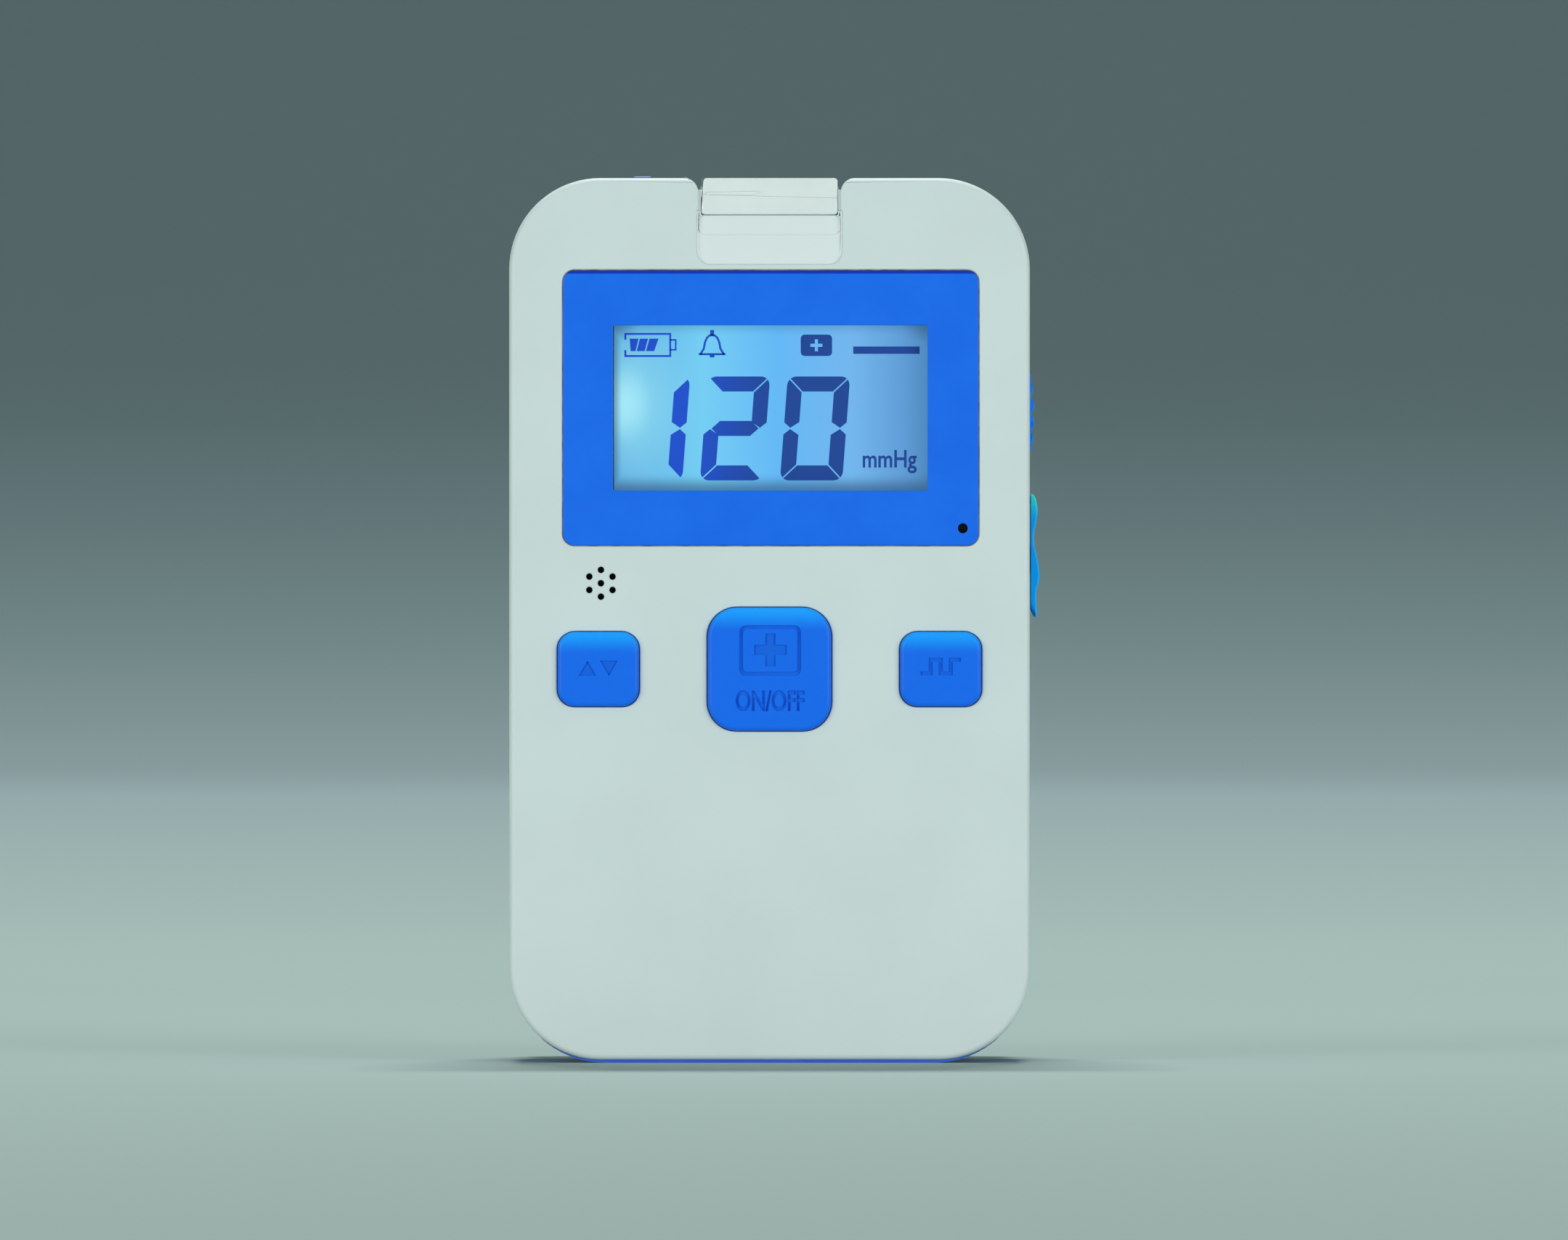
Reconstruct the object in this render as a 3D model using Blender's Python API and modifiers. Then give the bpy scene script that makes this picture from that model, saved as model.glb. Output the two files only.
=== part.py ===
"""Negative pressure wound therapy pump, hand-held, with a clip-on canister behind it.

Metres, +Z up. The display faces -Y. The origin is the middle of the base, on the joint between
the front and the rear half of the device.
"""
from math import cos, pi, radians, sin

import bmesh
import bpy
from mathutils import Matrix, Vector

# Fits
FIT_GAP = 0.0003
CUT_OVERRUN = 0.0020
ROOT_BITE = 0.0004
WELD = 0.000002

# Casing
CASE_WIDTH = 0.0800
CASE_HEIGHT = 0.1360
CASE_CORNER = 0.0140
CASE_EDGE_ROUND = 0.00125
CASE_WALL = 0.0020
FRONT_FACE_Y = -0.0220
FRONT_SHELL_DEPTH = 0.0080
REAR_SHELL_DEPTH = 0.0200
REAR_SIDE_LIP = 0.0002
REAR_FOOT_LIP = 0.00045
REAR_TOP_DROP = 0.00015
SEAL_WIDTH = 0.0012
SEAL_DEPTH = 0.0024

# Notch in the top edge, and the finger recess under it
NOTCH_WIDTH = 0.0219
NOTCH_CORNER = 0.0022
NOTCH_FRONT_DEPTH = 0.0050
NOTCH_REAR_DEPTH = 0.0110
RECESS_SIDE = 0.00025
RECESS_STEP_DEPTH = 0.0088
RECESS_DEPTH = 0.0133
RECESS_CORNER = 0.0018
RECESS_SHALLOW_DEPTH = 0.0016
RECESS_DEEP_DEPTH = 0.0036

# Display
LENS_TOP_MARGIN = 0.0142
LENS_SIDE_MARGIN = 0.00805
LENS_HEIGHT = 0.0423
LENS_SHIFT_X = 0.0002
LENS_CORNER = 0.0018
LENS_EDGE_ROUND = 0.00045
LENS_THICKNESS = 0.0009
LENS_SEAM = 0.0003
LENS_LEDGE = 0.0040
WINDOW_SIDE_BORDER = 0.00785
WINDOW_END_BORDER = 0.0084
PANEL_BORDER = 0.0024
PANEL_THICKNESS = 0.0016
BACKLIGHT_THICKNESS = 0.0025
LCD_FRAME_WALL = 0.0012
LCD_FRAME_FLOOR = 0.0008
LCD_FOOT_SIDE = 0.0030
SENSOR_FROM_LENS_SIDE = 0.00245
SENSOR_FROM_LENS_END = 0.00265
SENSOR_RADIUS = 0.00065
SENSOR_CLEARANCE = 0.00015

# Main board
BOARD_SIDE_GAP = 0.0030
BOARD_BOTTOM_Z = 0.0131
BOARD_TOP_GAP = 0.0175
BOARD_THICKNESS = 0.0016
BOARD_FRONT_Y = -0.0122

# Speaker, over the left key
SPEAKER_SHIFT_X = 0.0004
SPEAKER_BELOW_LENS = 0.00575
SPEAKER_HOLE_RADIUS = 0.00048
SPEAKER_HOLE_RING = 0.00206
SPEAKER_HOLES_IN_RING = 6
SPEAKER_RADIUS = 0.0060
SPEAKER_MESH_RADIUS = 0.0042
SPEAKER_MESH_THICKNESS = 0.0004

# Keys
SIDE_KEY_WIDTH = 0.0125
SIDE_KEY_HEIGHT = 0.0115
SIDE_KEY_CORNER = 0.0027
SIDE_KEY_INSET = 0.0137
KEYS_BELOW_LENS = 0.0190
PUMP_KEY_SIDE = 0.0190
PUMP_KEY_CORNER = 0.0045
KEY_GAP = 0.00025
KEY_PROUD = 0.0009
KEY_EDGE_ROUND = 0.0007
KEY_TRAVEL = 0.0008
KEY_FLANGE = 0.0012
KEY_FLANGE_THICKNESS = 0.0010
KEY_STEM_RADIUS = 0.0022
RETAINER_THICKNESS = 0.0012
RETAINER_POST = 0.0028
SWITCH_SIDE = 0.0060
SWITCH_HEIGHT = 0.0015
SWITCH_BUTTON_RADIUS = 0.0017
SWITCH_BUTTON_HEIGHT = 0.0009

# Power slider on the right side
SLIDER_TOP_GAP = 0.0299
SLIDER_LENGTH = 0.0120
SLIDER_WIDTH = 0.0052
SLIDER_TRAVEL = 0.0030
SLIDER_BASE_PROUD = 0.00030
SLIDER_RIB_PROUD = 0.00074
SLIDER_RIBS = 4
SLIDER_RIB_RADIUS = 0.0009
SLIDER_RIB_SPACING = 0.0025
SLIDER_FLANGE = 0.0010
SIDE_PIECES_Y = -0.0035
ARM_WIDTH = 0.0030
ARM_REACH = 0.0060
LEVER_SIDE = 0.0012
SLIDE_SWITCH_LENGTH = 0.0120
SLIDE_SWITCH_WIDTH = 0.0050
SLIDE_SWITCH_DEPTH = 0.0046

# Charging socket and its rubber cover, whose marks are measured down from the cover's top
COVER_BELOW_SLIDER = 0.0065
COVER_HINGE_DROP = 0.0018
COVER_UPPER_HUMP_DROP = 0.0031
COVER_UPPER_HUMP = 0.00118
COVER_VALLEY_DROP = 0.0069
COVER_VALLEY = 0.00064
COVER_LOWER_HUMP_DROP = 0.0122
COVER_LOWER_HUMP = 0.00150
COVER_WAIST_DROP = 0.0157
COVER_WAIST = 0.00100
COVER_SEAT_LENGTH = 0.0178
COVER_LENGTH = 0.0191
COVER_TIP_OUT = 0.00110
COVER_THICKNESS = 0.0006
COVER_WIDTH = 0.0090
COVER_SEAT = 0.00015
COVER_HINGE_OUT = 0.0010
COVER_POST_RADIUS = 0.0007
COVER_POST_HEAD_RADIUS = 0.0014
COVER_POST_HEAD = 0.0008
COVER_WAVE_STEPS = 3
SOCKET_DROP = 0.0100
SOCKET_LENGTH = 0.0110
SOCKET_WIDTH = 0.0090
SOCKET_BORE_RADIUS = 0.0030
SOCKET_BORE_DEPTH = 0.0095
SOCKET_PIN_RADIUS = 0.0010
SOCKET_PIN_SETBACK = 0.0015
SOCKET_WINDOW_RADIUS = 0.0038
COVER_PLUG_RADIUS = 0.0024
COVER_PLUG_LENGTH = 0.0014

# Status lamp on the top edge, beside the notch
LAMP_FROM_NOTCH = 0.00865
LAMP_Y = -0.0088
LAMP_WIDTH = 0.0029
LAMP_PROUD = 0.00064
LAMP_SHOULDER = 0.0003
LAMP_FLANGE = 0.0006
LED_WIDTH = 0.0020
LED_HEIGHT = 0.0012

# Pump
SHAFT_Y = -0.0033
PUMP_TOP_GAP = 0.0494
SHAFT_DROP = 0.0121
MOTOR_RADIUS = 0.0060
MOTOR_LENGTH = 0.0200
MOTOR_SOCKET_GAP = 0.0037
MOTOR_BOSS_RADIUS = 0.0028
MOTOR_BOSS_LENGTH = 0.0010
SHAFT_RADIUS = 0.0010
SHAFT_BORE_CLEARANCE = 0.00015
SHAFT_TIP = 0.0020
SLEEVE_LENGTH = 0.0120
SLEEVE_WALL = 0.0006
CRANK_THROW = 0.0005
ECCENTRIC_RADIUS = 0.0019
CRANK_WIDTH = 0.0034
BEARING_RADIUS = 0.0030
CRANK_CLEARANCE = 0.0001
ROD_RING_WALL = 0.0008
ROD_STEM_SIDE = 0.0024
ROD_HEAD_RADIUS = 0.0034
ROD_HEAD_THICKNESS = 0.0010
PUMP_WIDTH = 0.0154
PUMP_DEPTH = 0.0120
PUMP_SIDE_WALL = 0.0015
PUMP_FACE_WALL = 0.0009
PUMP_FLOOR = 0.0014
DIAPHRAGM_THICKNESS = 0.0010
VALVE_PLATE_THICKNESS = 0.0020
PUMP_COVER_THICKNESS = 0.0034
NIPPLE_RADIUS = 0.0012
NIPPLE_BORE_RADIUS = 0.0006
NIPPLE_LENGTH = 0.0040
NIPPLE_SPACING = 0.0070
CLIP_THICKNESS = 0.0005
CLIP_WIDTH = 0.0050
CLIP_DROP = 0.0130
MUFFLER_RADIUS = 0.0028
MUFFLER_LENGTH = 0.0060
TUBE_RADIUS = 0.0021
TUBE_LEAD = 0.0030

# Battery, which fills the bay under the pump
CELL_THICKNESS = 0.0092
CELL_CORNER = 0.0020
CRADLE_WALL = 0.0012
CRADLE_BOTTOM_Z = 0.0131
CRADLE_SIDE_GAP = 0.0026
CRADLE_BELOW_SHAFT = 0.0144

# Pneumatic parts near the notch
MANIFOLD_WIDTH = 0.0170
MANIFOLD_HEIGHT = 0.0055
MANIFOLD_DEPTH = 0.0080
VACUUM_NIPPLE_RADIUS = 0.0018
VACUUM_NIPPLE_BORE_RADIUS = 0.0009
VACUUM_NIPPLE_LENGTH = 0.0046
PORT_SEAL_RADIUS = 0.00050
PORT_SEAL_RISE = 0.0025
PORT_SEAL_STRETCH = 0.00015
SENSOR_BODY_SIDE = 0.0080
SENSOR_BODY_DEPTH = 0.0045
SENSOR_BODY_X = -0.0260
SENSOR_BODY_TOP_GAP = 0.0430
VALVE_WIDTH = 0.0120
VALVE_HEIGHT = 0.0100
VALVE_DEPTH = 0.0110
VALVE_GAP_X = 0.0050

# Case screws
SCREW_INSET = 0.0088
SCREW_LOW_Z = 0.0097
SCREW_TOP_GAP = 0.0092
SCREW_RADIUS = 0.0010
SCREW_HEAD_RADIUS = 0.0020
SCREW_HEAD_DEPTH = 0.0014
SCREW_RECESS = 0.0018
SCREW_BITE = 0.0035
BOSS_RADIUS = 0.0030
SCREW_SOCKET_RADIUS = 0.0009
SCREW_SOCKET_DEPTH = 0.0007

# Canister
CANISTER_SIDE_INSET = 0.0020
CANISTER_TOP_DROP = 0.0012
CANISTER_DEPTH = 0.0155
CANISTER_CORNER = 0.0130
CANISTER_WALL = 0.0016
CANISTER_EDGE_ROUND = 0.0012
BRIDGE_CLEARANCE = 0.0003
BRIDGE_SEAT = 0.0003
POCKET_WIDTH = 0.0115
POCKET_HEIGHT = 0.0150
POCKET_TOP_GAP = 0.0248
INLET_RADIUS = 0.0026
INLET_BORE_RADIUS = 0.0014
INLET_BARB = 0.0004
INLET_LENGTH = 0.0085
INLET_FLANGE_RADIUS = 0.0038
INLET_FLANGE_THICKNESS = 0.0010
GEL_SIDE_GAP = 0.0100
GEL_BOTTOM_Z = 0.0200
GEL_BELOW_POCKET = 0.0230
GEL_CORNER = 0.0060
FILTER_RADIUS = 0.0045
FILTER_THICKNESS = 0.0016
RAIL_INSET = 0.0050
RAIL_ABOVE_SCREW = 0.0028
RAIL_LENGTH = 0.0355
RAIL_NECK = 0.0020
RAIL_HEAD = 0.0040
RAIL_NECK_DEPTH = 0.0014
RAIL_HEAD_DEPTH = 0.0012
SLOT_WALL = 0.0010
SLOT_LIP_CLEARANCE = 0.0001

# Latch tab at the front end of the bridge
TAB_SIDE_GAP = 0.0005
TAB_HEIGHT = 0.0056
TAB_THICKNESS = 0.0021
TAB_SETBACK = 0.0005
TAB_EDGE_ROUND = 0.0003
PIN_TOP_GAP = 0.0029
PIN_BEHIND_TAB = 0.0022
PIN_RADIUS = 0.0005
PIN_CLEARANCE = 0.0001
KNUCKLE_RADIUS = 0.0015
EAR_WIDTH = 0.0024

# Depths and heights of the casing, worked out from the sizes above
SPLIT_Y = FRONT_FACE_Y + FRONT_SHELL_DEPTH
REAR_FRONT_Y = SPLIT_Y + FIT_GAP
REAR_BACK_Y = SPLIT_Y + REAR_SHELL_DEPTH
FRONT_INNER_Y = FRONT_FACE_Y + CASE_WALL
REAR_INNER_Y = REAR_BACK_Y - CASE_WALL
REAR_WIDTH = CASE_WIDTH + 2 * REAR_SIDE_LIP
REAR_SIDE_X = REAR_WIDTH / 2
REAR_TOP_Z = CASE_HEIGHT - REAR_TOP_DROP
INNER_WIDTH = CASE_WIDTH - 2 * CASE_WALL
INNER_BOTTOM_Z = REAR_FOOT_LIP + CASE_WALL
INNER_TOP_Z = CASE_HEIGHT - CASE_WALL
SIDE_INNER_X = REAR_SIDE_X - CASE_WALL - REAR_SIDE_LIP
NOTCH_FRONT_FLOOR_Z = CASE_HEIGHT - NOTCH_FRONT_DEPTH
NOTCH_REAR_FLOOR_Z = CASE_HEIGHT - NOTCH_REAR_DEPTH
RECESS_WIDTH = NOTCH_WIDTH + 2 * RECESS_SIDE
RECESS_STEP_Z = CASE_HEIGHT - RECESS_STEP_DEPTH
RECESS_BOTTOM_Z = CASE_HEIGHT - RECESS_DEPTH
SCREW_X = CASE_WIDTH / 2 - SCREW_INSET
SCREW_HIGH_Z = CASE_HEIGHT - SCREW_TOP_GAP

# Display, board, speaker and keys
LENS_WIDTH = CASE_WIDTH - 2 * LENS_SIDE_MARGIN
LENS_CENTRE_X = LENS_SHIFT_X
LENS_CENTRE_Z = CASE_HEIGHT - LENS_TOP_MARGIN - LENS_HEIGHT / 2
LENS_BOTTOM_Z = LENS_CENTRE_Z - LENS_HEIGHT / 2
LENS_BACK_Y = FRONT_FACE_Y + LENS_THICKNESS
LENS_FLOOR_Y = LENS_BACK_Y + FIT_GAP
PANEL_WINDOW_WIDTH = LENS_WIDTH - 2 * WINDOW_SIDE_BORDER
PANEL_WINDOW_HEIGHT = LENS_HEIGHT - 2 * WINDOW_END_BORDER
PANEL_FRONT_Y = FRONT_INNER_Y + FIT_GAP
PANEL_BACK_Y = PANEL_FRONT_Y + PANEL_THICKNESS
BACKLIGHT_FRONT_Y = PANEL_BACK_Y + FIT_GAP
BACKLIGHT_BACK_Y = BACKLIGHT_FRONT_Y + BACKLIGHT_THICKNESS
SENSOR_X = LENS_CENTRE_X + LENS_WIDTH / 2 - SENSOR_FROM_LENS_SIDE
SENSOR_Z = LENS_BOTTOM_Z + SENSOR_FROM_LENS_END
BOARD_WIDTH = INNER_WIDTH - 2 * BOARD_SIDE_GAP
BOARD_TOP_Z = CASE_HEIGHT - BOARD_TOP_GAP
BOARD_BACK_Y = BOARD_FRONT_Y + BOARD_THICKNESS
SIDE_KEY_X = CASE_WIDTH / 2 - SIDE_KEY_INSET
KEY_ROW_Z = LENS_BOTTOM_Z - KEYS_BELOW_LENS
KEY_FLANGE_FRONT_Y = FRONT_INNER_Y + FIT_GAP
KEY_FLANGE_BACK_Y = KEY_FLANGE_FRONT_Y + KEY_FLANGE_THICKNESS
SWITCH_TOP_Y = BOARD_FRONT_Y - FIT_GAP - SWITCH_HEIGHT - SWITCH_BUTTON_HEIGHT
SPEAKER_X = SPEAKER_SHIFT_X - SIDE_KEY_X
SPEAKER_Z = LENS_BOTTOM_Z - SPEAKER_BELOW_LENS
LAMP_X = -NOTCH_WIDTH / 2 - LAMP_FROM_NOTCH

# Pieces in the right side
SLIDER_BOTTOM_Z = CASE_HEIGHT - SLIDER_TOP_GAP - SLIDER_LENGTH
COVER_TOP_Z = SLIDER_BOTTOM_Z - COVER_BELOW_SLIDER
COVER_HINGE_Z = COVER_TOP_Z - COVER_HINGE_DROP
COVER_TIP_Z = COVER_TOP_Z - COVER_LENGTH
COVER_LEAVES_CASE_Z = COVER_TOP_Z - COVER_SEAT_LENGTH
SOCKET_Z = COVER_TOP_Z - SOCKET_DROP

# Pump and battery
PUMP_TOP_Z = CASE_HEIGHT - PUMP_TOP_GAP
SHAFT_Z = PUMP_TOP_Z - SHAFT_DROP
MOTOR_FRONT_X = SIDE_INNER_X - FIT_GAP - SOCKET_LENGTH - MOTOR_SOCKET_GAP - MOTOR_LENGTH
CRANK_X = MOTOR_FRONT_X - FIT_GAP - PUMP_WIDTH / 2
PORT_SEAL_Z = NOTCH_REAR_FLOOR_Z + PORT_SEAL_RISE
SENSOR_BODY_Z = CASE_HEIGHT - SENSOR_BODY_TOP_GAP
CRADLE_WIDTH = INNER_WIDTH - 2 * CRADLE_SIDE_GAP
CRADLE_TOP_Z = SHAFT_Z - CRADLE_BELOW_SHAFT

# Canister and latch
CANISTER_FRONT_Y = REAR_BACK_Y + FIT_GAP
CANISTER_BACK_Y = CANISTER_FRONT_Y + CANISTER_DEPTH
CANISTER_WIDTH = CASE_WIDTH - 2 * CANISTER_SIDE_INSET
CANISTER_TOP_Z = CASE_HEIGHT - CANISTER_TOP_DROP
POCKET_BOTTOM_Z = CANISTER_TOP_Z - POCKET_TOP_GAP - POCKET_HEIGHT
RAIL_X = CANISTER_WIDTH / 2 - RAIL_INSET
RAIL_BOTTOM_Z = SCREW_LOW_Z + RAIL_ABOVE_SCREW
TAB_WIDTH = NOTCH_WIDTH - 2 * TAB_SIDE_GAP
TAB_BOTTOM_Z = CASE_HEIGHT - TAB_HEIGHT
TAB_FRONT_Y = FRONT_FACE_Y + TAB_SETBACK
TAB_BACK_Y = TAB_FRONT_Y + TAB_THICKNESS
PIN_Y = TAB_BACK_Y + PIN_BEHIND_TAB
PIN_Z = CASE_HEIGHT - PIN_TOP_GAP

# Smoothness of round shapes
CASE_CORNER_STEPS = 7
EDGE_STEPS = 2
CORNER_STEPS = 4
ROUND_SIDES = 24
SMALL_ROUND_SIDES = 12
HEX_SIDES = 6
TUBE_SIDES = 2
SMOOTH_ANGLE = radians(35)

WHITE = (0.70, 0.78, 0.76)
DEEP_BLUE = (0.03, 0.10, 0.42)
KEY_BLUE = (0.02, 0.16, 0.78)
LENS_BLUE = (0.015, 0.16, 0.80)
CLEAR = (0.80, 0.88, 0.86)
METAL = (0.62, 0.62, 0.62)
BRASS = (0.72, 0.55, 0.28)
BLACK = (0.03, 0.03, 0.035)
GREEN = (0.02, 0.18, 0.08)
GREY = (0.35, 0.36, 0.38)


def clear_scene():
    for thing in list(bpy.data.objects):
        bpy.data.objects.remove(thing, do_unlink=True)


def new_collection(name):
    collection = bpy.data.collections.new(name)
    bpy.context.scene.collection.children.link(collection)
    return collection


def finish(name, colour, roughness=0.45, metallic=0.0, alpha=1.0):
    """A Principled material for one piece."""
    material = bpy.data.materials.new(name)
    material.use_nodes = True
    shader = material.node_tree.nodes["Principled BSDF"]
    shader.inputs["Base Color"].default_value = (*colour, 1.0)
    shader.inputs["Roughness"].default_value = roughness
    shader.inputs["Metallic"].default_value = metallic
    shader.inputs["Alpha"].default_value = alpha
    return material


def mesh_object(name, shape):
    """An object in the pump's collection from a bmesh, which it frees."""
    mesh = bpy.data.meshes.new(name)
    bmesh.ops.recalc_face_normals(shape, faces=shape.faces)
    shape.to_mesh(mesh)
    shape.free()
    piece = bpy.data.objects.new(name, mesh)
    PUMP.objects.link(piece)
    mesh.shade_smooth()
    mesh.set_sharp_from_angle(angle=SMOOTH_ANGLE)
    return piece


def block(name, low, high, corner=0.0, steps=CORNER_STEPS, front_round=0.0, back_round=0.0):
    """A box between two corners; the edges along Y may be rounded, then the rims of its two faces."""
    shape = bmesh.new()
    bmesh.ops.create_cube(shape, size=1.0)
    low, high = Vector(low), Vector(high)
    bmesh.ops.scale(shape, vec=high - low, verts=shape.verts)
    bmesh.ops.translate(shape, vec=(high + low) / 2, verts=shape.verts)
    if corner:
        along_y = [e for e in shape.edges if abs((e.verts[0].co - e.verts[1].co).y) > (high - low).y / 2]
        bmesh.ops.bevel(shape, geom=along_y, offset=corner, segments=steps, profile=0.5, affect="EDGES")
    for face_y, size in ((low.y, front_round), (high.y, back_round)):
        if size:
            rim = [e for e in shape.edges if all(abs(v.co.y - face_y) < WELD for v in e.verts)]
            bmesh.ops.bevel(shape, geom=rim, offset=size, segments=EDGE_STEPS, profile=0.5, affect="EDGES")
    return mesh_object(name, shape)


def rod(name, radius, start, end, sides=ROUND_SIDES, end_radius=None):
    """A cylinder or cone frustum from one point to another."""
    start, end = Vector(start), Vector(end)
    shape = bmesh.new()
    far_radius = radius if end_radius is None else end_radius
    run = end - start
    bmesh.ops.create_cone(shape, cap_ends=True, segments=sides, radius1=radius, radius2=far_radius,
                          depth=run.length)
    turn = run.to_track_quat("Z", "Y").to_matrix().to_4x4()
    bmesh.ops.transform(shape, matrix=Matrix.Translation((start + end) / 2) @ turn, verts=shape.verts)
    return mesh_object(name, shape)


def as_mesh(curve_object):
    """The curve object made a mesh object of the same name, with its caps welded."""
    bpy.context.view_layer.update()
    graph = bpy.context.evaluated_depsgraph_get()
    mesh = bpy.data.meshes.new_from_object(curve_object.evaluated_get(graph))
    name = curve_object.name
    place = curve_object.matrix_world.copy()
    bpy.data.objects.remove(curve_object, do_unlink=True)
    shape = bmesh.new()
    shape.from_mesh(mesh)
    bmesh.ops.remove_doubles(shape, verts=shape.verts, dist=WELD)
    bmesh.ops.transform(shape, matrix=place, verts=shape.verts)
    return mesh_object(name, shape)


def outline_solid(name, points, low_y, high_y):
    """A flat outline of (x, z) points, as thick as the run from low_y to high_y."""
    curve = bpy.data.curves.new(name, "CURVE")
    curve.dimensions = "2D"
    curve.fill_mode = "BOTH"
    curve.extrude = (high_y - low_y) / 2
    line = curve.splines.new("POLY")
    line.points.add(len(points) - 1)
    for point, (x, z) in zip(line.points, points):
        point.co = (x, z, 0, 1)
    line.use_cyclic_u = True
    piece = bpy.data.objects.new(name, curve)
    PUMP.objects.link(piece)
    piece.location.y = (low_y + high_y) / 2
    piece.rotation_euler.x = pi / 2
    return as_mesh(piece)


def tube(name, points, radius):
    """A flexible tube along a smooth curve through the points."""
    curve = bpy.data.curves.new(name, "CURVE")
    curve.dimensions = "3D"
    curve.bevel_depth = radius
    curve.bevel_resolution = TUBE_SIDES
    curve.use_fill_caps = True
    smooth = smooth_path([Vector(point) for point in points], radius)
    line = curve.splines.new("POLY")
    line.points.add(len(smooth) - 1)
    for target, point in zip(line.points, smooth):
        target.co = (*point, 1)
    piece = bpy.data.objects.new(name, curve)
    PUMP.objects.link(piece)
    return piece


def smooth_path(points, radius):
    """Points about two diameters apart on a smooth curve through the given ones."""
    path = []
    for i in range(len(points) - 1):
        before = points[max(i - 1, 0)]
        here, there = points[i], points[i + 1]
        after = points[min(i + 2, len(points) - 1)]
        count = max(1, round((there - here).length / (4 * radius)))
        for step in range(count):
            t = step / count
            path.append(0.5 * (2 * here + (there - before) * t
                               + (2 * before - 5 * here + 4 * there - after) * t ** 2
                               + (3 * here - before - 3 * there + after) * t ** 3))
    return path + [points[-1]]


def turned(name, profile, start, direction, sides=ROUND_SIDES):
    """A solid of revolution. The profile is (radius, distance along the axis) from the start point."""
    mesh = bpy.data.meshes.new(name)
    points = [(radius, 0, along) for radius, along in profile]
    links = [(i, i + 1) for i in range(len(points) - 1)]
    if profile[0][0] > 0:
        links.append((len(points) - 1, 0))
    mesh.from_pydata(points, links, [])
    piece = bpy.data.objects.new(name, mesh)
    PUMP.objects.link(piece)
    screw = piece.modifiers.new("turn", "SCREW")
    screw.steps = sides
    screw.render_steps = sides
    screw.use_merge_vertices = True
    screw.merge_threshold = WELD
    piece.rotation_euler = Vector(direction).to_track_quat("Z", "Y").to_euler()
    piece.location = start
    return as_mesh(piece)


def tool(piece):
    """The piece becomes a guide for a Boolean and is no longer part of the pump."""
    PUMP.objects.unlink(piece)
    CUTTERS.objects.link(piece)
    piece.hide_render = True
    piece.display_type = "WIRE"
    return piece


def combine(target, pieces, operation):
    for piece in pieces:
        if piece.name not in CUTTERS.objects:
            tool(piece)
        boolean = target.modifiers.new(piece.name, "BOOLEAN")
        boolean.operation = operation
        boolean.solver = "EXACT"
        boolean.object = piece
    return target


def cut(target, *pieces):
    return combine(target, pieces, "DIFFERENCE")


def add(target, *pieces):
    return combine(target, pieces, "UNION")


def turn_on(piece, point):
    """Puts the piece's origin on its joint's axis and leaves its shape in place."""
    piece.data.transform(Matrix.Translation(-Vector(point)))
    piece.location = point
    return piece


def dress(piece, colour, roughness=0.45, metallic=0.0, alpha=1.0):
    piece.data.materials.clear()
    piece.data.materials.append(finish(piece.name, colour, roughness, metallic, alpha))
    return piece


def centred(width, low_y, high_y, low_z, high_z, middle_x=0.0):
    """The low and the high corner of a box that is centred on middle_x."""
    return (middle_x - width / 2, low_y, low_z), (middle_x + width / 2, high_y, high_z)


def around(x, z, width, height, low_y, high_y):
    """The low and the high corner of a box round a point of the front."""
    return (x - width / 2, low_y, z - height / 2), (x + width / 2, high_y, z + height / 2)


def case_outline(name, low_y, high_y, inset=0.0):
    """The space inside the casing's walls, or less by the inset, as a solid."""
    return block(name, (inset - INNER_WIDTH / 2, low_y, INNER_BOTTOM_Z + inset),
                 (INNER_WIDTH / 2 - inset, high_y, INNER_TOP_Z - inset),
                 CASE_CORNER - CASE_WALL - inset, CASE_CORNER_STEPS)


def notch_outline(floor_z):
    """Points round the notch, whose upper corners flare outwards in an arc."""
    half = NOTCH_WIDTH / 2
    flare = [(half + NOTCH_CORNER * (1 - cos(turn)), CASE_HEIGHT - NOTCH_CORNER * (1 - sin(turn)))
             for turn in (pi / 2 * step / CORNER_STEPS for step in range(CORNER_STEPS + 1))]
    right = [(half, floor_z), *flare, (half + NOTCH_CORNER, CASE_HEIGHT + CUT_OVERRUN)]
    return right + [(-x, z) for x, z in reversed(right)]


def screw_places():
    return [(side * SCREW_X, z) for z in (SCREW_LOW_Z, SCREW_HIGH_Z) for side in (-1, 1)]


def along_y(name, radius, x, z, low_y, high_y, sides=ROUND_SIDES):
    return rod(name, radius, (x, low_y, z), (x, high_y, z), sides)


def along_x(name, radius, y, z, low_x, high_x, sides=ROUND_SIDES):
    return rod(name, radius, (low_x, y, z), (high_x, y, z), sides)


def key_places():
    """Name, x, width, height and corner of each key."""
    return (("vacuum_key", -SIDE_KEY_X, SIDE_KEY_WIDTH, SIDE_KEY_HEIGHT, SIDE_KEY_CORNER),
            ("pump_key", 0.0, PUMP_KEY_SIDE, PUMP_KEY_SIDE, PUMP_KEY_CORNER),
            ("mode_key", SIDE_KEY_X, SIDE_KEY_WIDTH, SIDE_KEY_HEIGHT, SIDE_KEY_CORNER))


def speaker_hole_places():
    ring = [(SPEAKER_X + SPEAKER_HOLE_RING * sin(turn), SPEAKER_Z + SPEAKER_HOLE_RING * cos(turn))
            for turn in (2 * pi * i / SPEAKER_HOLES_IN_RING for i in range(SPEAKER_HOLES_IN_RING))]
    return [(SPEAKER_X, SPEAKER_Z), *ring]


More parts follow.
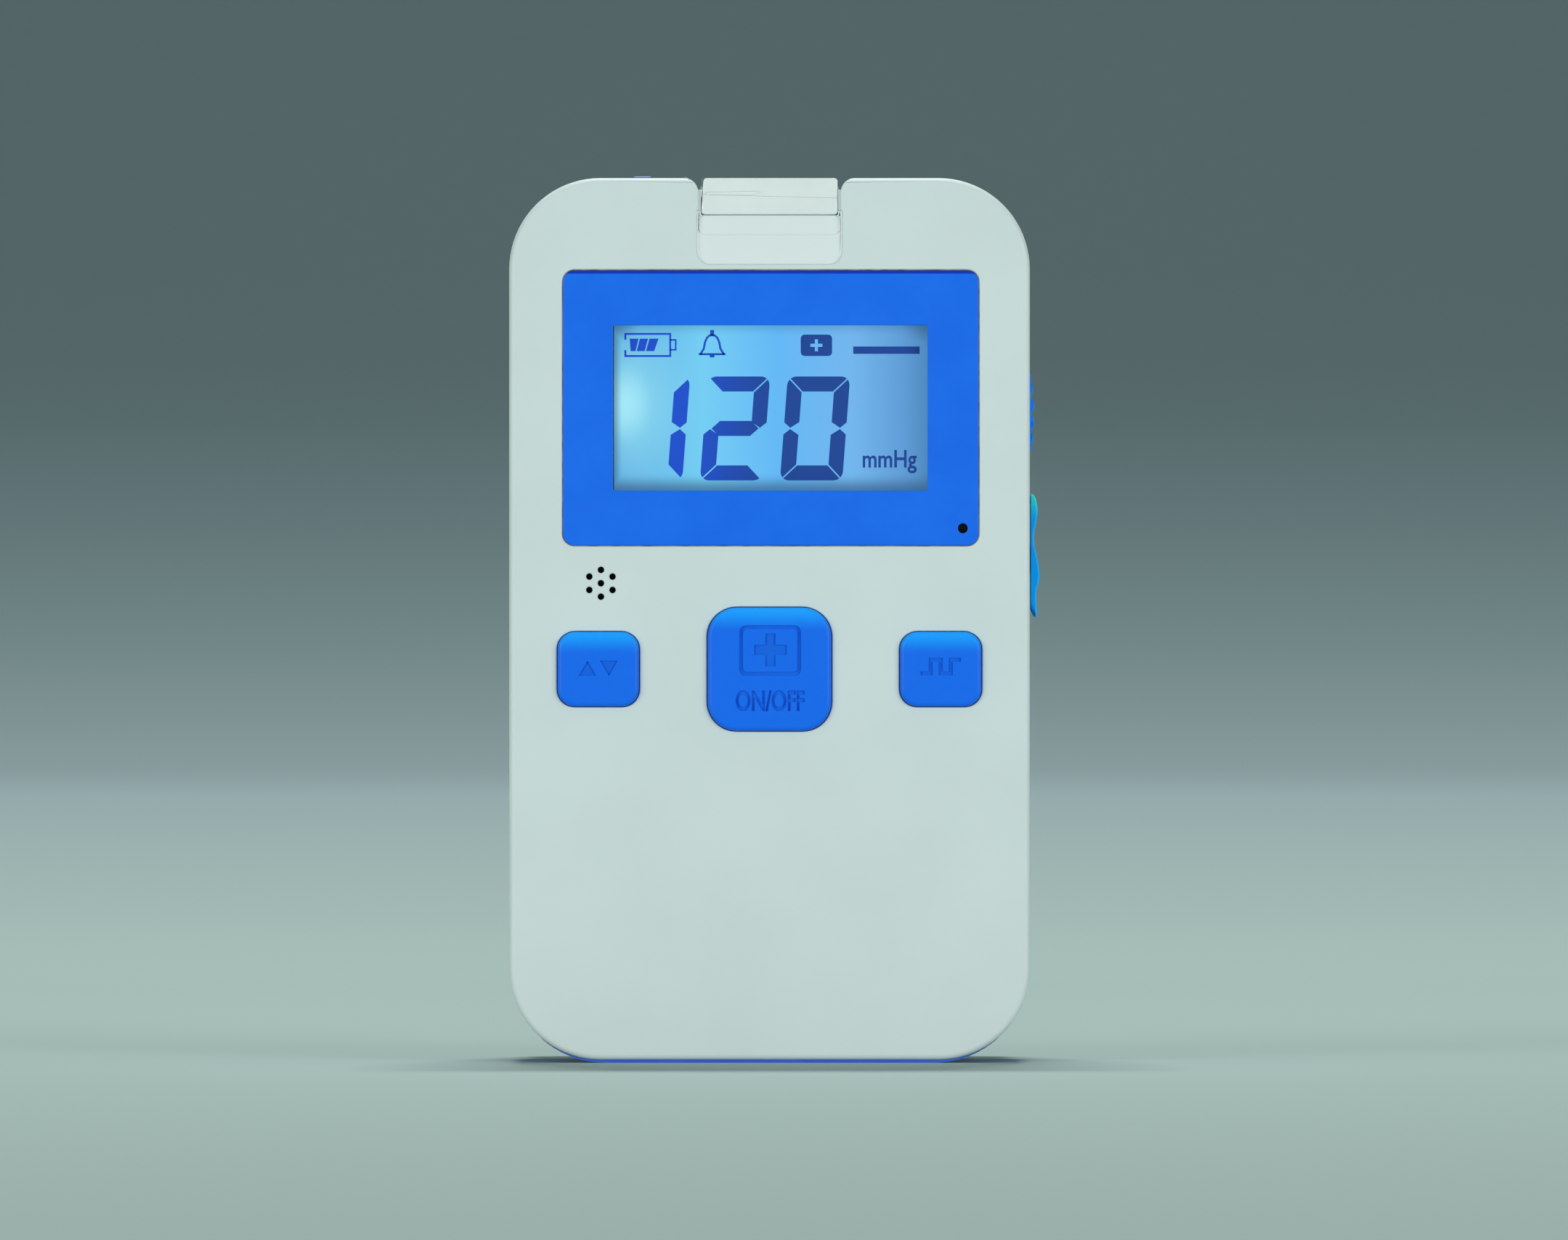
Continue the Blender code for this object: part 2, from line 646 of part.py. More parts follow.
def front_shell():
    shell = block("front_shell", (-CASE_WIDTH / 2, FRONT_FACE_Y, REAR_FOOT_LIP),
                  (CASE_WIDTH / 2, SPLIT_Y, CASE_HEIGHT), CASE_CORNER, CASE_CORNER_STEPS,
                  front_round=CASE_EDGE_ROUND)
    outside_y = FRONT_FACE_Y - CUT_OVERRUN
    inside_y = SPLIT_Y + CUT_OVERRUN
    recess_back_y = FRONT_FACE_Y + RECESS_DEEP_DEPTH
    cavity = case_outline("front_cavity", FRONT_INNER_Y, inside_y)
    cut(cavity,
        block("front_notch_walls", *centred(NOTCH_WIDTH + 2 * CASE_WALL, outside_y,
                                            inside_y + CUT_OVERRUN, NOTCH_FRONT_FLOOR_Z - CASE_WALL,
                                            CASE_HEIGHT)),
        block("recess_walls", *centred(RECESS_WIDTH + 2 * CASE_WALL, outside_y,
                                       recess_back_y + CASE_WALL, RECESS_BOTTOM_Z - CASE_WALL,
                                       NOTCH_FRONT_FLOOR_Z)))
    cut(shell, cavity)
    for i, (x, z) in enumerate(screw_places()):
        add(shell, along_y(f"front_boss_{i}", BOSS_RADIUS, x, z, FRONT_INNER_Y - ROOT_BITE, SPLIT_Y))
    cut(shell,
        outline_solid("front_notch", notch_outline(NOTCH_FRONT_FLOOR_Z), outside_y, inside_y),
        block("recess_deep", *centred(RECESS_WIDTH, outside_y, recess_back_y, RECESS_STEP_Z,
                                      NOTCH_FRONT_FLOOR_Z + ROOT_BITE)),
        block("recess_shallow", *centred(RECESS_WIDTH, outside_y, FRONT_FACE_Y + RECESS_SHALLOW_DEPTH,
                                         RECESS_BOTTOM_Z, NOTCH_FRONT_FLOOR_Z), RECESS_CORNER),
        block("lens_pocket", *around(LENS_CENTRE_X, LENS_CENTRE_Z, LENS_WIDTH + 2 * LENS_SEAM,
                                     LENS_HEIGHT + 2 * LENS_SEAM, outside_y, LENS_FLOOR_Y),
              LENS_CORNER + LENS_SEAM),
        block("display_window", *around(LENS_CENTRE_X, LENS_CENTRE_Z, LENS_WIDTH - 2 * LENS_LEDGE,
                                        LENS_HEIGHT - 2 * LENS_LEDGE, outside_y, inside_y)))
    holes = [along_y(f"speaker_hole_{i}", SPEAKER_HOLE_RADIUS, x, z, outside_y, inside_y,
                     SMALL_ROUND_SIDES) for i, (x, z) in enumerate(speaker_hole_places())]
    cut(shell, add(holes[0], *holes[1:]))
    for name, x, width, height, corner in key_places():
        cut(shell, block(f"{name}_hole", *around(x, KEY_ROW_Z, width + 2 * KEY_GAP,
                                                 height + 2 * KEY_GAP, outside_y, inside_y),
                         corner + KEY_GAP))
    for i, (x, z) in enumerate(screw_places()):
        cut(shell, along_y(f"screw_pilot_{i}", SCREW_RADIUS + FIT_GAP, x, z,
                           SPLIT_Y - SCREW_BITE - FIT_GAP, inside_y, SMALL_ROUND_SIDES))
    dress(shell, WHITE, 0.42)


def rear_shell():
    shell = block("rear_shell", (-REAR_SIDE_X, REAR_FRONT_Y, 0), (REAR_SIDE_X, REAR_BACK_Y, REAR_TOP_Z),
                  CASE_CORNER, CASE_CORNER_STEPS, back_round=CASE_EDGE_ROUND)
    before_y = REAR_FRONT_Y - CUT_OVERRUN
    behind_y = REAR_BACK_Y + CUT_OVERRUN
    cavity = case_outline("rear_cavity", before_y, REAR_INNER_Y)
    cut(cavity, block("rear_notch_walls", *centred(NOTCH_WIDTH + 2 * CASE_WALL, before_y - CUT_OVERRUN,
                                                   behind_y, NOTCH_REAR_FLOOR_Z - CASE_WALL,
                                                   CASE_HEIGHT)))
    cut(shell, cavity)
    for i, (x, z) in enumerate(screw_places()):
        add(shell, along_y(f"rear_boss_{i}", BOSS_RADIUS, x, z, REAR_FRONT_Y, REAR_INNER_Y + ROOT_BITE))
    rail_neck_y = REAR_BACK_Y + RAIL_NECK_DEPTH
    for side in (-1, 1):
        rail_top_z = RAIL_BOTTOM_Z + RAIL_LENGTH
        neck = block(f"rail_neck_{side}", *centred(RAIL_NECK, REAR_BACK_Y - ROOT_BITE,
                                                   rail_neck_y + ROOT_BITE, RAIL_BOTTOM_Z, rail_top_z,
                                                   side * RAIL_X))
        head = block(f"rail_head_{side}", *centred(RAIL_HEAD, rail_neck_y, rail_neck_y + RAIL_HEAD_DEPTH,
                                                   RAIL_BOTTOM_Z, rail_top_z, side * RAIL_X))
        add(shell, neck, head)
    outside_x = REAR_SIDE_X + CUT_OVERRUN
    inside_x = SIDE_INNER_X - CUT_OVERRUN
    slot_half = SLIDER_WIDTH / 2 + FIT_GAP
    lamp_half = LAMP_WIDTH / 2 + KEY_GAP
    cut(shell,
        outline_solid("rear_notch", notch_outline(NOTCH_FRONT_FLOOR_Z), before_y, behind_y),
        block("rear_notch_deep", *centred(NOTCH_WIDTH, REAR_FRONT_Y + CASE_WALL, behind_y,
                                          NOTCH_REAR_FLOOR_Z, NOTCH_FRONT_FLOOR_Z + ROOT_BITE)),
        block("slider_slot", (inside_x, SIDE_PIECES_Y - slot_half, SLIDER_BOTTOM_Z - FIT_GAP),
              (outside_x, SIDE_PIECES_Y + slot_half,
               SLIDER_BOTTOM_Z + SLIDER_LENGTH + SLIDER_TRAVEL + FIT_GAP)),
        along_x("socket_window", SOCKET_WINDOW_RADIUS, SIDE_PIECES_Y, SOCKET_Z, inside_x, outside_x),
        along_x("cover_post_hole", COVER_POST_RADIUS + KEY_GAP, SIDE_PIECES_Y,
                (COVER_TOP_Z + COVER_HINGE_Z) / 2, inside_x, outside_x, SMALL_ROUND_SIDES),
        block("lamp_hole", (LAMP_X - lamp_half, LAMP_Y - lamp_half, INNER_TOP_Z - CUT_OVERRUN),
              (LAMP_X + lamp_half, LAMP_Y + lamp_half, CASE_HEIGHT + CUT_OVERRUN)),
        rod("vacuum_port_hole", VACUUM_NIPPLE_RADIUS + FIT_GAP,
            (0, nipple_y(), NOTCH_REAR_FLOOR_Z - CASE_WALL - CUT_OVERRUN),
            (0, nipple_y(), NOTCH_REAR_FLOOR_Z + CUT_OVERRUN)))
    for i, (x, z) in enumerate(screw_places()):
        cut(shell,
            along_y(f"screw_way_{i}", SCREW_RADIUS + FIT_GAP, x, z, before_y, behind_y,
                    SMALL_ROUND_SIDES),
            along_y(f"screw_sink_{i}", SCREW_HEAD_RADIUS + FIT_GAP, x, z,
                    REAR_BACK_Y - SCREW_RECESS - SCREW_HEAD_DEPTH, behind_y, SMALL_ROUND_SIDES))
    dress(shell, DEEP_BLUE, 0.42)


def nipple_y():
    """The vacuum nipple stands in the middle of the deep part of the notch."""
    return (REAR_FRONT_Y + CASE_WALL + REAR_BACK_Y) / 2


def case_seal():
    """A rubber ring just inside the joint between the shells; it dips round the notch."""
    low_y = SPLIT_Y + FIT_GAP / 2 - SEAL_DEPTH / 2
    high_y = low_y + SEAL_DEPTH
    seal = case_outline("case_seal", low_y, high_y, FIT_GAP)
    inner = case_outline("seal_inside", low_y - CUT_OVERRUN, high_y + CUT_OVERRUN,
                         FIT_GAP + SEAL_WIDTH)
    for target, name, spread in ((seal, "seal_dip", FIT_GAP),
                                 (inner, "seal_inner_dip", FIT_GAP + SEAL_WIDTH)):
        cut(target, block(name, *centred(NOTCH_WIDTH + 2 * (CASE_WALL + spread),
                                         low_y - 2 * CUT_OVERRUN, high_y + 2 * CUT_OVERRUN,
                                         NOTCH_REAR_FLOOR_Z - CASE_WALL - spread,
                                         CASE_HEIGHT + CUT_OVERRUN)))
    cut(seal, inner)
    dress(seal, BLACK, 0.8)


def case_screws():
    head_y = REAR_BACK_Y - SCREW_RECESS
    for i, (x, z) in enumerate(screw_places()):
        screw = along_y(f"case_screw_{i + 1}", SCREW_HEAD_RADIUS, x, z, head_y - SCREW_HEAD_DEPTH, head_y,
                        SMALL_ROUND_SIDES)
        add(screw, along_y(f"screw_shank_{i}", SCREW_RADIUS, x, z, SPLIT_Y - SCREW_BITE,
                           head_y - SCREW_HEAD_DEPTH + ROOT_BITE, SMALL_ROUND_SIDES))
        cut(screw, along_y(f"screw_socket_{i}", SCREW_SOCKET_RADIUS, x, z, head_y - SCREW_SOCKET_DEPTH,
                           head_y + CUT_OVERRUN, HEX_SIDES))
        dress(screw, METAL, 0.3, 1.0)


def display():
    """The printed window, the light baffle behind it, and the display module in its frame."""
    pocket = (LENS_CENTRE_X, LENS_CENTRE_Z)
    lens = block("display_lens", *around(*pocket, LENS_WIDTH, LENS_HEIGHT, FRONT_FACE_Y, LENS_BACK_Y),
                 LENS_CORNER, front_round=LENS_EDGE_ROUND)
    cut(lens, along_y("sensor_hole", SENSOR_RADIUS + SENSOR_CLEARANCE, SENSOR_X, SENSOR_Z,
                      FRONT_FACE_Y - CUT_OVERRUN, LENS_BACK_Y + CUT_OVERRUN, SMALL_ROUND_SIDES))
    dress(lens, LENS_BLUE, 0.25)
    sensor = along_y("light_sensor", SENSOR_RADIUS, SENSOR_X, SENSOR_Z,
                     FRONT_FACE_Y + SENSOR_CLEARANCE, LENS_BACK_Y, SMALL_ROUND_SIDES)
    dress(sensor, BLACK, 0.3)
    opening_width = LENS_WIDTH - 2 * LENS_LEDGE - 2 * FIT_GAP
    opening_height = LENS_HEIGHT - 2 * LENS_LEDGE - 2 * FIT_GAP
    gasket = block("display_gasket", *around(*pocket, opening_width, opening_height, LENS_FLOOR_Y,
                                             FRONT_INNER_Y))
    cut(gasket, block("gasket_window", *around(*pocket, PANEL_WINDOW_WIDTH, PANEL_WINDOW_HEIGHT,
                                               LENS_FLOOR_Y - CUT_OVERRUN, FRONT_INNER_Y + CUT_OVERRUN)))
    dress(gasket, BLACK, 0.9)
    panel_size = (PANEL_WINDOW_WIDTH + 2 * PANEL_BORDER, PANEL_WINDOW_HEIGHT + 2 * PANEL_BORDER)
    panel = block("lcd_panel", *around(*pocket, *panel_size, PANEL_FRONT_Y, PANEL_BACK_Y))
    dress(panel, (0.25, 0.55, 0.75), 0.2)
    light = block("lcd_backlight", *around(*pocket, *panel_size, BACKLIGHT_FRONT_Y, BACKLIGHT_BACK_Y))
    dress(light, (0.85, 0.9, 0.95), 0.5)
    hollow = [size + 2 * FIT_GAP for size in panel_size]
    outer = [size + 2 * LCD_FRAME_WALL for size in hollow]
    floor_y = BACKLIGHT_BACK_Y + FIT_GAP
    back_y = floor_y + LCD_FRAME_FLOOR
    frame = block("lcd_frame", *around(*pocket, *outer, PANEL_FRONT_Y, back_y))
    for i in range(4):
        x = LENS_CENTRE_X + (1, -1)[i % 2] * (outer[0] - LCD_FOOT_SIDE) / 2
        z = LENS_CENTRE_Z + (1, -1)[i // 2] * (outer[1] - LCD_FOOT_SIDE) / 2
        add(frame, block(f"lcd_foot_{i}", *around(x, z, LCD_FOOT_SIDE, LCD_FOOT_SIDE,
                                                  back_y - ROOT_BITE, BOARD_FRONT_Y - FIT_GAP)))
    cut(frame, block("lcd_frame_hollow", *around(*pocket, *hollow, PANEL_FRONT_Y - CUT_OVERRUN, floor_y)))
    dress(frame, BLACK, 0.5)


def board_and_speaker():
    board = block("main_board", *centred(BOARD_WIDTH, BOARD_FRONT_Y, BOARD_BACK_Y, BOARD_BOTTOM_Z,
                                         BOARD_TOP_Z))
    dress(board, GREEN, 0.5)
    mesh_y = FRONT_INNER_Y + FIT_GAP
    mesh = along_y("speaker_mesh", SPEAKER_MESH_RADIUS, SPEAKER_X, SPEAKER_Z, mesh_y,
                   mesh_y + SPEAKER_MESH_THICKNESS)
    dress(mesh, BLACK, 0.9)
    speaker = along_y("speaker", SPEAKER_RADIUS, SPEAKER_X, SPEAKER_Z,
                      mesh_y + SPEAKER_MESH_THICKNESS + FIT_GAP, BOARD_FRONT_Y - FIT_GAP)
    dress(speaker, BLACK, 0.4)


def keys():
    stem_y = SWITCH_TOP_Y - FIT_GAP - KEY_TRAVEL
    retainer_y = KEY_FLANGE_BACK_Y + KEY_TRAVEL + FIT_GAP
    retainer_back_y = retainer_y + RETAINER_THICKNESS
    retainer = block("keypad_retainer", *around(0, KEY_ROW_Z, 2 * SIDE_KEY_X + SIDE_KEY_WIDTH,
                                                SIDE_KEY_HEIGHT + KEY_FLANGE, retainer_y, retainer_back_y))
    post_x = PUMP_KEY_SIDE / 2 + KEY_FLANGE + FIT_GAP + RETAINER_POST / 2
    post_rise = SIDE_KEY_HEIGHT / 2 + KEY_FLANGE + FIT_GAP + RETAINER_POST / 2
    add(retainer, block("retainer_middle", *around(0, KEY_ROW_Z, 2 * post_x + RETAINER_POST,
                                                   2 * post_rise + RETAINER_POST, retainer_y,
                                                   retainer_back_y)))
    for i in range(4):
        x, z = (1, -1)[i % 2] * post_x, KEY_ROW_Z + (1, -1)[i // 2] * post_rise
        add(retainer, block(f"retainer_post_{i}", *around(x, z, RETAINER_POST, RETAINER_POST,
                                                          KEY_FLANGE_FRONT_Y, BOARD_FRONT_Y - FIT_GAP)))
    switch_low_y = BOARD_FRONT_Y - FIT_GAP - SWITCH_HEIGHT
    for name, x, width, height, corner in key_places():
        key = block(name, *around(x, KEY_ROW_Z, width, height, FRONT_FACE_Y - KEY_PROUD,
                                  KEY_FLANGE_FRONT_Y + ROOT_BITE), corner, front_round=KEY_EDGE_ROUND)
        add(key,
            block(f"{name}_flange", *around(x, KEY_ROW_Z, width + 2 * KEY_FLANGE, height + 2 * KEY_FLANGE,
                                            KEY_FLANGE_FRONT_Y, KEY_FLANGE_BACK_Y), corner),
            along_y(f"{name}_stem", KEY_STEM_RADIUS, x, KEY_ROW_Z, KEY_FLANGE_BACK_Y - ROOT_BITE, stem_y))
        turn_on(key, (x, FRONT_FACE_Y, KEY_ROW_Z))
        dress(key, KEY_BLUE, 0.5)
        cut(retainer, along_y(f"{name}_stem_hole", KEY_STEM_RADIUS + FIT_GAP, x, KEY_ROW_Z,
                              retainer_y - CUT_OVERRUN, retainer_back_y + CUT_OVERRUN))
        switch = block(f"{name}_switch", *around(x, KEY_ROW_Z, SWITCH_SIDE, SWITCH_SIDE, switch_low_y,
                                                 BOARD_FRONT_Y - FIT_GAP))
        add(switch, along_y(f"{name}_switch_button", SWITCH_BUTTON_RADIUS, x, KEY_ROW_Z, SWITCH_TOP_Y,
                            switch_low_y + ROOT_BITE, SMALL_ROUND_SIDES))
        dress(switch, BLACK, 0.5)
    dress(retainer, GREY, 0.5)


def power_slide():
    """The ribbed slider in the right side, and the switch whose lever it pushes."""
    flange_out_x = SIDE_INNER_X - FIT_GAP
    flange_in_x = flange_out_x - SLIDER_FLANGE
    top_z = SLIDER_BOTTOM_Z + SLIDER_LENGTH
    middle_z = SLIDER_BOTTOM_Z + SLIDER_LENGTH / 2
    half = SLIDER_WIDTH / 2
    slider = block("power_slider", (flange_out_x - ROOT_BITE, SIDE_PIECES_Y - half, SLIDER_BOTTOM_Z),
                   (REAR_SIDE_X + SLIDER_BASE_PROUD, SIDE_PIECES_Y + half, top_z))
    overlap = SLIDER_TRAVEL + SLIDER_FLANGE
    add(slider, block("slider_flange",
                      (flange_in_x, SIDE_PIECES_Y - half - SLIDER_FLANGE, SLIDER_BOTTOM_Z - overlap),
                      (flange_out_x, SIDE_PIECES_Y + half + SLIDER_FLANGE, top_z + overlap)))
    rib_x = REAR_SIDE_X + SLIDER_RIB_PROUD - SLIDER_RIB_RADIUS
    for i in range(SLIDER_RIBS):
        z = middle_z + (i - (SLIDER_RIBS - 1) / 2) * SLIDER_RIB_SPACING
        add(slider, rod(f"slider_rib_{i}", SLIDER_RIB_RADIUS, (rib_x, SIDE_PIECES_Y - half + FIT_GAP, z),
                        (rib_x, SIDE_PIECES_Y + half - FIT_GAP, z), SMALL_ROUND_SIDES))
    lever_x = flange_in_x - ARM_REACH + ARM_WIDTH / 2
    add(slider, block("slider_arm", (flange_in_x - ARM_REACH, SIDE_PIECES_Y - ARM_WIDTH / 2,
                                     middle_z - ARM_WIDTH / 2),
                      (flange_in_x + ROOT_BITE, SIDE_PIECES_Y + ARM_WIDTH / 2, middle_z + ARM_WIDTH / 2)))
    reach = LEVER_SIDE / 2 + FIT_GAP
    cut(slider, block("arm_fork", (lever_x - reach, SIDE_PIECES_Y - ARM_WIDTH, middle_z - reach),
                      (lever_x + reach, SIDE_PIECES_Y + ARM_WIDTH, middle_z + reach)))
    turn_on(slider, (REAR_SIDE_X, SIDE_PIECES_Y, middle_z))
    dress(slider, KEY_BLUE, 0.5)
    switch_y = BOARD_BACK_Y + FIT_GAP
    switch_top_y = switch_y + SLIDE_SWITCH_DEPTH
    slot_floor_y = switch_top_y - LEVER_SIDE
    switch_z = middle_z + SLIDER_TRAVEL / 2
    switch = block("slide_switch", *centred(SLIDE_SWITCH_WIDTH, switch_y, switch_top_y,
                                            switch_z - SLIDE_SWITCH_LENGTH / 2,
                                            switch_z + SLIDE_SWITCH_LENGTH / 2, lever_x))
    cut(switch, block("lever_slot", (lever_x - reach, slot_floor_y, middle_z - reach),
                      (lever_x + reach, switch_top_y + CUT_OVERRUN, middle_z + SLIDER_TRAVEL + reach)))
    dress(switch, METAL, 0.35, 1.0)
    lever = block("switch_lever", *around(lever_x, middle_z, LEVER_SIDE, LEVER_SIDE,
                                          slot_floor_y + FIT_GAP, SIDE_PIECES_Y + ARM_WIDTH / 2))
    turn_on(lever, (lever_x, SIDE_PIECES_Y, middle_z))
    dress(lever, BLACK, 0.5)


def cover_outside():
    """(x, z) points down the wavy outer side of the charging cover, from its top to its tip."""
    marks = ((0, COVER_THICKNESS), (COVER_UPPER_HUMP_DROP, COVER_UPPER_HUMP),
             (COVER_VALLEY_DROP, COVER_VALLEY), (COVER_LOWER_HUMP_DROP, COVER_LOWER_HUMP),
             (COVER_WAIST_DROP, COVER_WAIST), (COVER_LENGTH, COVER_TIP_OUT))
    points = []
    for (drop0, out0), (drop1, out1) in zip(marks, marks[1:]):
        for step in range(COVER_WAVE_STEPS):
            t = step / COVER_WAVE_STEPS
            ease = (1 - cos(pi * t)) / 2
            points.append((REAR_SIDE_X + out0 + (out1 - out0) * ease,
                           COVER_TOP_Z - drop0 - (drop1 - drop0) * t))
    return points + [(REAR_SIDE_X + COVER_TIP_OUT, COVER_TIP_Z)]


def charging_port():
    """The socket, its rubber cover, and the root that holds the cover in the casing."""
    seat_x = REAR_SIDE_X + COVER_SEAT
    low_y, high_y = SIDE_PIECES_Y - COVER_WIDTH / 2, SIDE_PIECES_Y + COVER_WIDTH / 2
    outside = cover_outside()
    inside = [(REAR_SIDE_X + COVER_TIP_OUT - COVER_THICKNESS / 2, COVER_TIP_Z), (seat_x, COVER_LEAVES_CASE_Z),
              (seat_x, COVER_TOP_Z)]
    split_z = COVER_HINGE_Z
    wide_x = REAR_SIDE_X + 2 * COVER_LOWER_HUMP
    cover = outline_solid("port_cover", outside + inside, low_y, high_y)
    under_x = REAR_SIDE_X - CUT_OVERRUN
    cut(cover, block("above_hinge", (under_x, low_y - CUT_OVERRUN, split_z - FIT_GAP / 2),
                     (wide_x, high_y + CUT_OVERRUN, COVER_TOP_Z + CUT_OVERRUN)))
    add(cover, along_x("cover_plug", COVER_PLUG_RADIUS, SIDE_PIECES_Y, SOCKET_Z,
                       REAR_SIDE_X - COVER_PLUG_LENGTH, seat_x + ROOT_BITE))
    turn_on(cover, (REAR_SIDE_X + COVER_HINGE_OUT, SIDE_PIECES_Y, COVER_HINGE_Z))
    dress(cover, KEY_BLUE, 0.55)
    root = outline_solid("port_cover_root", outside + inside, low_y, high_y)
    cut(root, block("below_hinge", (under_x, low_y - CUT_OVERRUN, COVER_TIP_Z - CUT_OVERRUN),
                    (wide_x, high_y + CUT_OVERRUN, split_z + FIT_GAP / 2)))
    post_z = (COVER_TOP_Z + COVER_HINGE_Z) / 2
    head_x = SIDE_INNER_X - FIT_GAP
    add(root,
        along_x("cover_post", COVER_POST_RADIUS, SIDE_PIECES_Y, post_z, head_x - ROOT_BITE,
                seat_x + ROOT_BITE, SMALL_ROUND_SIDES),
        along_x("cover_post_head", COVER_POST_HEAD_RADIUS, SIDE_PIECES_Y, post_z,
                head_x - COVER_POST_HEAD, head_x, SMALL_ROUND_SIDES))
    dress(root, KEY_BLUE, 0.55)
    face_x = SIDE_INNER_X - FIT_GAP
    half = SOCKET_WIDTH / 2
    socket = block("dc_socket", (face_x - SOCKET_LENGTH, BOARD_BACK_Y + FIT_GAP, SOCKET_Z - half),
                   (face_x, SIDE_PIECES_Y + half, SOCKET_Z + half))
    bottom_x = face_x - SOCKET_BORE_DEPTH
    cut(socket, along_x("socket_bore", SOCKET_BORE_RADIUS, SIDE_PIECES_Y, SOCKET_Z, bottom_x,
                        face_x + CUT_OVERRUN))
    add(socket, along_x("socket_pin", SOCKET_PIN_RADIUS, SIDE_PIECES_Y, SOCKET_Z, bottom_x - ROOT_BITE,
                        face_x - SOCKET_PIN_SETBACK, SMALL_ROUND_SIDES))
    dress(socket, BLACK, 0.4)


def status_light():
    """The light pipe in the top edge and the lamp on the board under it."""
    half = LAMP_WIDTH / 2
    lamp = block("status_lamp", (LAMP_X - half, LAMP_Y - half, BOARD_TOP_Z + FIT_GAP),
                 (LAMP_X + half, LAMP_Y + half, REAR_TOP_Z + LAMP_PROUD), LAMP_SHOULDER, 1)
    spread = half + LAMP_FLANGE
    flange_top_z = INNER_TOP_Z - FIT_GAP
    add(lamp, block("lamp_flange", (LAMP_X - spread, LAMP_Y - spread, flange_top_z - LAMP_FLANGE),
                    (LAMP_X + spread, LAMP_Y + spread, flange_top_z)))
    dress(lamp, CLEAR, 0.2, alpha=0.6)
    led_y = BOARD_BACK_Y + FIT_GAP
    led = block("status_led", *centred(LED_WIDTH, led_y, led_y + LED_WIDTH, BOARD_TOP_Z - LED_HEIGHT,
                                       BOARD_TOP_Z, LAMP_X))
    dress(led, (0.9, 0.9, 0.8), 0.3)


def battery():
    back_y = REAR_INNER_Y - FIT_GAP
    floor_y = back_y - CRADLE_WALL
    cell_back_y = floor_y - FIT_GAP
    cell_front_y = cell_back_y - CELL_THICKNESS
    bay = (CRADLE_WIDTH - 3 * CRADLE_WALL) / 2
    cell_x = (bay + CRADLE_WALL) / 2
    bay_low_z = CRADLE_BOTTOM_Z + CRADLE_WALL
    bay_high_z = CRADLE_TOP_Z - CRADLE_WALL
    cradle = block("battery_cradle", *centred(CRADLE_WIDTH, cell_front_y, back_y, CRADLE_BOTTOM_Z,
                                              CRADLE_TOP_Z))
    for side, name in ((-1, "battery_cell_left"), (1, "battery_cell_right")):
        cut(cradle, block(f"cell_bay_{side}", *centred(bay, cell_front_y - CUT_OVERRUN, floor_y, bay_low_z,
                                                       bay_high_z, side * cell_x)))
        cell = block(name, *centred(bay - 2 * FIT_GAP, cell_front_y, cell_back_y, bay_low_z + FIT_GAP,
                                    bay_high_z - FIT_GAP, side * cell_x), CELL_CORNER)
        dress(cell, (0.12, 0.30, 0.62), 0.4)
    dress(cradle, BLACK, 0.6)


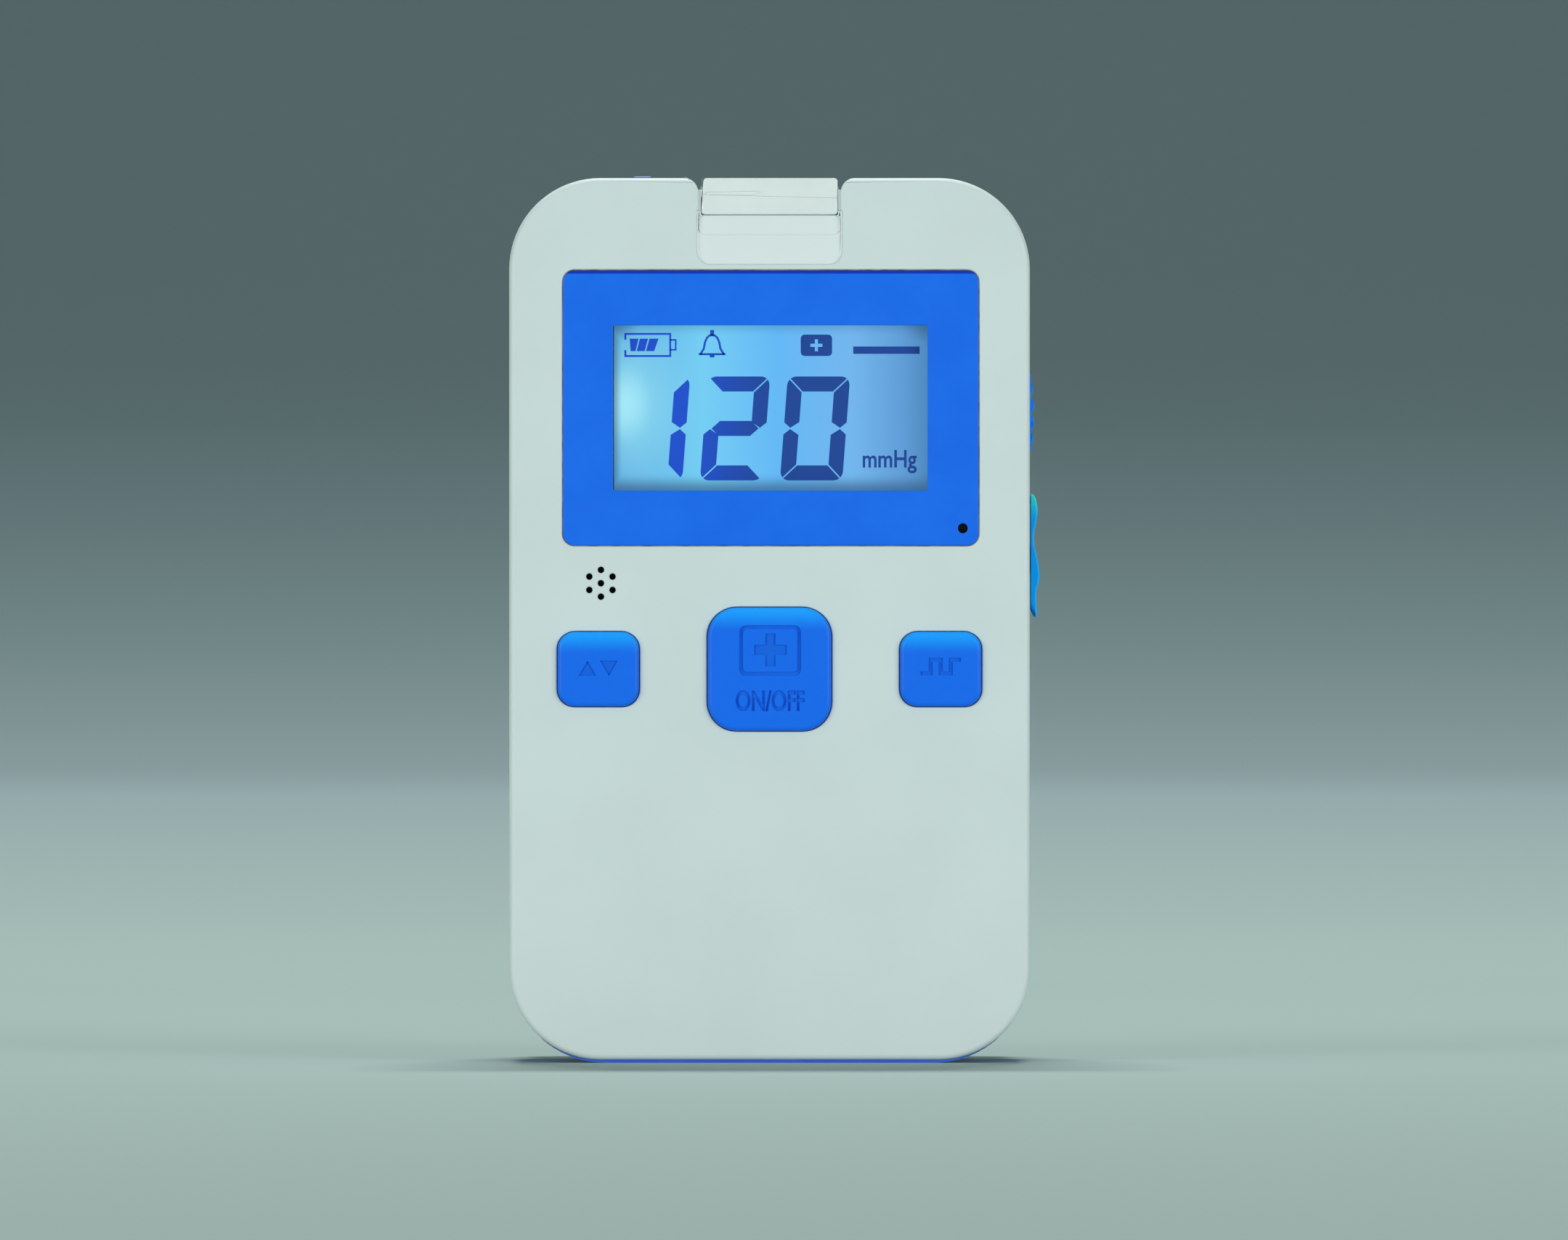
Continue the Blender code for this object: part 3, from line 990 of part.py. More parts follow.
def pump():
    """Motor, crank and the diaphragm head, which stands on the crank chamber."""
    ring_bore = BEARING_RADIUS + 2 * CRANK_THROW + CRANK_CLEARANCE
    ring_radius = ring_bore + ROD_RING_WALL
    crank_z = SHAFT_Z + CRANK_THROW
    chamber_floor_z = SHAFT_Z - CRANK_THROW - ring_radius - FIT_GAP
    low_x, high_x = CRANK_X - PUMP_WIDTH / 2, CRANK_X + PUMP_WIDTH / 2
    low_y, high_y = SHAFT_Y - PUMP_DEPTH / 2, SHAFT_Y + PUMP_DEPTH / 2
    housing = block("pump_housing", (low_x, low_y, chamber_floor_z - PUMP_FLOOR),
                    (high_x, high_y, PUMP_TOP_Z))
    cut(housing,
        block("crank_chamber", (low_x + PUMP_SIDE_WALL, low_y + PUMP_FACE_WALL, chamber_floor_z),
              (high_x - PUMP_SIDE_WALL, high_y - PUMP_FACE_WALL, PUMP_TOP_Z + CUT_OVERRUN)),
        along_x("motor_seat", MOTOR_BOSS_RADIUS + FIT_GAP, SHAFT_Y, SHAFT_Z,
                high_x - PUMP_SIDE_WALL - CUT_OVERRUN, high_x + CUT_OVERRUN))
    dress(housing, BLACK, 0.5)

    motor_back_x = MOTOR_FRONT_X + MOTOR_LENGTH
    shaft_end_x = motor_back_x - MOTOR_RADIUS
    motor = along_x("pump_motor", MOTOR_RADIUS, SHAFT_Y, SHAFT_Z, MOTOR_FRONT_X, motor_back_x)
    add(motor, along_x("motor_boss", MOTOR_BOSS_RADIUS, SHAFT_Y, SHAFT_Z,
                       MOTOR_FRONT_X - MOTOR_BOSS_LENGTH, MOTOR_FRONT_X + ROOT_BITE))
    cut(motor, along_x("motor_bore", SHAFT_RADIUS + SHAFT_BORE_CLEARANCE, SHAFT_Y, SHAFT_Z,
                       MOTOR_FRONT_X - CUT_OVERRUN, shaft_end_x + FIT_GAP, SMALL_ROUND_SIDES))
    dress(motor, METAL, 0.35, 1.0)
    sleeve_x = (MOTOR_FRONT_X + motor_back_x - SLEEVE_LENGTH) / 2
    sleeve = along_x("motor_sleeve", MOTOR_RADIUS + FIT_GAP + SLEEVE_WALL, SHAFT_Y, SHAFT_Z, sleeve_x,
                     sleeve_x + SLEEVE_LENGTH)
    cut(sleeve, along_x("sleeve_bore", MOTOR_RADIUS + FIT_GAP, SHAFT_Y, SHAFT_Z, sleeve_x - CUT_OVERRUN,
                        sleeve_x + SLEEVE_LENGTH + CUT_OVERRUN))
    dress(sleeve, BLACK, 0.9)

    crank_low_x, crank_high_x = CRANK_X - CRANK_WIDTH / 2, CRANK_X + CRANK_WIDTH / 2
    on_shaft = (CRANK_X, SHAFT_Y, SHAFT_Z)
    shaft = along_x("motor_shaft", SHAFT_RADIUS, SHAFT_Y, SHAFT_Z, crank_low_x - SHAFT_TIP, shaft_end_x,
                    SMALL_ROUND_SIDES)
    dress(turn_on(shaft, on_shaft), METAL, 0.2, 1.0)
    eccentric = along_x("eccentric", ECCENTRIC_RADIUS, SHAFT_Y, crank_z, crank_low_x, crank_high_x)
    cut(eccentric, along_x("eccentric_bore", SHAFT_RADIUS + CRANK_CLEARANCE, SHAFT_Y, SHAFT_Z,
                           crank_low_x - CUT_OVERRUN, crank_high_x + CUT_OVERRUN, SMALL_ROUND_SIDES))
    dress(turn_on(eccentric, on_shaft), BRASS, 0.3, 1.0)
    bearing = along_x("rod_bearing", BEARING_RADIUS, SHAFT_Y, crank_z, crank_low_x, crank_high_x)
    cut(bearing, along_x("bearing_bore", ECCENTRIC_RADIUS + CRANK_CLEARANCE, SHAFT_Y, crank_z,
                         crank_low_x - CUT_OVERRUN, crank_high_x + CUT_OVERRUN))
    dress(turn_on(bearing, on_shaft), METAL, 0.2, 1.0)

    diaphragm_z = PUMP_TOP_Z + FIT_GAP
    head_top_z = diaphragm_z - FIT_GAP
    con_rod = along_x("connecting_rod", ring_radius, SHAFT_Y, crank_z, crank_low_x, crank_high_x)
    stem_half = ROD_STEM_SIDE / 2
    add(con_rod,
        block("rod_stem", (CRANK_X - stem_half, SHAFT_Y - stem_half, crank_z + ring_bore),
              (CRANK_X + stem_half, SHAFT_Y + stem_half, head_top_z - ROOT_BITE)),
        rod("rod_head", ROD_HEAD_RADIUS, (CRANK_X, SHAFT_Y, head_top_z - ROD_HEAD_THICKNESS),
            (CRANK_X, SHAFT_Y, head_top_z)))
    cut(con_rod, along_x("rod_bore", ring_bore, SHAFT_Y, crank_z, crank_low_x - CUT_OVERRUN,
                         crank_high_x + CUT_OVERRUN))
    dress(turn_on(con_rod, (CRANK_X, SHAFT_Y, crank_z)), GREY, 0.5)

    diaphragm = block("diaphragm", (low_x, low_y, diaphragm_z),
                      (high_x, high_y, diaphragm_z + DIAPHRAGM_THICKNESS))
    dress(diaphragm, BLACK, 0.9)
    valve_z = diaphragm_z + DIAPHRAGM_THICKNESS + FIT_GAP
    valve_top_z = valve_z + VALVE_PLATE_THICKNESS
    valve_plate = block("valve_plate", (low_x, low_y, valve_z), (high_x, high_y, valve_top_z))
    cover_z = valve_top_z + FIT_GAP
    cover_top_z = cover_z + PUMP_COVER_THICKNESS
    cover = block("pump_cover", (low_x, low_y, cover_z), (high_x, high_y, cover_top_z))
    clip_z = cover_top_z + FIT_GAP
    spread = FIT_GAP + CLIP_THICKNESS
    clip_low_y, clip_high_y = SHAFT_Y - CLIP_WIDTH / 2, SHAFT_Y + CLIP_WIDTH / 2
    clip = block("pump_clip", (low_x - spread, clip_low_y, clip_z - CLIP_DROP),
                 (high_x + spread, clip_high_y, clip_z + CLIP_THICKNESS))
    cut(clip, block("clip_inside",
                    (low_x - FIT_GAP, clip_low_y - CUT_OVERRUN, clip_z - CLIP_DROP - CUT_OVERRUN),
                    (high_x + FIT_GAP, clip_high_y + CUT_OVERRUN, clip_z)))
    for i, x in enumerate(pump_nipple_xs()):
        add(cover, rod(f"cover_nipple_{i}", NIPPLE_RADIUS, (x, SHAFT_Y, cover_top_z - ROOT_BITE),
                       (x, SHAFT_Y, cover_top_z + NIPPLE_LENGTH), SMALL_ROUND_SIDES))
        for target, name, low_z in ((cover, "cover_way", cover_z), (valve_plate, "valve_hole", valve_z)):
            cut(target, rod(f"{name}_{i}", NIPPLE_BORE_RADIUS, (x, SHAFT_Y, low_z - CUT_OVERRUN),
                            (x, SHAFT_Y, cover_top_z + NIPPLE_LENGTH + CUT_OVERRUN), HEX_SIDES))
        cut(clip, rod(f"clip_hole_{i}", NIPPLE_RADIUS + FIT_GAP, (x, SHAFT_Y, clip_z - FIT_GAP),
                      (x, SHAFT_Y, clip_z + CUT_OVERRUN), SMALL_ROUND_SIDES))
    dress(valve_plate, GREY, 0.4)
    dress(cover, BLACK, 0.5)
    dress(clip, METAL, 0.25, 1.0)
    return cover_top_z + NIPPLE_LENGTH


def pump_nipple_xs():
    return CRANK_X - NIPPLE_SPACING / 2, CRANK_X + NIPPLE_SPACING / 2


def pneumatics(pump_nipple_z):
    """The manifold under the notch with the vacuum nipple, and what its three spigots serve."""
    middle_y = nipple_y()
    top_z = NOTCH_REAR_FLOOR_Z - CASE_WALL - FIT_GAP
    low_z = top_z - MANIFOLD_HEIGHT
    middle_z = (top_z + low_z) / 2
    half = MANIFOLD_WIDTH / 2
    port = block("vacuum_port", *centred(MANIFOLD_WIDTH, middle_y - MANIFOLD_DEPTH / 2,
                                         middle_y + MANIFOLD_DEPTH / 2, low_z, top_z))
    nipple_top_z = NOTCH_REAR_FLOOR_Z + VACUUM_NIPPLE_LENGTH
    spigot = NIPPLE_LENGTH / 2
    add(port,
        rod("vacuum_nipple", VACUUM_NIPPLE_RADIUS, (0, middle_y, top_z - ROOT_BITE),
            (0, middle_y, nipple_top_z)),
        rod("pump_spigot", NIPPLE_RADIUS, (0, middle_y, low_z - spigot), (0, middle_y, low_z + ROOT_BITE),
            SMALL_ROUND_SIDES),
        along_x("side_spigots", NIPPLE_RADIUS, middle_y, middle_z, -half - spigot, half + spigot,
                SMALL_ROUND_SIDES))
    cut(port, rod("vacuum_way", VACUUM_NIPPLE_BORE_RADIUS, (0, middle_y, middle_z),
                  (0, middle_y, nipple_top_z + CUT_OVERRUN), SMALL_ROUND_SIDES))
    dress(port, GREY, 0.4)
    ring = VACUUM_NIPPLE_RADIUS + PORT_SEAL_STRETCH + PORT_SEAL_RADIUS
    turns = [2 * pi * i / SMALL_ROUND_SIDES for i in range(SMALL_ROUND_SIDES)]
    seal = turned("port_seal", [(ring + PORT_SEAL_RADIUS * cos(turn), -PORT_SEAL_RADIUS * sin(turn))
                                for turn in turns], (0, middle_y, PORT_SEAL_Z), (0, 0, 1))
    dress(seal, BLACK, 0.8)

    sensor_y = BOARD_BACK_Y + FIT_GAP
    sensor_half = SENSOR_BODY_SIDE / 2
    sensor_top_z = SENSOR_BODY_Z + sensor_half
    sensor = block("pressure_sensor", *centred(SENSOR_BODY_SIDE, sensor_y, sensor_y + SENSOR_BODY_DEPTH,
                                               SENSOR_BODY_Z - sensor_half, sensor_top_z, SENSOR_BODY_X))
    sensor_nipple_y = sensor_y + SENSOR_BODY_DEPTH / 2
    sensor_nipple_z = sensor_top_z + spigot
    add(sensor, rod("sensor_nipple", NIPPLE_RADIUS,
                    (SENSOR_BODY_X, sensor_nipple_y, sensor_top_z - ROOT_BITE),
                    (SENSOR_BODY_X, sensor_nipple_y, sensor_nipple_z), SMALL_ROUND_SIDES))
    dress(sensor, BLACK, 0.4)
    valve_x = half + VALVE_GAP_X
    valve = block("vent_valve", (valve_x, sensor_y, top_z - VALVE_HEIGHT),
                  (valve_x + VALVE_WIDTH, sensor_y + VALVE_DEPTH, top_z))
    dress(valve, METAL, 0.4, 1.0)

    pump_x = pump_nipple_xs()[1]
    spigot_z = low_z - spigot
    left_x = -half - spigot - FIT_GAP
    pump_tube = tube("pump_tube", ((pump_x, SHAFT_Y, pump_nipple_z + FIT_GAP),
                                   (pump_x, SHAFT_Y, pump_nipple_z + TUBE_LEAD),
                                   (0, middle_y, spigot_z - TUBE_LEAD),
                                   (0, middle_y, spigot_z - FIT_GAP)), TUBE_RADIUS)
    vent_tube = tube("vent_tube", ((half + spigot + FIT_GAP, middle_y, middle_z),
                                   (valve_x - FIT_GAP, middle_y, middle_z)), TUBE_RADIUS)
    bend_z = middle_z - (middle_z - sensor_nipple_z) / 3
    route = ((SENSOR_BODY_X, sensor_nipple_y, sensor_nipple_z + FIT_GAP),
             (SENSOR_BODY_X, sensor_nipple_y, sensor_nipple_z + TUBE_LEAD),
             (SENSOR_BODY_X + TUBE_RADIUS, middle_y - TUBE_RADIUS, bend_z),
             (left_x - 2 * TUBE_LEAD, middle_y, middle_z - TUBE_RADIUS / 2),
             (left_x - TUBE_LEAD, middle_y, middle_z),
             (left_x, middle_y, middle_z))
    sensor_tube = tube("sensor_tube", route, TUBE_RADIUS)
    for piece in (pump_tube, vent_tube, sensor_tube):
        dress(piece, (0.75, 0.78, 0.75), 0.5)
    muffler_z = pump_nipple_z + FIT_GAP
    muffler = rod("exhaust_muffler", MUFFLER_RADIUS, (pump_nipple_xs()[0], SHAFT_Y, muffler_z),
                  (pump_nipple_xs()[0], SHAFT_Y, muffler_z + MUFFLER_LENGTH))
    dress(muffler, GREY, 0.9)


def canister():
    """The fluid canister behind the device, with its bridge over the notch."""
    half = CANISTER_WIDTH / 2
    lid_y = CANISTER_BACK_Y - CANISTER_WALL
    body_back_y = lid_y - FIT_GAP
    inner_y = CANISTER_FRONT_Y + CANISTER_WALL
    inner_top_z = CANISTER_TOP_Z - CANISTER_WALL
    before_y, behind_y = CANISTER_FRONT_Y - CUT_OVERRUN, CANISTER_BACK_Y + CUT_OVERRUN
    body = block("canister_body", (-half, CANISTER_FRONT_Y, 0), (half, body_back_y, CANISTER_TOP_Z),
                 CANISTER_CORNER, CASE_CORNER_STEPS)
    cavity = block("canister_cavity", *centred(CANISTER_WIDTH - 2 * CANISTER_WALL, inner_y, behind_y,
                                               CANISTER_WALL, inner_top_z),
                   CANISTER_CORNER - CANISTER_WALL, CASE_CORNER_STEPS)
    rail_top_z = RAIL_BOTTOM_Z + RAIL_LENGTH + FIT_GAP
    rail_back_y = REAR_BACK_Y + RAIL_NECK_DEPTH + RAIL_HEAD_DEPTH
    pocket_x = POCKET_WIDTH - half
    pocket_top_z = POCKET_BOTTOM_Z + POCKET_HEIGHT
    for side in (-1, 1):
        cut(cavity, block(f"slot_walls_{side}",
                          *centred(RAIL_HEAD + 2 * (FIT_GAP + SLOT_WALL), before_y,
                                   rail_back_y + FIT_GAP + SLOT_WALL, -CUT_OVERRUN,
                                   rail_top_z + SLOT_WALL, side * RAIL_X)))
    cut(cavity, block("pocket_walls", (-half - CUT_OVERRUN, before_y, POCKET_BOTTOM_Z - CANISTER_WALL),
                      (pocket_x + CANISTER_WALL, behind_y + CUT_OVERRUN, pocket_top_z + CANISTER_WALL)))
    cut(body, cavity)
    bridge_width = NOTCH_WIDTH - 2 * BRIDGE_CLEARANCE
    deep_y = REAR_FRONT_Y + CASE_WALL + BRIDGE_CLEARANCE
    bridge_front_y = PIN_Y + KNUCKLE_RADIUS + FIT_GAP
    bridge_low_z = NOTCH_FRONT_FLOOR_Z + BRIDGE_SEAT
    bite_y = CANISTER_FRONT_Y + ROOT_BITE
    knuckle_half = TAB_WIDTH / 2 - EAR_WIDTH - FIT_GAP
    add(body,
        block("bridge_deep", *centred(bridge_width, deep_y, bite_y, NOTCH_REAR_FLOOR_Z + BRIDGE_SEAT,
                                      CANISTER_TOP_Z)),
        block("bridge_front", *centred(bridge_width, bridge_front_y, deep_y + ROOT_BITE, bridge_low_z,
                                       CANISTER_TOP_Z)),
        block("knuckle_arm", (-knuckle_half, PIN_Y, PIN_Z - KNUCKLE_RADIUS),
              (knuckle_half, bridge_front_y + ROOT_BITE, PIN_Z + KNUCKLE_RADIUS)),
        along_x("knuckle", KNUCKLE_RADIUS, PIN_Y, PIN_Z, -knuckle_half, knuckle_half))
    socket_radius = (VACUUM_NIPPLE_RADIUS + PORT_SEAL_STRETCH + 2 * PORT_SEAL_RADIUS + PIN_CLEARANCE)
    socket_top_z = NOTCH_REAR_FLOOR_Z + VACUUM_NIPPLE_LENGTH + CANISTER_WALL
    duct_z = socket_top_z - VACUUM_NIPPLE_BORE_RADIUS - FIT_GAP
    cut(body,
        rod("vacuum_socket", socket_radius, (0, nipple_y(), NOTCH_REAR_FLOOR_Z - CUT_OVERRUN),
            (0, nipple_y(), socket_top_z)),
        along_y("vacuum_duct", VACUUM_NIPPLE_BORE_RADIUS, 0, duct_z, nipple_y(), inner_y + CUT_OVERRUN,
                SMALL_ROUND_SIDES),
        along_x("pin_way", PIN_RADIUS + PIN_CLEARANCE, PIN_Y, PIN_Z, -half, half, SMALL_ROUND_SIDES))
    for side in (-1, 1):
        neck_back_y = REAR_BACK_Y + RAIL_NECK_DEPTH + FIT_GAP
        cut(body,
            block(f"slot_neck_{side}", *centred(RAIL_NECK + 2 * FIT_GAP, before_y, neck_back_y, -CUT_OVERRUN,
                                                rail_top_z, side * RAIL_X)),
            block(f"slot_head_{side}", *centred(RAIL_HEAD + 2 * FIT_GAP,
                                                REAR_BACK_Y + RAIL_NECK_DEPTH - SLOT_LIP_CLEARANCE,
                                                rail_back_y + FIT_GAP, -CUT_OVERRUN, rail_top_z,
                                                side * RAIL_X)))
    lid = block("canister_back", (-half, lid_y, 0), (half, CANISTER_BACK_Y, CANISTER_TOP_Z),
                CANISTER_CORNER, CASE_CORNER_STEPS, back_round=CANISTER_EDGE_ROUND)
    for target in (body, lid):
        cut(target, block(f"{target.name}_pocket", (-half - CUT_OVERRUN, before_y, POCKET_BOTTOM_Z),
                          (pocket_x, behind_y, pocket_top_z)))
    middle_y = (CANISTER_FRONT_Y + CANISTER_BACK_Y) / 2
    inlet_z = (POCKET_BOTTOM_Z + pocket_top_z) / 2
    cut(body, along_x("inlet_hole", INLET_RADIUS + FIT_GAP, middle_y, inlet_z, pocket_x - CUT_OVERRUN,
                      pocket_x + CANISTER_WALL + CUT_OVERRUN, SMALL_ROUND_SIDES))
    dress(body, CLEAR, 0.15, alpha=0.5)
    dress(lid, CLEAR, 0.15, alpha=0.5)
    inlet = turned("canister_inlet", inlet_profile(), (pocket_x + CANISTER_WALL, middle_y, inlet_z),
                   (-1, 0, 0), SMALL_ROUND_SIDES)
    dress(inlet, CLEAR, 0.3)
    gel = block("gel_pack", *centred(CANISTER_WIDTH - 2 * GEL_SIDE_GAP, inner_y + FIT_GAP, lid_y - FIT_GAP,
                                     GEL_BOTTOM_Z, POCKET_BOTTOM_Z - GEL_BELOW_POCKET), GEL_CORNER)
    dress(gel, (0.9, 0.9, 0.88), 0.9)
    filter_z = inner_top_z - FILTER_RADIUS - FIT_GAP
    filter_disc = along_y("canister_filter", FILTER_RADIUS, 0, filter_z, inner_y + FIT_GAP,
                          inner_y + FIT_GAP + FILTER_THICKNESS)
    dress(filter_disc, (0.92, 0.92, 0.92), 0.9)


def inlet_profile():
    """Radius and distance down the tube fitting: stub, flange, stem and two barbs, then its bore."""
    flange_end = CANISTER_WALL + FIT_GAP + INLET_FLANGE_THICKNESS
    barb = (INLET_LENGTH - INLET_FLANGE_THICKNESS) / 3
    end = flange_end + 3 * barb
    outer = [(INLET_RADIUS, 0), (INLET_RADIUS, CANISTER_WALL + FIT_GAP),
             (INLET_FLANGE_RADIUS, CANISTER_WALL + FIT_GAP), (INLET_FLANGE_RADIUS, flange_end),
             (INLET_RADIUS, flange_end)]
    for i in (1, 2):
        start = flange_end + i * barb
        outer += [(INLET_RADIUS, start), (INLET_RADIUS + INLET_BARB, start), (INLET_RADIUS, start + barb)]
    return list(reversed(outer + [(INLET_BORE_RADIUS, end), (INLET_BORE_RADIUS, 0)]))


def latch():
    """The clear tab that hangs in the notch, on a pin across the front end of the bridge."""
    half = TAB_WIDTH / 2
    tab = block("latch_tab", *centred(TAB_WIDTH, TAB_FRONT_Y, TAB_BACK_Y, TAB_BOTTOM_Z, CASE_HEIGHT),
                TAB_EDGE_ROUND, EDGE_STEPS, front_round=TAB_EDGE_ROUND)
    for side in (-1, 1):
        low_x, high_x = sorted((side * half, side * (half - EAR_WIDTH)))
        add(tab,
            block(f"ear_{side}", (low_x, TAB_BACK_Y - ROOT_BITE, PIN_Z - KNUCKLE_RADIUS),
                  (high_x, PIN_Y, PIN_Z + KNUCKLE_RADIUS)),
            along_x(f"ear_end_{side}", KNUCKLE_RADIUS, PIN_Y, PIN_Z, low_x, high_x))
    cut(tab, along_x("ear_bore", PIN_RADIUS + PIN_CLEARANCE, PIN_Y, PIN_Z, -half - CUT_OVERRUN,
                     half + CUT_OVERRUN, SMALL_ROUND_SIDES))
    turn_on(tab, (0, PIN_Y, PIN_Z))
    dress(tab, CLEAR, 0.15, alpha=0.5)
    pin = along_x("latch_pin", PIN_RADIUS, PIN_Y, PIN_Z, PIN_CLEARANCE - half, half - PIN_CLEARANCE,
                  SMALL_ROUND_SIDES)
    dress(turn_on(pin, (0, PIN_Y, PIN_Z)), METAL, 0.2, 1.0)


def main():
    front_shell()
    rear_shell()
    case_seal()
    case_screws()
    display()
    board_and_speaker()
    keys()
    power_slide()
    charging_port()
    status_light()
    battery()
    pneumatics(pump())
    canister()
    latch()


clear_scene()
PUMP = new_collection("wound_therapy_pump")
CUTTERS = new_collection("cutters")
CUTTERS.hide_render = True
main()
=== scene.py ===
"""The looks of a hand-held negative pressure wound therapy pump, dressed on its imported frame.

Metres, +Z up, and the display faces -Y. Each sub-assembly is a class that takes its place from the
boxes of the frame's nodes. Rigid inner parts keep their solids and get a finish of their own.
"""
from __future__ import annotations

import logging
import math
from dataclasses import dataclass
from enum import Enum
from typing import Callable, Sequence

import bmesh
import bpy
from mathutils import Matrix, Vector


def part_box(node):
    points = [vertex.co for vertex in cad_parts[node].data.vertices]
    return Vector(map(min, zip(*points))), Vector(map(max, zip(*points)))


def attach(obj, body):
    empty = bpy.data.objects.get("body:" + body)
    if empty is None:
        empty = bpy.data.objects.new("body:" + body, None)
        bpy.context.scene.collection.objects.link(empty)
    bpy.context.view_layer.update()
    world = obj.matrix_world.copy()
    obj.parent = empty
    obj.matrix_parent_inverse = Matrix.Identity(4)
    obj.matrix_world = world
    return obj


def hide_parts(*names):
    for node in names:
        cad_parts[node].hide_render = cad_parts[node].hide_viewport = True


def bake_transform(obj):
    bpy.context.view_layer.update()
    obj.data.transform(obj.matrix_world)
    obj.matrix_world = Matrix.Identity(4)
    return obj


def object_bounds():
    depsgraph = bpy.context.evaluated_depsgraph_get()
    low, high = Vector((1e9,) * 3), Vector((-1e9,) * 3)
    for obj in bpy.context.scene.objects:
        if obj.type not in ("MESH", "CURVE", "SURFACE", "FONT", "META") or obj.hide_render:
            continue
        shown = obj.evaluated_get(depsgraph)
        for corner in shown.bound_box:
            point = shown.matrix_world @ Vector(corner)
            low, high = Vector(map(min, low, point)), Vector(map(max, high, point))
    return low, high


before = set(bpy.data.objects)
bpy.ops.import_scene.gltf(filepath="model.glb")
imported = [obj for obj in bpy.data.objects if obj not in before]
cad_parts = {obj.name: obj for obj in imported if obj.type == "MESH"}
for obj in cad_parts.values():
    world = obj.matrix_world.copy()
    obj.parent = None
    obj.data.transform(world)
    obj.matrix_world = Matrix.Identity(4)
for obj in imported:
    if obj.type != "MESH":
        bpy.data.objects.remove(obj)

LOG = logging.getLogger("wound_therapy_pump")
FRAME_LOW, FRAME_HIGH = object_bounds()

Piece = bpy.types.Object
Socket = bpy.types.NodeSocket
Test = Callable[[Vector, Vector], bool]
Point = tuple[float, float]
Points = Sequence[Point]
Place = tuple[float, float, float]
Screen = tuple[int, int, int]
Light = tuple[float, float, float, float]
Stops = Sequence[tuple[float, Screen]]

FIT = 0.0003
OVERRUN = 0.002
CLOSE = 0.00001
TINY = 0.000001
PARALLEL = 0.99
KEEN = math.radians(32)
FLAT_WEIGHT = 80
SHARP = math.radians(40)
ROD_END = math.radians(60)
QUARTER = math.pi / 2
THROUGH = (-0.03, 0.0)
BEYOND = 0.2
PLUG_Z = 0.0776
POST_Z = 0.0867
SIDE_X = 0.0402
SIDE_Y = -0.0035


class Axis(Enum):
    """A direction of the frame, as the index of its coordinate."""

    X = 0
    Y = 1
    Z = 2


class Carve(Enum):
    """What a tool does to the piece that it meets."""

    CUT = "DIFFERENCE"
    JOIN = "UNION"


@dataclass(frozen=True)
class Span:
    """A box between two corners, in metres."""

    low: Vector
    high: Vector

    @property
    def size(self) -> Vector:
        """Its three side lengths."""
        return self.high - self.low

    @property
    def centre(self) -> Vector:
        """Its middle."""
        return (self.low + self.high) / 2

    def grown(self, x: float = 0.0, y: float = 0.0, z: float = 0.0) -> Span:
        """The box with each side moved out by that much."""
        step = Vector((x, y, z))
        return Span(self.low - step, self.high + step)

    def between(self, axis: Axis, low: float, high: float) -> Span:
        """The box with other ends along one axis.

        Args:
            axis: The direction whose ends change.
            low: The new low end.
            high: The new high end.

        Returns:
            The new box.
        """
        start, end = self.low.copy(), self.high.copy()
        start[axis.value], end[axis.value] = low, high
        return Span(start, end)


def span(low: Sequence[float], high: Sequence[float]) -> Span:
    """A box from two plain triples."""
    return Span(Vector(low), Vector(high))


def around(x: float, z: float, half_x: float, half_z: float, depths: Point) -> Span:
    """A box round a place on the front, between two depths."""
    return span((x - half_x, depths[0], z - half_z), (x + half_x, depths[1], z + half_z))


def node_span(node: str) -> Span:
    """The box of one of the frame's nodes at rest."""
    return Span(*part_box(node))


def anywhere(middle: Vector, way: Vector) -> bool:
    """A test that every edge passes."""
    return True


def along(axis: Axis) -> Test:
    """A test for edges that run along an axis."""
    return lambda middle, way: abs(way[axis.value]) > PARALLEL


def at(axis: Axis, place: float, slack: float = CLOSE) -> Test:
    """A test for edges whose middle lies at a place on an axis."""
    return lambda middle, way: abs(middle[axis.value] - place) < slack


def deselect() -> None:
    """Leaves edit mode and selects nothing."""
    if bpy.context.object and bpy.context.object.mode != "OBJECT":
        bpy.ops.object.mode_set(mode="OBJECT")
    bpy.ops.object.select_all(action="DESELECT")


def take(piece: Piece) -> None:
    """Makes the piece the only selected one.

    Args:
        piece: The object.
    """
    deselect()
    piece.select_set(True)
    bpy.context.view_layer.objects.active = piece


def name_it(piece: Piece, name: str) -> Piece:
    """Gives an object and its mesh the same name.

    Args:
        piece: The object.
        name: The name.

    Returns:
        The same object.
    """
    piece.name = name
    piece.data.name = name
    return piece


def settle(piece: Piece, name: str) -> Piece:
    """Moves the object's place, turn and scale into its mesh, and names it.

    Args:
        piece: The object.
        name: Its name.

    Returns:
        The same object.
    """
    take(piece)
    bpy.ops.object.transform_apply(location=True, rotation=True, scale=True)
    return name_it(piece, name)


def in_edit(piece: Piece, *steps: Callable[[], object]) -> Piece:
    """Runs edit-mode steps one after the other, each on the whole mesh.

    Args:
        piece: The object.
        steps: What is done.

    Returns:
        The same object.
    """
    take(piece)
    bpy.ops.object.mode_set(mode="EDIT")
    for step in steps:
        bpy.ops.mesh.select_all(action="SELECT")
        step()
    bpy.ops.object.mode_set(mode="OBJECT")
    return piece


def face_out() -> None:
    """Turns the selected faces outwards."""
    bpy.ops.mesh.normals_make_consistent(inside=False)


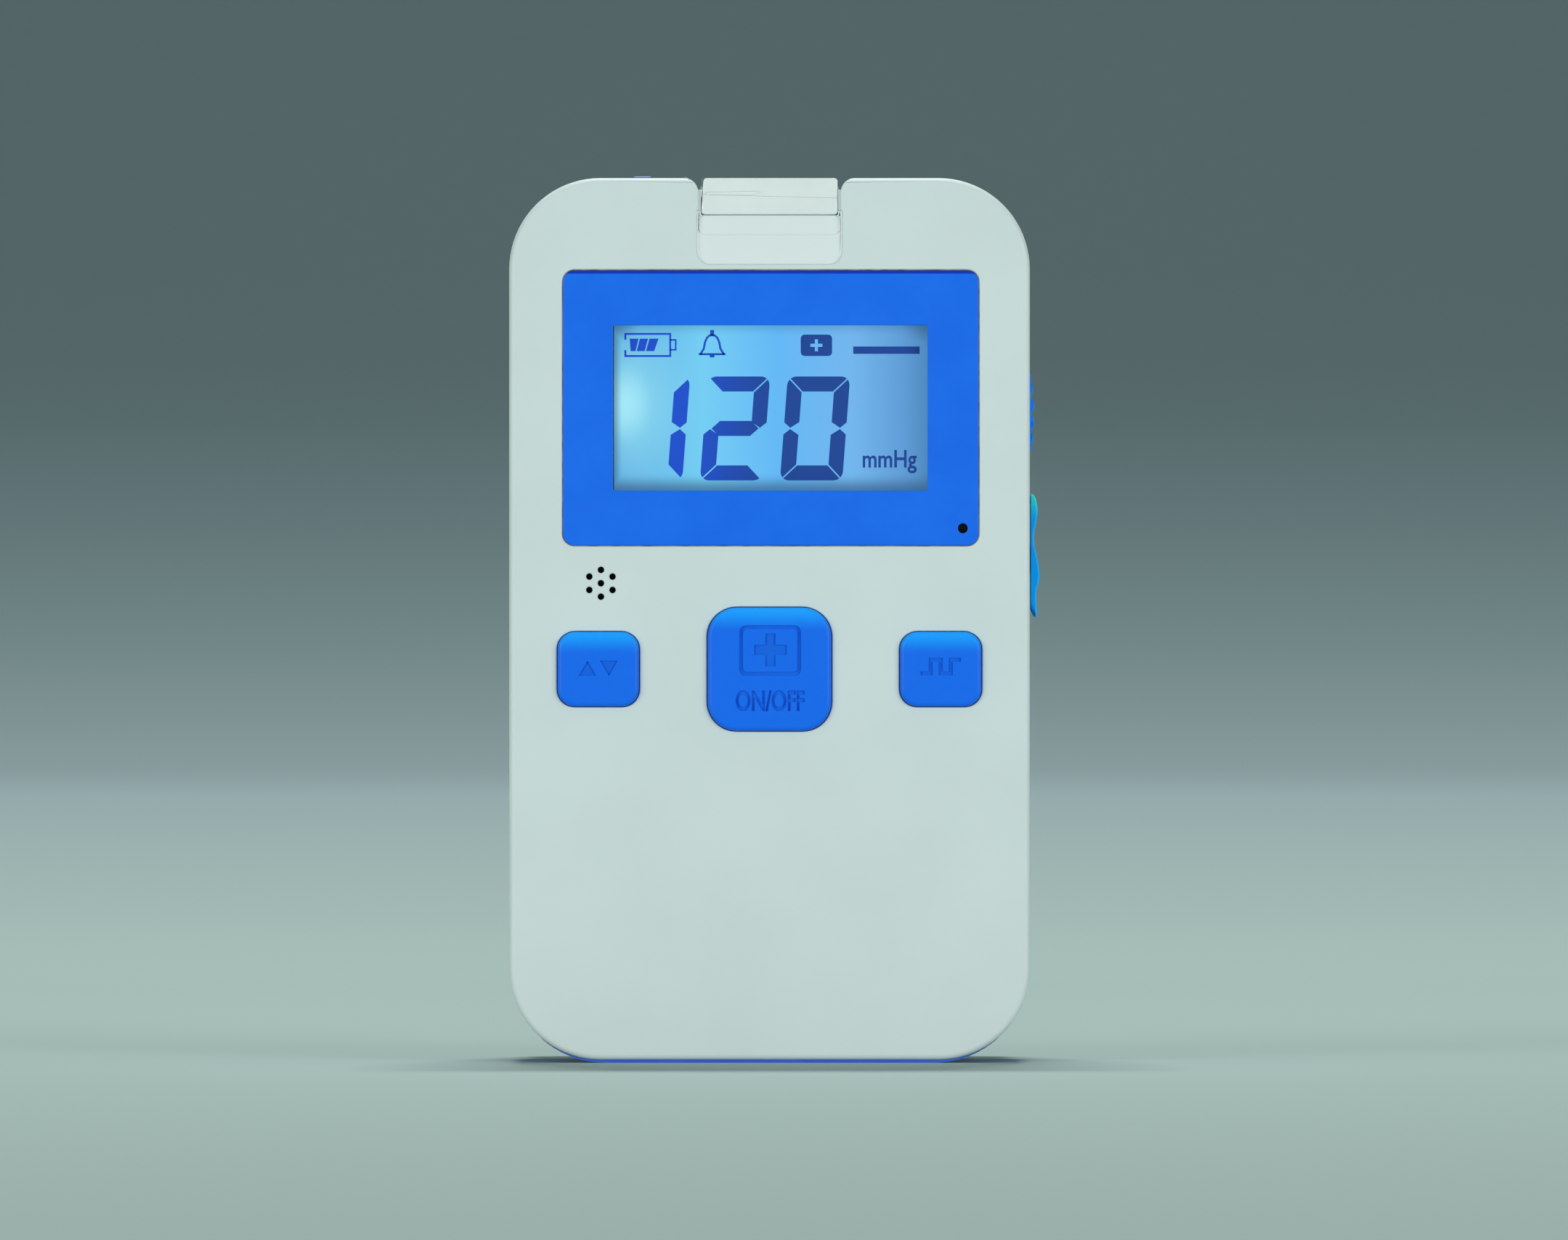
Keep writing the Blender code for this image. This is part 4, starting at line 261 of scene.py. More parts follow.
def draw_out(sheet: Piece, depth: float) -> Piece:
    """Draws a flat sheet out along Y into a solid."""
    move = {"value": (0, depth, 0)}
    return in_edit(sheet, lambda: bpy.ops.mesh.extrude_region_move(TRANSFORM_OT_translate=move), face_out)


def block(name: str, box: Span) -> Piece:
    """A cuboid that fills the box, as a start.

    Args:
        name: The object's name.
        box: Its box.

    Returns:
        The cuboid.
    """
    deselect()
    bpy.ops.mesh.primitive_cube_add(size=1.0, location=box.centre)
    bpy.context.object.scale = box.size
    return settle(bpy.context.object, name)


def rod(name: str, radius: float, start: Sequence[float], end: float, sides: int = 48,
        axis: Axis = Axis.Y) -> Piece:
    """A round bar along an axis, as a start.

    Args:
        name: The object's name.
        radius: The bar's radius.
        start: The middle of its first end.
        end: Where its other end lies on the axis.
        sides: How many sides stand for the circle.
        axis: The direction that it runs in.

    Returns:
        The bar.
    """
    first, last = Vector(start), Vector(start)
    last[axis.value] = end
    run = last - first
    deselect()
    bpy.ops.mesh.primitive_cylinder_add(vertices=sides, radius=radius, depth=run.length,
                                        location=(first + last) / 2,
                                        rotation=run.to_track_quat("Z", "Y").to_euler())
    return settle(bpy.context.object, name)


def plate(name: str, outline: Points, depths: Point) -> Piece:
    """A flat outline in the plane of the front, drawn out along Y.

    Args:
        name: The object's name.
        outline: Points (x, z) in order round the edge.
        depths: Its front and its back.

    Returns:
        The plate.
    """
    deselect()
    bpy.ops.mesh.primitive_circle_add(vertices=len(outline), radius=1.0, fill_type="NGON")
    piece = bpy.context.object
    for vertex, (x, z) in zip(piece.data.vertices, outline):
        vertex.co = (x, depths[0], z)
    return settle(draw_out(piece, depths[1] - depths[0]), name)


def grid_sheet(name: str, middle: Sequence[float], size: Point, cells: tuple[int, int],
               depth: float) -> Piece:
    """An upright sheet of fine cells, drawn out along Y.

    Args:
        name: The object's name.
        middle: The sheet's middle.
        size: Its width and its height.
        cells: How many cells it has across and up.
        depth: How far it is drawn out.

    Returns:
        The sheet as a thin solid.
    """
    deselect()
    bpy.ops.mesh.primitive_grid_add(x_subdivisions=cells[0], y_subdivisions=cells[1], size=1.0,
                                    location=middle, rotation=(QUARTER, 0, 0))
    bpy.context.object.scale = (*size, 1.0)
    return draw_out(settle(bpy.context.object, name), depth)


def lettering(text: str, size: float, extrude: float, offset: float, steps: int) -> Piece:
    """Plain letters as a solid mesh that lies flat.

    Args:
        text: The letters.
        size: Their size.
        extrude: Half their thickness.
        offset: How much bolder each stroke gets on both sides.
        steps: Faces in each of their curves.

    Returns:
        The letters.
    """
    deselect()
    bpy.ops.object.text_add()
    letters = bpy.context.object.data
    letters.body, letters.size, letters.extrude = text, size, extrude
    letters.offset, letters.resolution_u = offset, steps
    bpy.ops.object.convert(target="MESH")
    return bpy.context.object


def ribbon(path: Points, width: float) -> list[Point]:
    """The outline of an open line of even width, with mitred corners.

    Args:
        path: The line's corners as (x, z).
        width: Its width.

    Returns:
        The points round the line.
    """
    points = [Vector(point) for point in path]
    ways = [(after - before).normalized() for before, after in zip(points, points[1:])]
    upper, lower = [], []
    for point, first, second in zip(points, [ways[0], *ways], [*ways, ways[-1]]):
        way = (first + second).normalized()
        side = Vector((-way.y, way.x))
        reach = side * (width / 2 / side.dot(Vector((-first.y, first.x))))
        upper.append(tuple(point + reach))
        lower.append(tuple(point - reach))
    return upper + lower[::-1]


def pick(piece: Piece, test: Test, sharper_than: float = 0.0) -> int:
    """Enters edit mode with only the edges selected that pass the test.

    Args:
        piece: The object.
        test: Takes an edge's middle and direction.
        sharper_than: The least angle between an edge's two faces.

    Returns:
        How many are selected.
    """
    take(piece)
    bpy.ops.object.mode_set(mode="EDIT")
    bpy.ops.mesh.select_mode(type="EDGE")
    bpy.ops.mesh.select_all(action="DESELECT")
    count = 0
    for edge in bmesh.from_edit_mesh(piece.data).edges:
        a, b = (vertex.co for vertex in edge.verts)
        if edge.calc_face_angle(0.0) >= sharper_than and test((a + b) / 2, (b - a).normalized()):
            edge.select_set(True)
            count += 1
    bmesh.update_edit_mesh(piece.data)
    return count


def round_edges(piece: Piece, width: float, steps: int, test: Test = anywhere,
                sharper_than: float = 0.0) -> Piece:
    """Bevels the chosen edges into an arc.

    Args:
        piece: The object.
        width: The arc's radius.
        steps: How many faces make the arc.
        test: Chooses the edges by middle and direction.
        sharper_than: The least angle of the edges taken.

    Returns:
        The same object.
    """
    if pick(piece, test, sharper_than):
        bpy.ops.mesh.bevel(offset=width, offset_type="OFFSET", segments=steps, profile=0.5,
                           affect="EDGES", clamp_overlap=False)
    bpy.ops.object.mode_set(mode="OBJECT")
    return piece


def soften(piece: Piece, width: float, steps: int = 2, test: Test = anywhere) -> Piece:
    """Takes the keenness off the sharp edges that pass the test, after a merge of stray points."""
    in_edit(piece, lambda: bpy.ops.mesh.remove_doubles(threshold=CLOSE))
    return round_edges(piece, width, steps, test, SHARP)


def rounded_block(name: str, box: Span, corner: float, steps: int, front: float = 0.0,
                  back: float = 0.0, rim_steps: int = 7, axis: Axis = Axis.Y) -> Piece:
    """A cuboid with rounded corners along an axis, and a rounded front or back rim.

    Args:
        name: The object's name.
        box: Its box.
        corner: The radius of the four corners.
        steps: Faces in each corner.
        front: The radius of the rim at the axis's low end, or zero.
        back: The radius of the rim at the axis's high end, or zero.
        rim_steps: Faces across each rim.
        axis: The direction that the corners run along.

    Returns:
        The block.
    """
    piece = round_edges(block(name, box), corner, steps, along(axis))
    for place, radius in ((box.low[axis.value], front), (box.high[axis.value], back)):
        if radius:
            round_edges(piece, radius, rim_steps, at(axis, place))
    return piece


def carve(piece: Piece, tools: Sequence[Piece], how: Carve = Carve.CUT) -> Piece:
    """Applies each tool to the piece and removes the tool.

    Args:
        piece: The object that is changed.
        tools: The shapes that change it.
        how: Whether a tool cuts what it meets or joins it.

    Returns:
        The same object.
    """
    for tool in tools:
        change = piece.modifiers.new("carve", "BOOLEAN")
        change.operation, change.solver, change.object = how.value, "EXACT", tool
        take(piece)
        bpy.ops.object.modifier_apply(modifier=change.name)
        bpy.data.objects.remove(tool, do_unlink=True)
    return piece


def copy_of(piece: Piece, name: str, shift: Vector) -> Piece:
    """A moved copy with a mesh of its own.

    Args:
        piece: The object to copy.
        name: The copy's name.
        shift: How far it is moved.

    Returns:
        The copy.
    """
    twin = piece.copy()
    twin.data = piece.data.copy()
    bpy.context.scene.collection.objects.link(twin)
    twin.data.transform(Matrix.Translation(shift))
    return name_it(twin, name)


def smooth(piece: Piece, angle: float = KEEN) -> Piece:
    """Smooth shading with keen edges kept, and flat faces that stay flat beside an arc.

    Args:
        piece: The object.
        angle: The least angle of an edge that stays keen.

    Returns:
        The same object.
    """
    take(piece)
    bpy.ops.object.shade_smooth_by_angle(angle=angle)
    weighted = piece.modifiers.new("even_normals", "WEIGHTED_NORMAL")
    weighted.keep_sharp, weighted.weight = True, FLAT_WEIGHT
    bpy.ops.object.modifier_apply(modifier=weighted.name)
    return piece


def put(piece: Piece, body: str, slot: str, finish: Finish, *instead_of: str) -> Piece:
    """Gives the piece its finish, its body and the nodes that it stands for.

    Args:
        piece: The finished object.
        body: The body that it rides on.
        slot: The name of a material slot; not used.
        finish: How it looks.
        instead_of: The nodes that it replaces.

    Returns:
        The same object.
    """
    piece.data.materials.clear()
    piece.data.materials.append(finish.material())
    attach(piece, body)
    if instead_of:
        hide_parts(*instead_of)
    LOG.info("%s: %d faces, on %s", piece.name, len(piece.data.polygons), body)
    return piece


def dress_node(node: str, finish: Finish) -> None:
    """Gives one of the frame's own solids its finish.

    Args:
        node: The solid's name.
        finish: How it looks.
    """
    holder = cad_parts[node]
    if holder.material_slots:
        holder.material_slots[0].material = finish.material()
    else:
        holder.data.materials.append(finish.material())
    LOG.info("%s: the frame's solid in %s", node, finish.name)


def shown(colour: Screen) -> Light:
    """A colour as a screen shows it, from 0 to 255 a channel, as linear light."""
    return (*[share / 12.92 if share <= 0.04045 else ((share + 0.055) / 1.055) ** 2.4
              for share in (value / 255 for value in colour)], 1.0)


class Nodes:
    """The shader nodes of a material or of the world, with short ways to add to them."""

    def __init__(self, owner: bpy.types.Material | bpy.types.World) -> None:
        """Starts with the nodes that Blender gives a new owner.

        Args:
            owner: The material or the world.
        """
        owner.use_nodes = True
        self.tree = owner.node_tree
        self.shader = self.tree.nodes.get("Principled BSDF")

    def fill(self, node: bpy.types.Node, inputs: dict[str | int, object]) -> None:
        """Sets inputs of a node, or links them where the value is a socket.

        Args:
            node: The node.
            inputs: What each input gets, by its name or its number.
        """
        for name, value in inputs.items():
            if isinstance(value, Socket):
                self.tree.links.new(value, node.inputs[name])
            else:
                node.inputs[name].default_value = value

    def add(self, kind: str, output: str | int, inputs: dict[str | int, object] | None = None,
            **settings: object) -> Socket:
        """Adds a node.

        Args:
            kind: Its type, without Blender's prefix.
            output: The output that is wanted.
            inputs: What its inputs get.
            settings: Its other properties.

        Returns:
            The output.
        """
        node = self.tree.nodes.new(f"ShaderNode{kind}")
        for name, value in settings.items():
            setattr(node, name, value)
        self.fill(node, inputs or {})
        return node.outputs[output]

    def place(self) -> Socket:
        """The point on the object, in metres."""
        return self.add("TexCoord", "Object")

    def coordinate(self, axis: Axis) -> Socket:
        """One coordinate of the point on the object."""
        return self.add("SeparateXYZ", axis.value, {"Vector": self.place()})

    def mapped(self, **settings: Sequence[float]) -> Socket:
        """The point on the object, moved, turned or scaled."""
        inputs = {name.title(): value for name, value in settings.items()}
        return self.add("Mapping", "Vector", {**inputs, "Vector": self.place()})

    def noise(self, size: float, detail: float = 2.0, place: Socket | None = None) -> Socket:
        """Soft noise from 0 to 1, with patches of about that size and finer ones laid over them."""
        return self.add("TexNoise", "Fac", {"Scale": 1 / size, "Detail": detail,
                                            "Vector": place or self.place()})

    def scaled(self, value: Socket, low: float, high: float, new_low: float = 0.0,
               new_high: float = 1.0, soft: bool = False) -> Socket:
        """A value taken from one range to another and held inside it.

        Args:
            value: The value.
            low: The start of its own range.
            high: The end of its own range.
            new_low: What the start becomes.
            new_high: What the end becomes.
            soft: Whether the change eases in and out.

        Returns:
            The new value.
        """
        return self.add("MapRange", "Result",
                        {"Value": value, "From Min": low, "From Max": high, "To Min": new_low,
                         "To Max": new_high}, interpolation_type="SMOOTHSTEP" if soft else "LINEAR")

    def sum_of(self, first: Socket, second: Socket, how: str = "ADD") -> Socket:
        """Two values added, or joined by another named sum."""
        return self.add("Math", "Value", {0: first, 1: second}, operation=how)

    def mix(self, share: Socket, first: Screen | Socket, second: Screen | Socket) -> Socket:
        """Two colours mixed by a share from 0 to 1."""
        colours = [tone if isinstance(tone, Socket) else shown(tone) for tone in (first, second)]
        return self.add("Mix", 2, {"Factor": share, 6: colours[0], 7: colours[1]}, data_type="RGBA")

    def ramp(self, value: Socket, stops: Stops) -> Socket:
        """A value from 0 to 1 turned into a colour between stops.

        Args:
            value: The value.
            stops: The first stop, the last one and then the others.

        Returns:
            The colour.
        """
        colour = self.add("ValToRGB", "Color", {"Fac": value})
        band = colour.node.color_ramp
        for element, (place, tone) in zip(band.elements, stops):
            element.position, element.color = place, shown(tone)
        for place, tone in stops[2:]:
            band.elements.new(place).color = shown(tone)
        return colour

    def finish_with(self, output: str, share: Socket, first: Socket, second: Socket) -> None:
        """Gives the named output two shaders, mixed by a share from 0 to 1."""
        self.fill(self.tree.nodes[output], {0: self.add("MixShader", 0, {0: share, 1: first, 2: second})})


PATCHES = (0.35, 0.65)
GLOSS_PATCHES = (0.3, 0.7)
GLOSS_GRAINS = 6
FINER = 3.0
LEAST_ROUGHNESS = 0.02
COAT_ROUGHNESS = 0.1


@dataclass(frozen=True)
class Finish:
    """A surface with mottled colour, a fine grain and an uneven gloss.

    The sizes of grain and mottle are in metres, and so is the grain's depth.
    """

    name: str
    colour: Screen
    second: Screen
    roughness: float = 0.45
    spread: float = 0.05
    mottle: float = 0.006
    grain: float = 0.0003
    depth: float = 0.000008
    metallic: float = 0.0
    specular: float = 0.5
    coat: float = 0.0
    alpha: float = 1.0
    sheen: float = 0.0

    def colour_of(self, nodes: Nodes) -> Socket:
        """The colour at each point: the two colours in soft patches."""
        patches = nodes.scaled(nodes.noise(self.mottle, FINER), *PATCHES)
        return nodes.mix(patches, self.colour, self.second)

    def height_of(self, nodes: Nodes) -> Socket:
        """The height of the grain at each point."""
        return nodes.noise(self.grain)

    def more(self, nodes: Nodes) -> dict[str, object]:
        """What else a finish sets on its shader."""
        return {}

    def material(self) -> bpy.types.Material:
        """Makes the material, or finds it where it has been made.

        Returns:
            The material.
        """
        label = f"{self.name}_finish"
        made = bpy.data.materials.get(label)
        if made:
            return made
        made = bpy.data.materials.new(label)
        nodes = Nodes(made)
        gloss = nodes.scaled(nodes.noise(self.grain * GLOSS_GRAINS, FINER), *GLOSS_PATCHES,
                             max(LEAST_ROUGHNESS, self.roughness - self.spread),
                             self.roughness + self.spread)
        relief = nodes.add("Bump", "Normal", {"Distance": self.depth, "Height": self.height_of(nodes)})
        nodes.fill(nodes.shader, {
            "Base Color": self.colour_of(nodes), "Roughness": gloss, "Normal": relief,
            "Metallic": self.metallic, "Specular IOR Level": self.specular, "Coat Weight": self.coat,
            "Coat Roughness": COAT_ROUGHNESS, "Alpha": self.alpha, "Sheen Weight": self.sheen,
            **self.more(nodes)})
        return made


@dataclass(frozen=True)
class Brushed(Finish):
    """Metal with fine lines along X."""

    stretch_share: float = 0.05

    def height_of(self, nodes: Nodes) -> Socket:
        """Noise drawn out along the lines."""
        return nodes.noise(self.grain, place=nodes.mapped(scale=(self.stretch_share, 1.0, 1.0)))


@dataclass(frozen=True)
class Cellular(Finish):
    """Open foam or sintered grains: round cells, darker in their hollows."""

    hollow: float = 0.1
    wall: float = 0.7

    def colour_of(self, nodes: Nodes) -> Socket:
        """Darker towards the middle of each cell."""
        share = nodes.scaled(self.height_of(nodes), self.hollow, self.wall)
        return nodes.mix(share, self.second, self.colour)

    def height_of(self, nodes: Nodes) -> Socket:
        """The cell walls stand proud, by the distance from the middle of each cell."""
        return nodes.add("TexVoronoi", "Distance", {"Scale": 1 / self.grain, "Vector": nodes.place()})


@dataclass(frozen=True)
class Woven(Finish):
    """Threads that cross in the plane of the front."""

    waves_share: float = 0.05

    def height_of(self, nodes: Nodes) -> Socket:
        """Two sets of waves laid over each other."""
        inputs = {"Scale": self.waves_share / self.grain, "Vector": nodes.place()}
        return nodes.sum_of(*[nodes.add("TexWave", "Fac", inputs, bands_direction=direction)
                              for direction in "XZ"], "MULTIPLY")


@dataclass(frozen=True)
class Circuit(Finish):
    """Solder resist over copper tracks."""

    brick: float = 0.0064
    track_share: float = 0.03
    offset: float = 0.37
    squash: float = 1.4

    def tracks(self, nodes: Nodes) -> Socket:
        """Straight tracks that branch, as the joints of an offset wall of bricks.

        Args:
            nodes: The material's nodes.

        Returns:
            Black on the tracks and white beside them.
        """
        white, black = (1, 1, 1, 1), (0, 0, 0, 1)
        return nodes.add("TexBrick", "Color", {
            "Scale": 1 / self.brick, "Mortar Size": self.track_share, "Color1": white, "Color2": white,
            "Mortar": black, "Vector": nodes.mapped(rotation=(QUARTER, 0, 0))},
            offset=self.offset, squash=self.squash)

    def colour_of(self, nodes: Nodes) -> Socket:
        """Lighter over the copper."""
        return nodes.mix(self.tracks(nodes), self.second, self.colour)

    def height_of(self, nodes: Nodes) -> Socket:
        """The tracks stand a little proud."""
        return nodes.sum_of(self.tracks(nodes), nodes.noise(self.grain), "SUBTRACT")


@dataclass(frozen=True)
class Faded(Finish):
    """A colour that passes into another along one axis, or along an attribute stored on the piece's points.
    """

    axis: Axis = Axis.Z
    start: float = 0.0
    end: float = 0.01
    attribute: str = ""

    def colour_of(self, nodes: Nodes) -> Socket:
        """The colour at each point along the way.

        Args:
            nodes: The material's nodes.

        Returns:
            The colour.
        """
        if self.attribute:
            place = nodes.add("Attribute", "Fac", attribute_name=self.attribute)
        else:
            place = nodes.coordinate(self.axis)
        return nodes.mix(nodes.scaled(place, self.start, self.end, soft=True), self.colour, self.second)


@dataclass(frozen=True)
class Banded(Finish):
    """A mottled colour with a darker band from a height upwards, painted as shade along a top edge."""

    edge: Screen = (0, 0, 0)
    band_z: float = 0.1
    blur: float = 0.00005

    def colour_of(self, nodes: Nodes) -> Socket:
        """The mottled colour below the band, and the band's painted shade above."""
        share = nodes.scaled(nodes.coordinate(Axis.Z), self.band_z - self.blur, self.band_z + self.blur)
        return nodes.mix(share, super().colour_of(nodes), self.edge)


@dataclass(frozen=True)
class LitDisplay(Finish):
    """A liquid crystal display whose lamp sits behind its left edge.

    A glow has a reach, a greatest share and a colour. A dim edge has a reach and a greatest share.
    """

    width: float = 0.048
    height: float = 0.0255
    middle_x: float = 0.0
    middle_z: float = 0.1
    lamp_share: float = 0.95
    strength: float = 1.0
    lamp_shift: Point = (0.0016, 0.0006)
    lamp_rise_share: float = 0.7
    across: Stops = (
        (0.0, (80, 163, 226)), (1.0, (78, 140, 196)), (0.10, (94, 182, 234)), (0.28, (116, 209, 248)),
        (0.52, (98, 187, 250)), (0.76, (114, 184, 242)), (0.92, (94, 158, 218)))
    glows: tuple[tuple[float, float, Screen], ...] = (
        (0.0130, 0.78, (146, 226, 246)), (0.0050, 0.85, (172, 240, 255)))
    dim_low: Point = (0.0028, 0.78)
    dim_left: Point = (0.0012, 0.55)
    dim_high: Point = (0.0018, 0.25)
    dim_corners: Point = (0.72, 0.75)
    shade: Screen = (52, 98, 140)

    def reach(self, nodes: Nodes, x: float, z: float) -> Socket:
        """How far each point lies from a place on the front, with heights counted for less.

        Args:
            nodes: The material's nodes.
            x: The place's distance to the right.
            z: The place's height.

        Returns:
            The distance.
        """
        rise = self.lamp_rise_share
        spot = nodes.mapped(location=(-x, 0.0, -z * rise), scale=(1.0, 0.0, rise))
        return nodes.add("VectorMath", "Value", {0: spot}, operation="LENGTH")

    def dimming(self, nodes: Nodes, left: float, bottom: float) -> Socket:
        """How dim each point is: at three edges, and in the corners.

        Args:
            nodes: The material's nodes.
            left: The left edge.
            bottom: The lower edge.

        Returns:
            A share from 0 to 1.
        """
        top = bottom + self.height
        dim, *others = [
            nodes.scaled(nodes.coordinate(axis), low, high, first, last, soft=True)
            for axis, low, high, first, last in (
                (Axis.Z, bottom, bottom + self.dim_low[0], self.dim_low[1], 0.0),
                (Axis.X, left, left + self.dim_left[0], self.dim_left[1], 0.0),
                (Axis.Z, top - self.dim_high[0], top, 0.0, self.dim_high[1]))]
        apart = [nodes.scaled(nodes.coordinate(axis), low, low + size, -1.0, 1.0)
                 for axis, low, size in ((Axis.X, left, self.width), (Axis.Z, bottom, self.height))]
        corner = nodes.sum_of(*[nodes.sum_of(value, value, "ABSOLUTE") for value in apart], "MULTIPLY")
        others.append(nodes.scaled(corner, self.dim_corners[0], 1.0, 0.0, self.dim_corners[1], soft=True))
        for other in others:
            dim = nodes.sum_of(dim, other, "MAXIMUM")
        return dim

    def light(self, nodes: Nodes) -> Socket:
        """Bright at the lamp, then paler blue, then grey blue, and dim at the edges and corners.

        Args:
            nodes: The material's nodes.

        Returns:
            The colour of the light.
        """
        left, bottom = self.middle_x - self.width / 2, self.middle_z - self.height / 2
        colour = nodes.ramp(nodes.scaled(nodes.coordinate(Axis.X), left, left + self.width), self.across)
        distance = self.reach(nodes, left + self.lamp_shift[0], self.middle_z + self.lamp_shift[1])
        for reach, most, glow in self.glows:
            colour = nodes.mix(nodes.scaled(distance, 0.0, reach, most, 0.0, soft=True), colour, glow)
        return nodes.mix(self.dimming(nodes, left, bottom), colour, self.shade)

    def colour_of(self, nodes: Nodes) -> Socket:
        """A dim share of the light, for the lamps in front of the display."""
        return nodes.add("VectorMath", 0, {0: self.light(nodes), "Scale": 1 - self.lamp_share},
                         operation="SCALE")

    def more(self, nodes: Nodes) -> dict[str, object]:
        """The light itself as a glow."""
        return {"Emission Color": self.light(nodes), "Emission Strength": self.strength}


WHITE_CASE = Finish("white_case", (197, 212, 211), (200, 215, 214), 0.5, 0.05, mottle=0.018,
                    grain=0.00035, depth=0.000006, specular=0.3)
BLUE_CASE = Finish("blue_case", (38, 88, 196), (42, 95, 204), 0.42, 0.06, mottle=0.012, grain=0.0004)
# The keys' blue passes into a lighter cyan over their top few millimetres: a painted highlight on the top
# rounding, where the light from above falls.
SMALL_KEY_PAINTED_HIGHLIGHT = Faded("small_key_painted_highlight", (16, 106, 232), (22, 158, 255), 0.42, 0.05, grain=0.00022,
                  depth=0.000006, specular=0.15, start=0.0627, end=0.0662)
LARGE_KEY_PAINTED_HIGHLIGHT = Faded("large_key_painted_highlight", (16, 106, 232), (22, 158, 255), 0.42, 0.05, grain=0.00022,
                  depth=0.000006, specular=0.15, start=0.0662, end=0.0699)
# The engraved floors of the keys are a darker blue than the faces: painted shade in the engravings.
MARK_RUBBER_PAINTED_SHADE = Finish("key_marks_painted_shade", (17, 98, 216), (21, 103, 221), 0.5, 0.05, mottle=0.003, grain=0.0002,
                     depth=0.000005, specular=0.1)
SLIDER_RUBBER = Finish("slider_rubber", (14, 122, 240), (18, 142, 250), 0.42, 0.06, mottle=0.002,
                       grain=0.0002, specular=0.12)
# The cover's blue passes into a paler cyan green over its upper hump: a painted highlight where the light
# from above falls.
COVER_RUBBER_PAINTED_HIGHLIGHT = Faded("cover_rubber_painted_highlight", (4, 172, 250), (48, 226, 222), 0.38, 0.06, grain=0.00025,
                     depth=0.00001, specular=0.12, start=0.0832, end=0.0872, attribute="height")
# The lens border is painted a darker blue above a height: painted shade along its top edge, below the
# casing's rim.
PRINTED_BLUE_TOP_SHADE = Banded("printed_blue_top_shade", (20, 104, 228), (24, 109, 233), 0.38, 0.05, mottle=0.01,
                      grain=0.0002, depth=0.000003, specular=0.15, edge=(10, 52, 178), band_z=0.12128)
# The bead in the lens's seam is mottled dark brown and silver grey: painted shade where the seam lies in
# shadow, and painted glints along it.
SEAM_SHADE_AND_GLINT = Finish("lens_seam_bead", (150, 148, 130), (96, 84, 70), 0.5, 0.1, mottle=0.0016,
                     depth=0.00001)
CLEAR_TAB = Finish("clear_tab", (222, 233, 231), (226, 237, 235), 0.2, 0.04, grain=0.0015, coat=0.2,
                   alpha=0.9)
# The finger recess is painted lighter than the casing, paler still further back: painted light standing in
# for the light that falls into it.
RECESS_PAINTED_LIGHT = Faded("recess_painted_light", (212, 224, 223), (226, 236, 235), 0.35, 0.05, grain=0.0005,
                     depth=0.000004, axis=Axis.Y, start=-0.0206, end=-0.0192)
CLEAR_CANISTER = Finish("clear_canister", (214, 230, 228), (222, 236, 233), 0.14, 0.04, mottle=0.02,
                        grain=0.003, depth=0.000015, coat=0.3, alpha=0.42)
CLEAR_FITTING = Finish("clear_fitting", (196, 216, 222), (206, 224, 228), 0.2, 0.04, mottle=0.003,
                       grain=0.001, alpha=0.8)
WINDOW_CLEAR = Finish("window_clear", (14, 34, 62), (18, 38, 66), 0.16, 0.03, mottle=0.02, grain=0.002,
                      depth=0.000003, specular=0.3, alpha=0.05)
LAMP_PIPE = Faded("lamp_pipe", (62, 74, 214), (196, 214, 206), 0.35, 0.04, grain=0.0006, depth=0.000006,
                  specular=0.2, start=0.1364, end=0.13649)
BACKLIGHT = Finish("backlight_white", (224, 234, 240), (230, 238, 242), 0.5)
GEL_CLOTH = Woven("gel_cloth", (226, 228, 222), (216, 220, 214), 0.9, 0.05, mottle=0.004, grain=0.0004,
                  depth=0.00006, sheen=0.3)
FILTER_FELT = Cellular("filter_felt", (234, 236, 232), (206, 208, 204), 0.95, 0.03, grain=0.0005,
                       depth=0.00005)
SEAL_RUBBER = Finish("seal_rubber", (34, 34, 38), (42, 42, 46), 0.75, 0.08, mottle=0.003, grain=0.0002,
                     depth=0.00001)
BLACK_PLASTIC = Finish("black_plastic", (30, 31, 34), (38, 39, 42), 0.45, 0.07, mottle=0.004,
                       grain=0.00025, depth=0.00001)
GREY_PLASTIC = Finish("grey_plastic", (124, 128, 134), (134, 138, 143), 0.45, 0.06, mottle=0.005,
                      depth=0.00001)
DARK_FOAM = Cellular("dark_foam", (40, 41, 46), (20, 20, 24), 0.95, 0.03, grain=0.0005, depth=0.00005)
SPEAKER_CLOTH = Woven("speaker_cloth", (20, 21, 24), (30, 31, 34), 0.9, 0.05, depth=0.00004)
SINTERED = Cellular("sintered", (148, 144, 136), (98, 95, 90), 0.9, 0.05, grain=0.0004, depth=0.00004)
BOARD = Circuit("circuit_board", (18, 92, 54), (34, 122, 74), 0.35, 0.06, coat=0.3, depth=0.00002)
STEEL = Brushed("steel", (186, 188, 190), (170, 172, 176), 0.28, 0.08, mottle=0.003, grain=0.0002,
                depth=0.000006, metallic=1.0)
BRASS = Brushed("brass", (206, 172, 104), (190, 154, 90), 0.28, 0.08, mottle=0.003, grain=0.0002,
                depth=0.000006, metallic=1.0)
CELL_WRAP = Finish("cell_wrap", (40, 96, 160), (46, 104, 168), 0.3, 0.08, grain=0.002, depth=0.00003,
                   coat=0.2)
SILICONE_TUBE = Finish("silicone_tube", (220, 224, 220), (210, 216, 212), 0.35, 0.06, mottle=0.003,
                       grain=0.0006, depth=0.00001, alpha=0.85)
LED_RESIN = Finish("led_resin", (240, 238, 214), (230, 232, 216), 0.3, 0.05, mottle=0.001,
                   grain=0.0004)
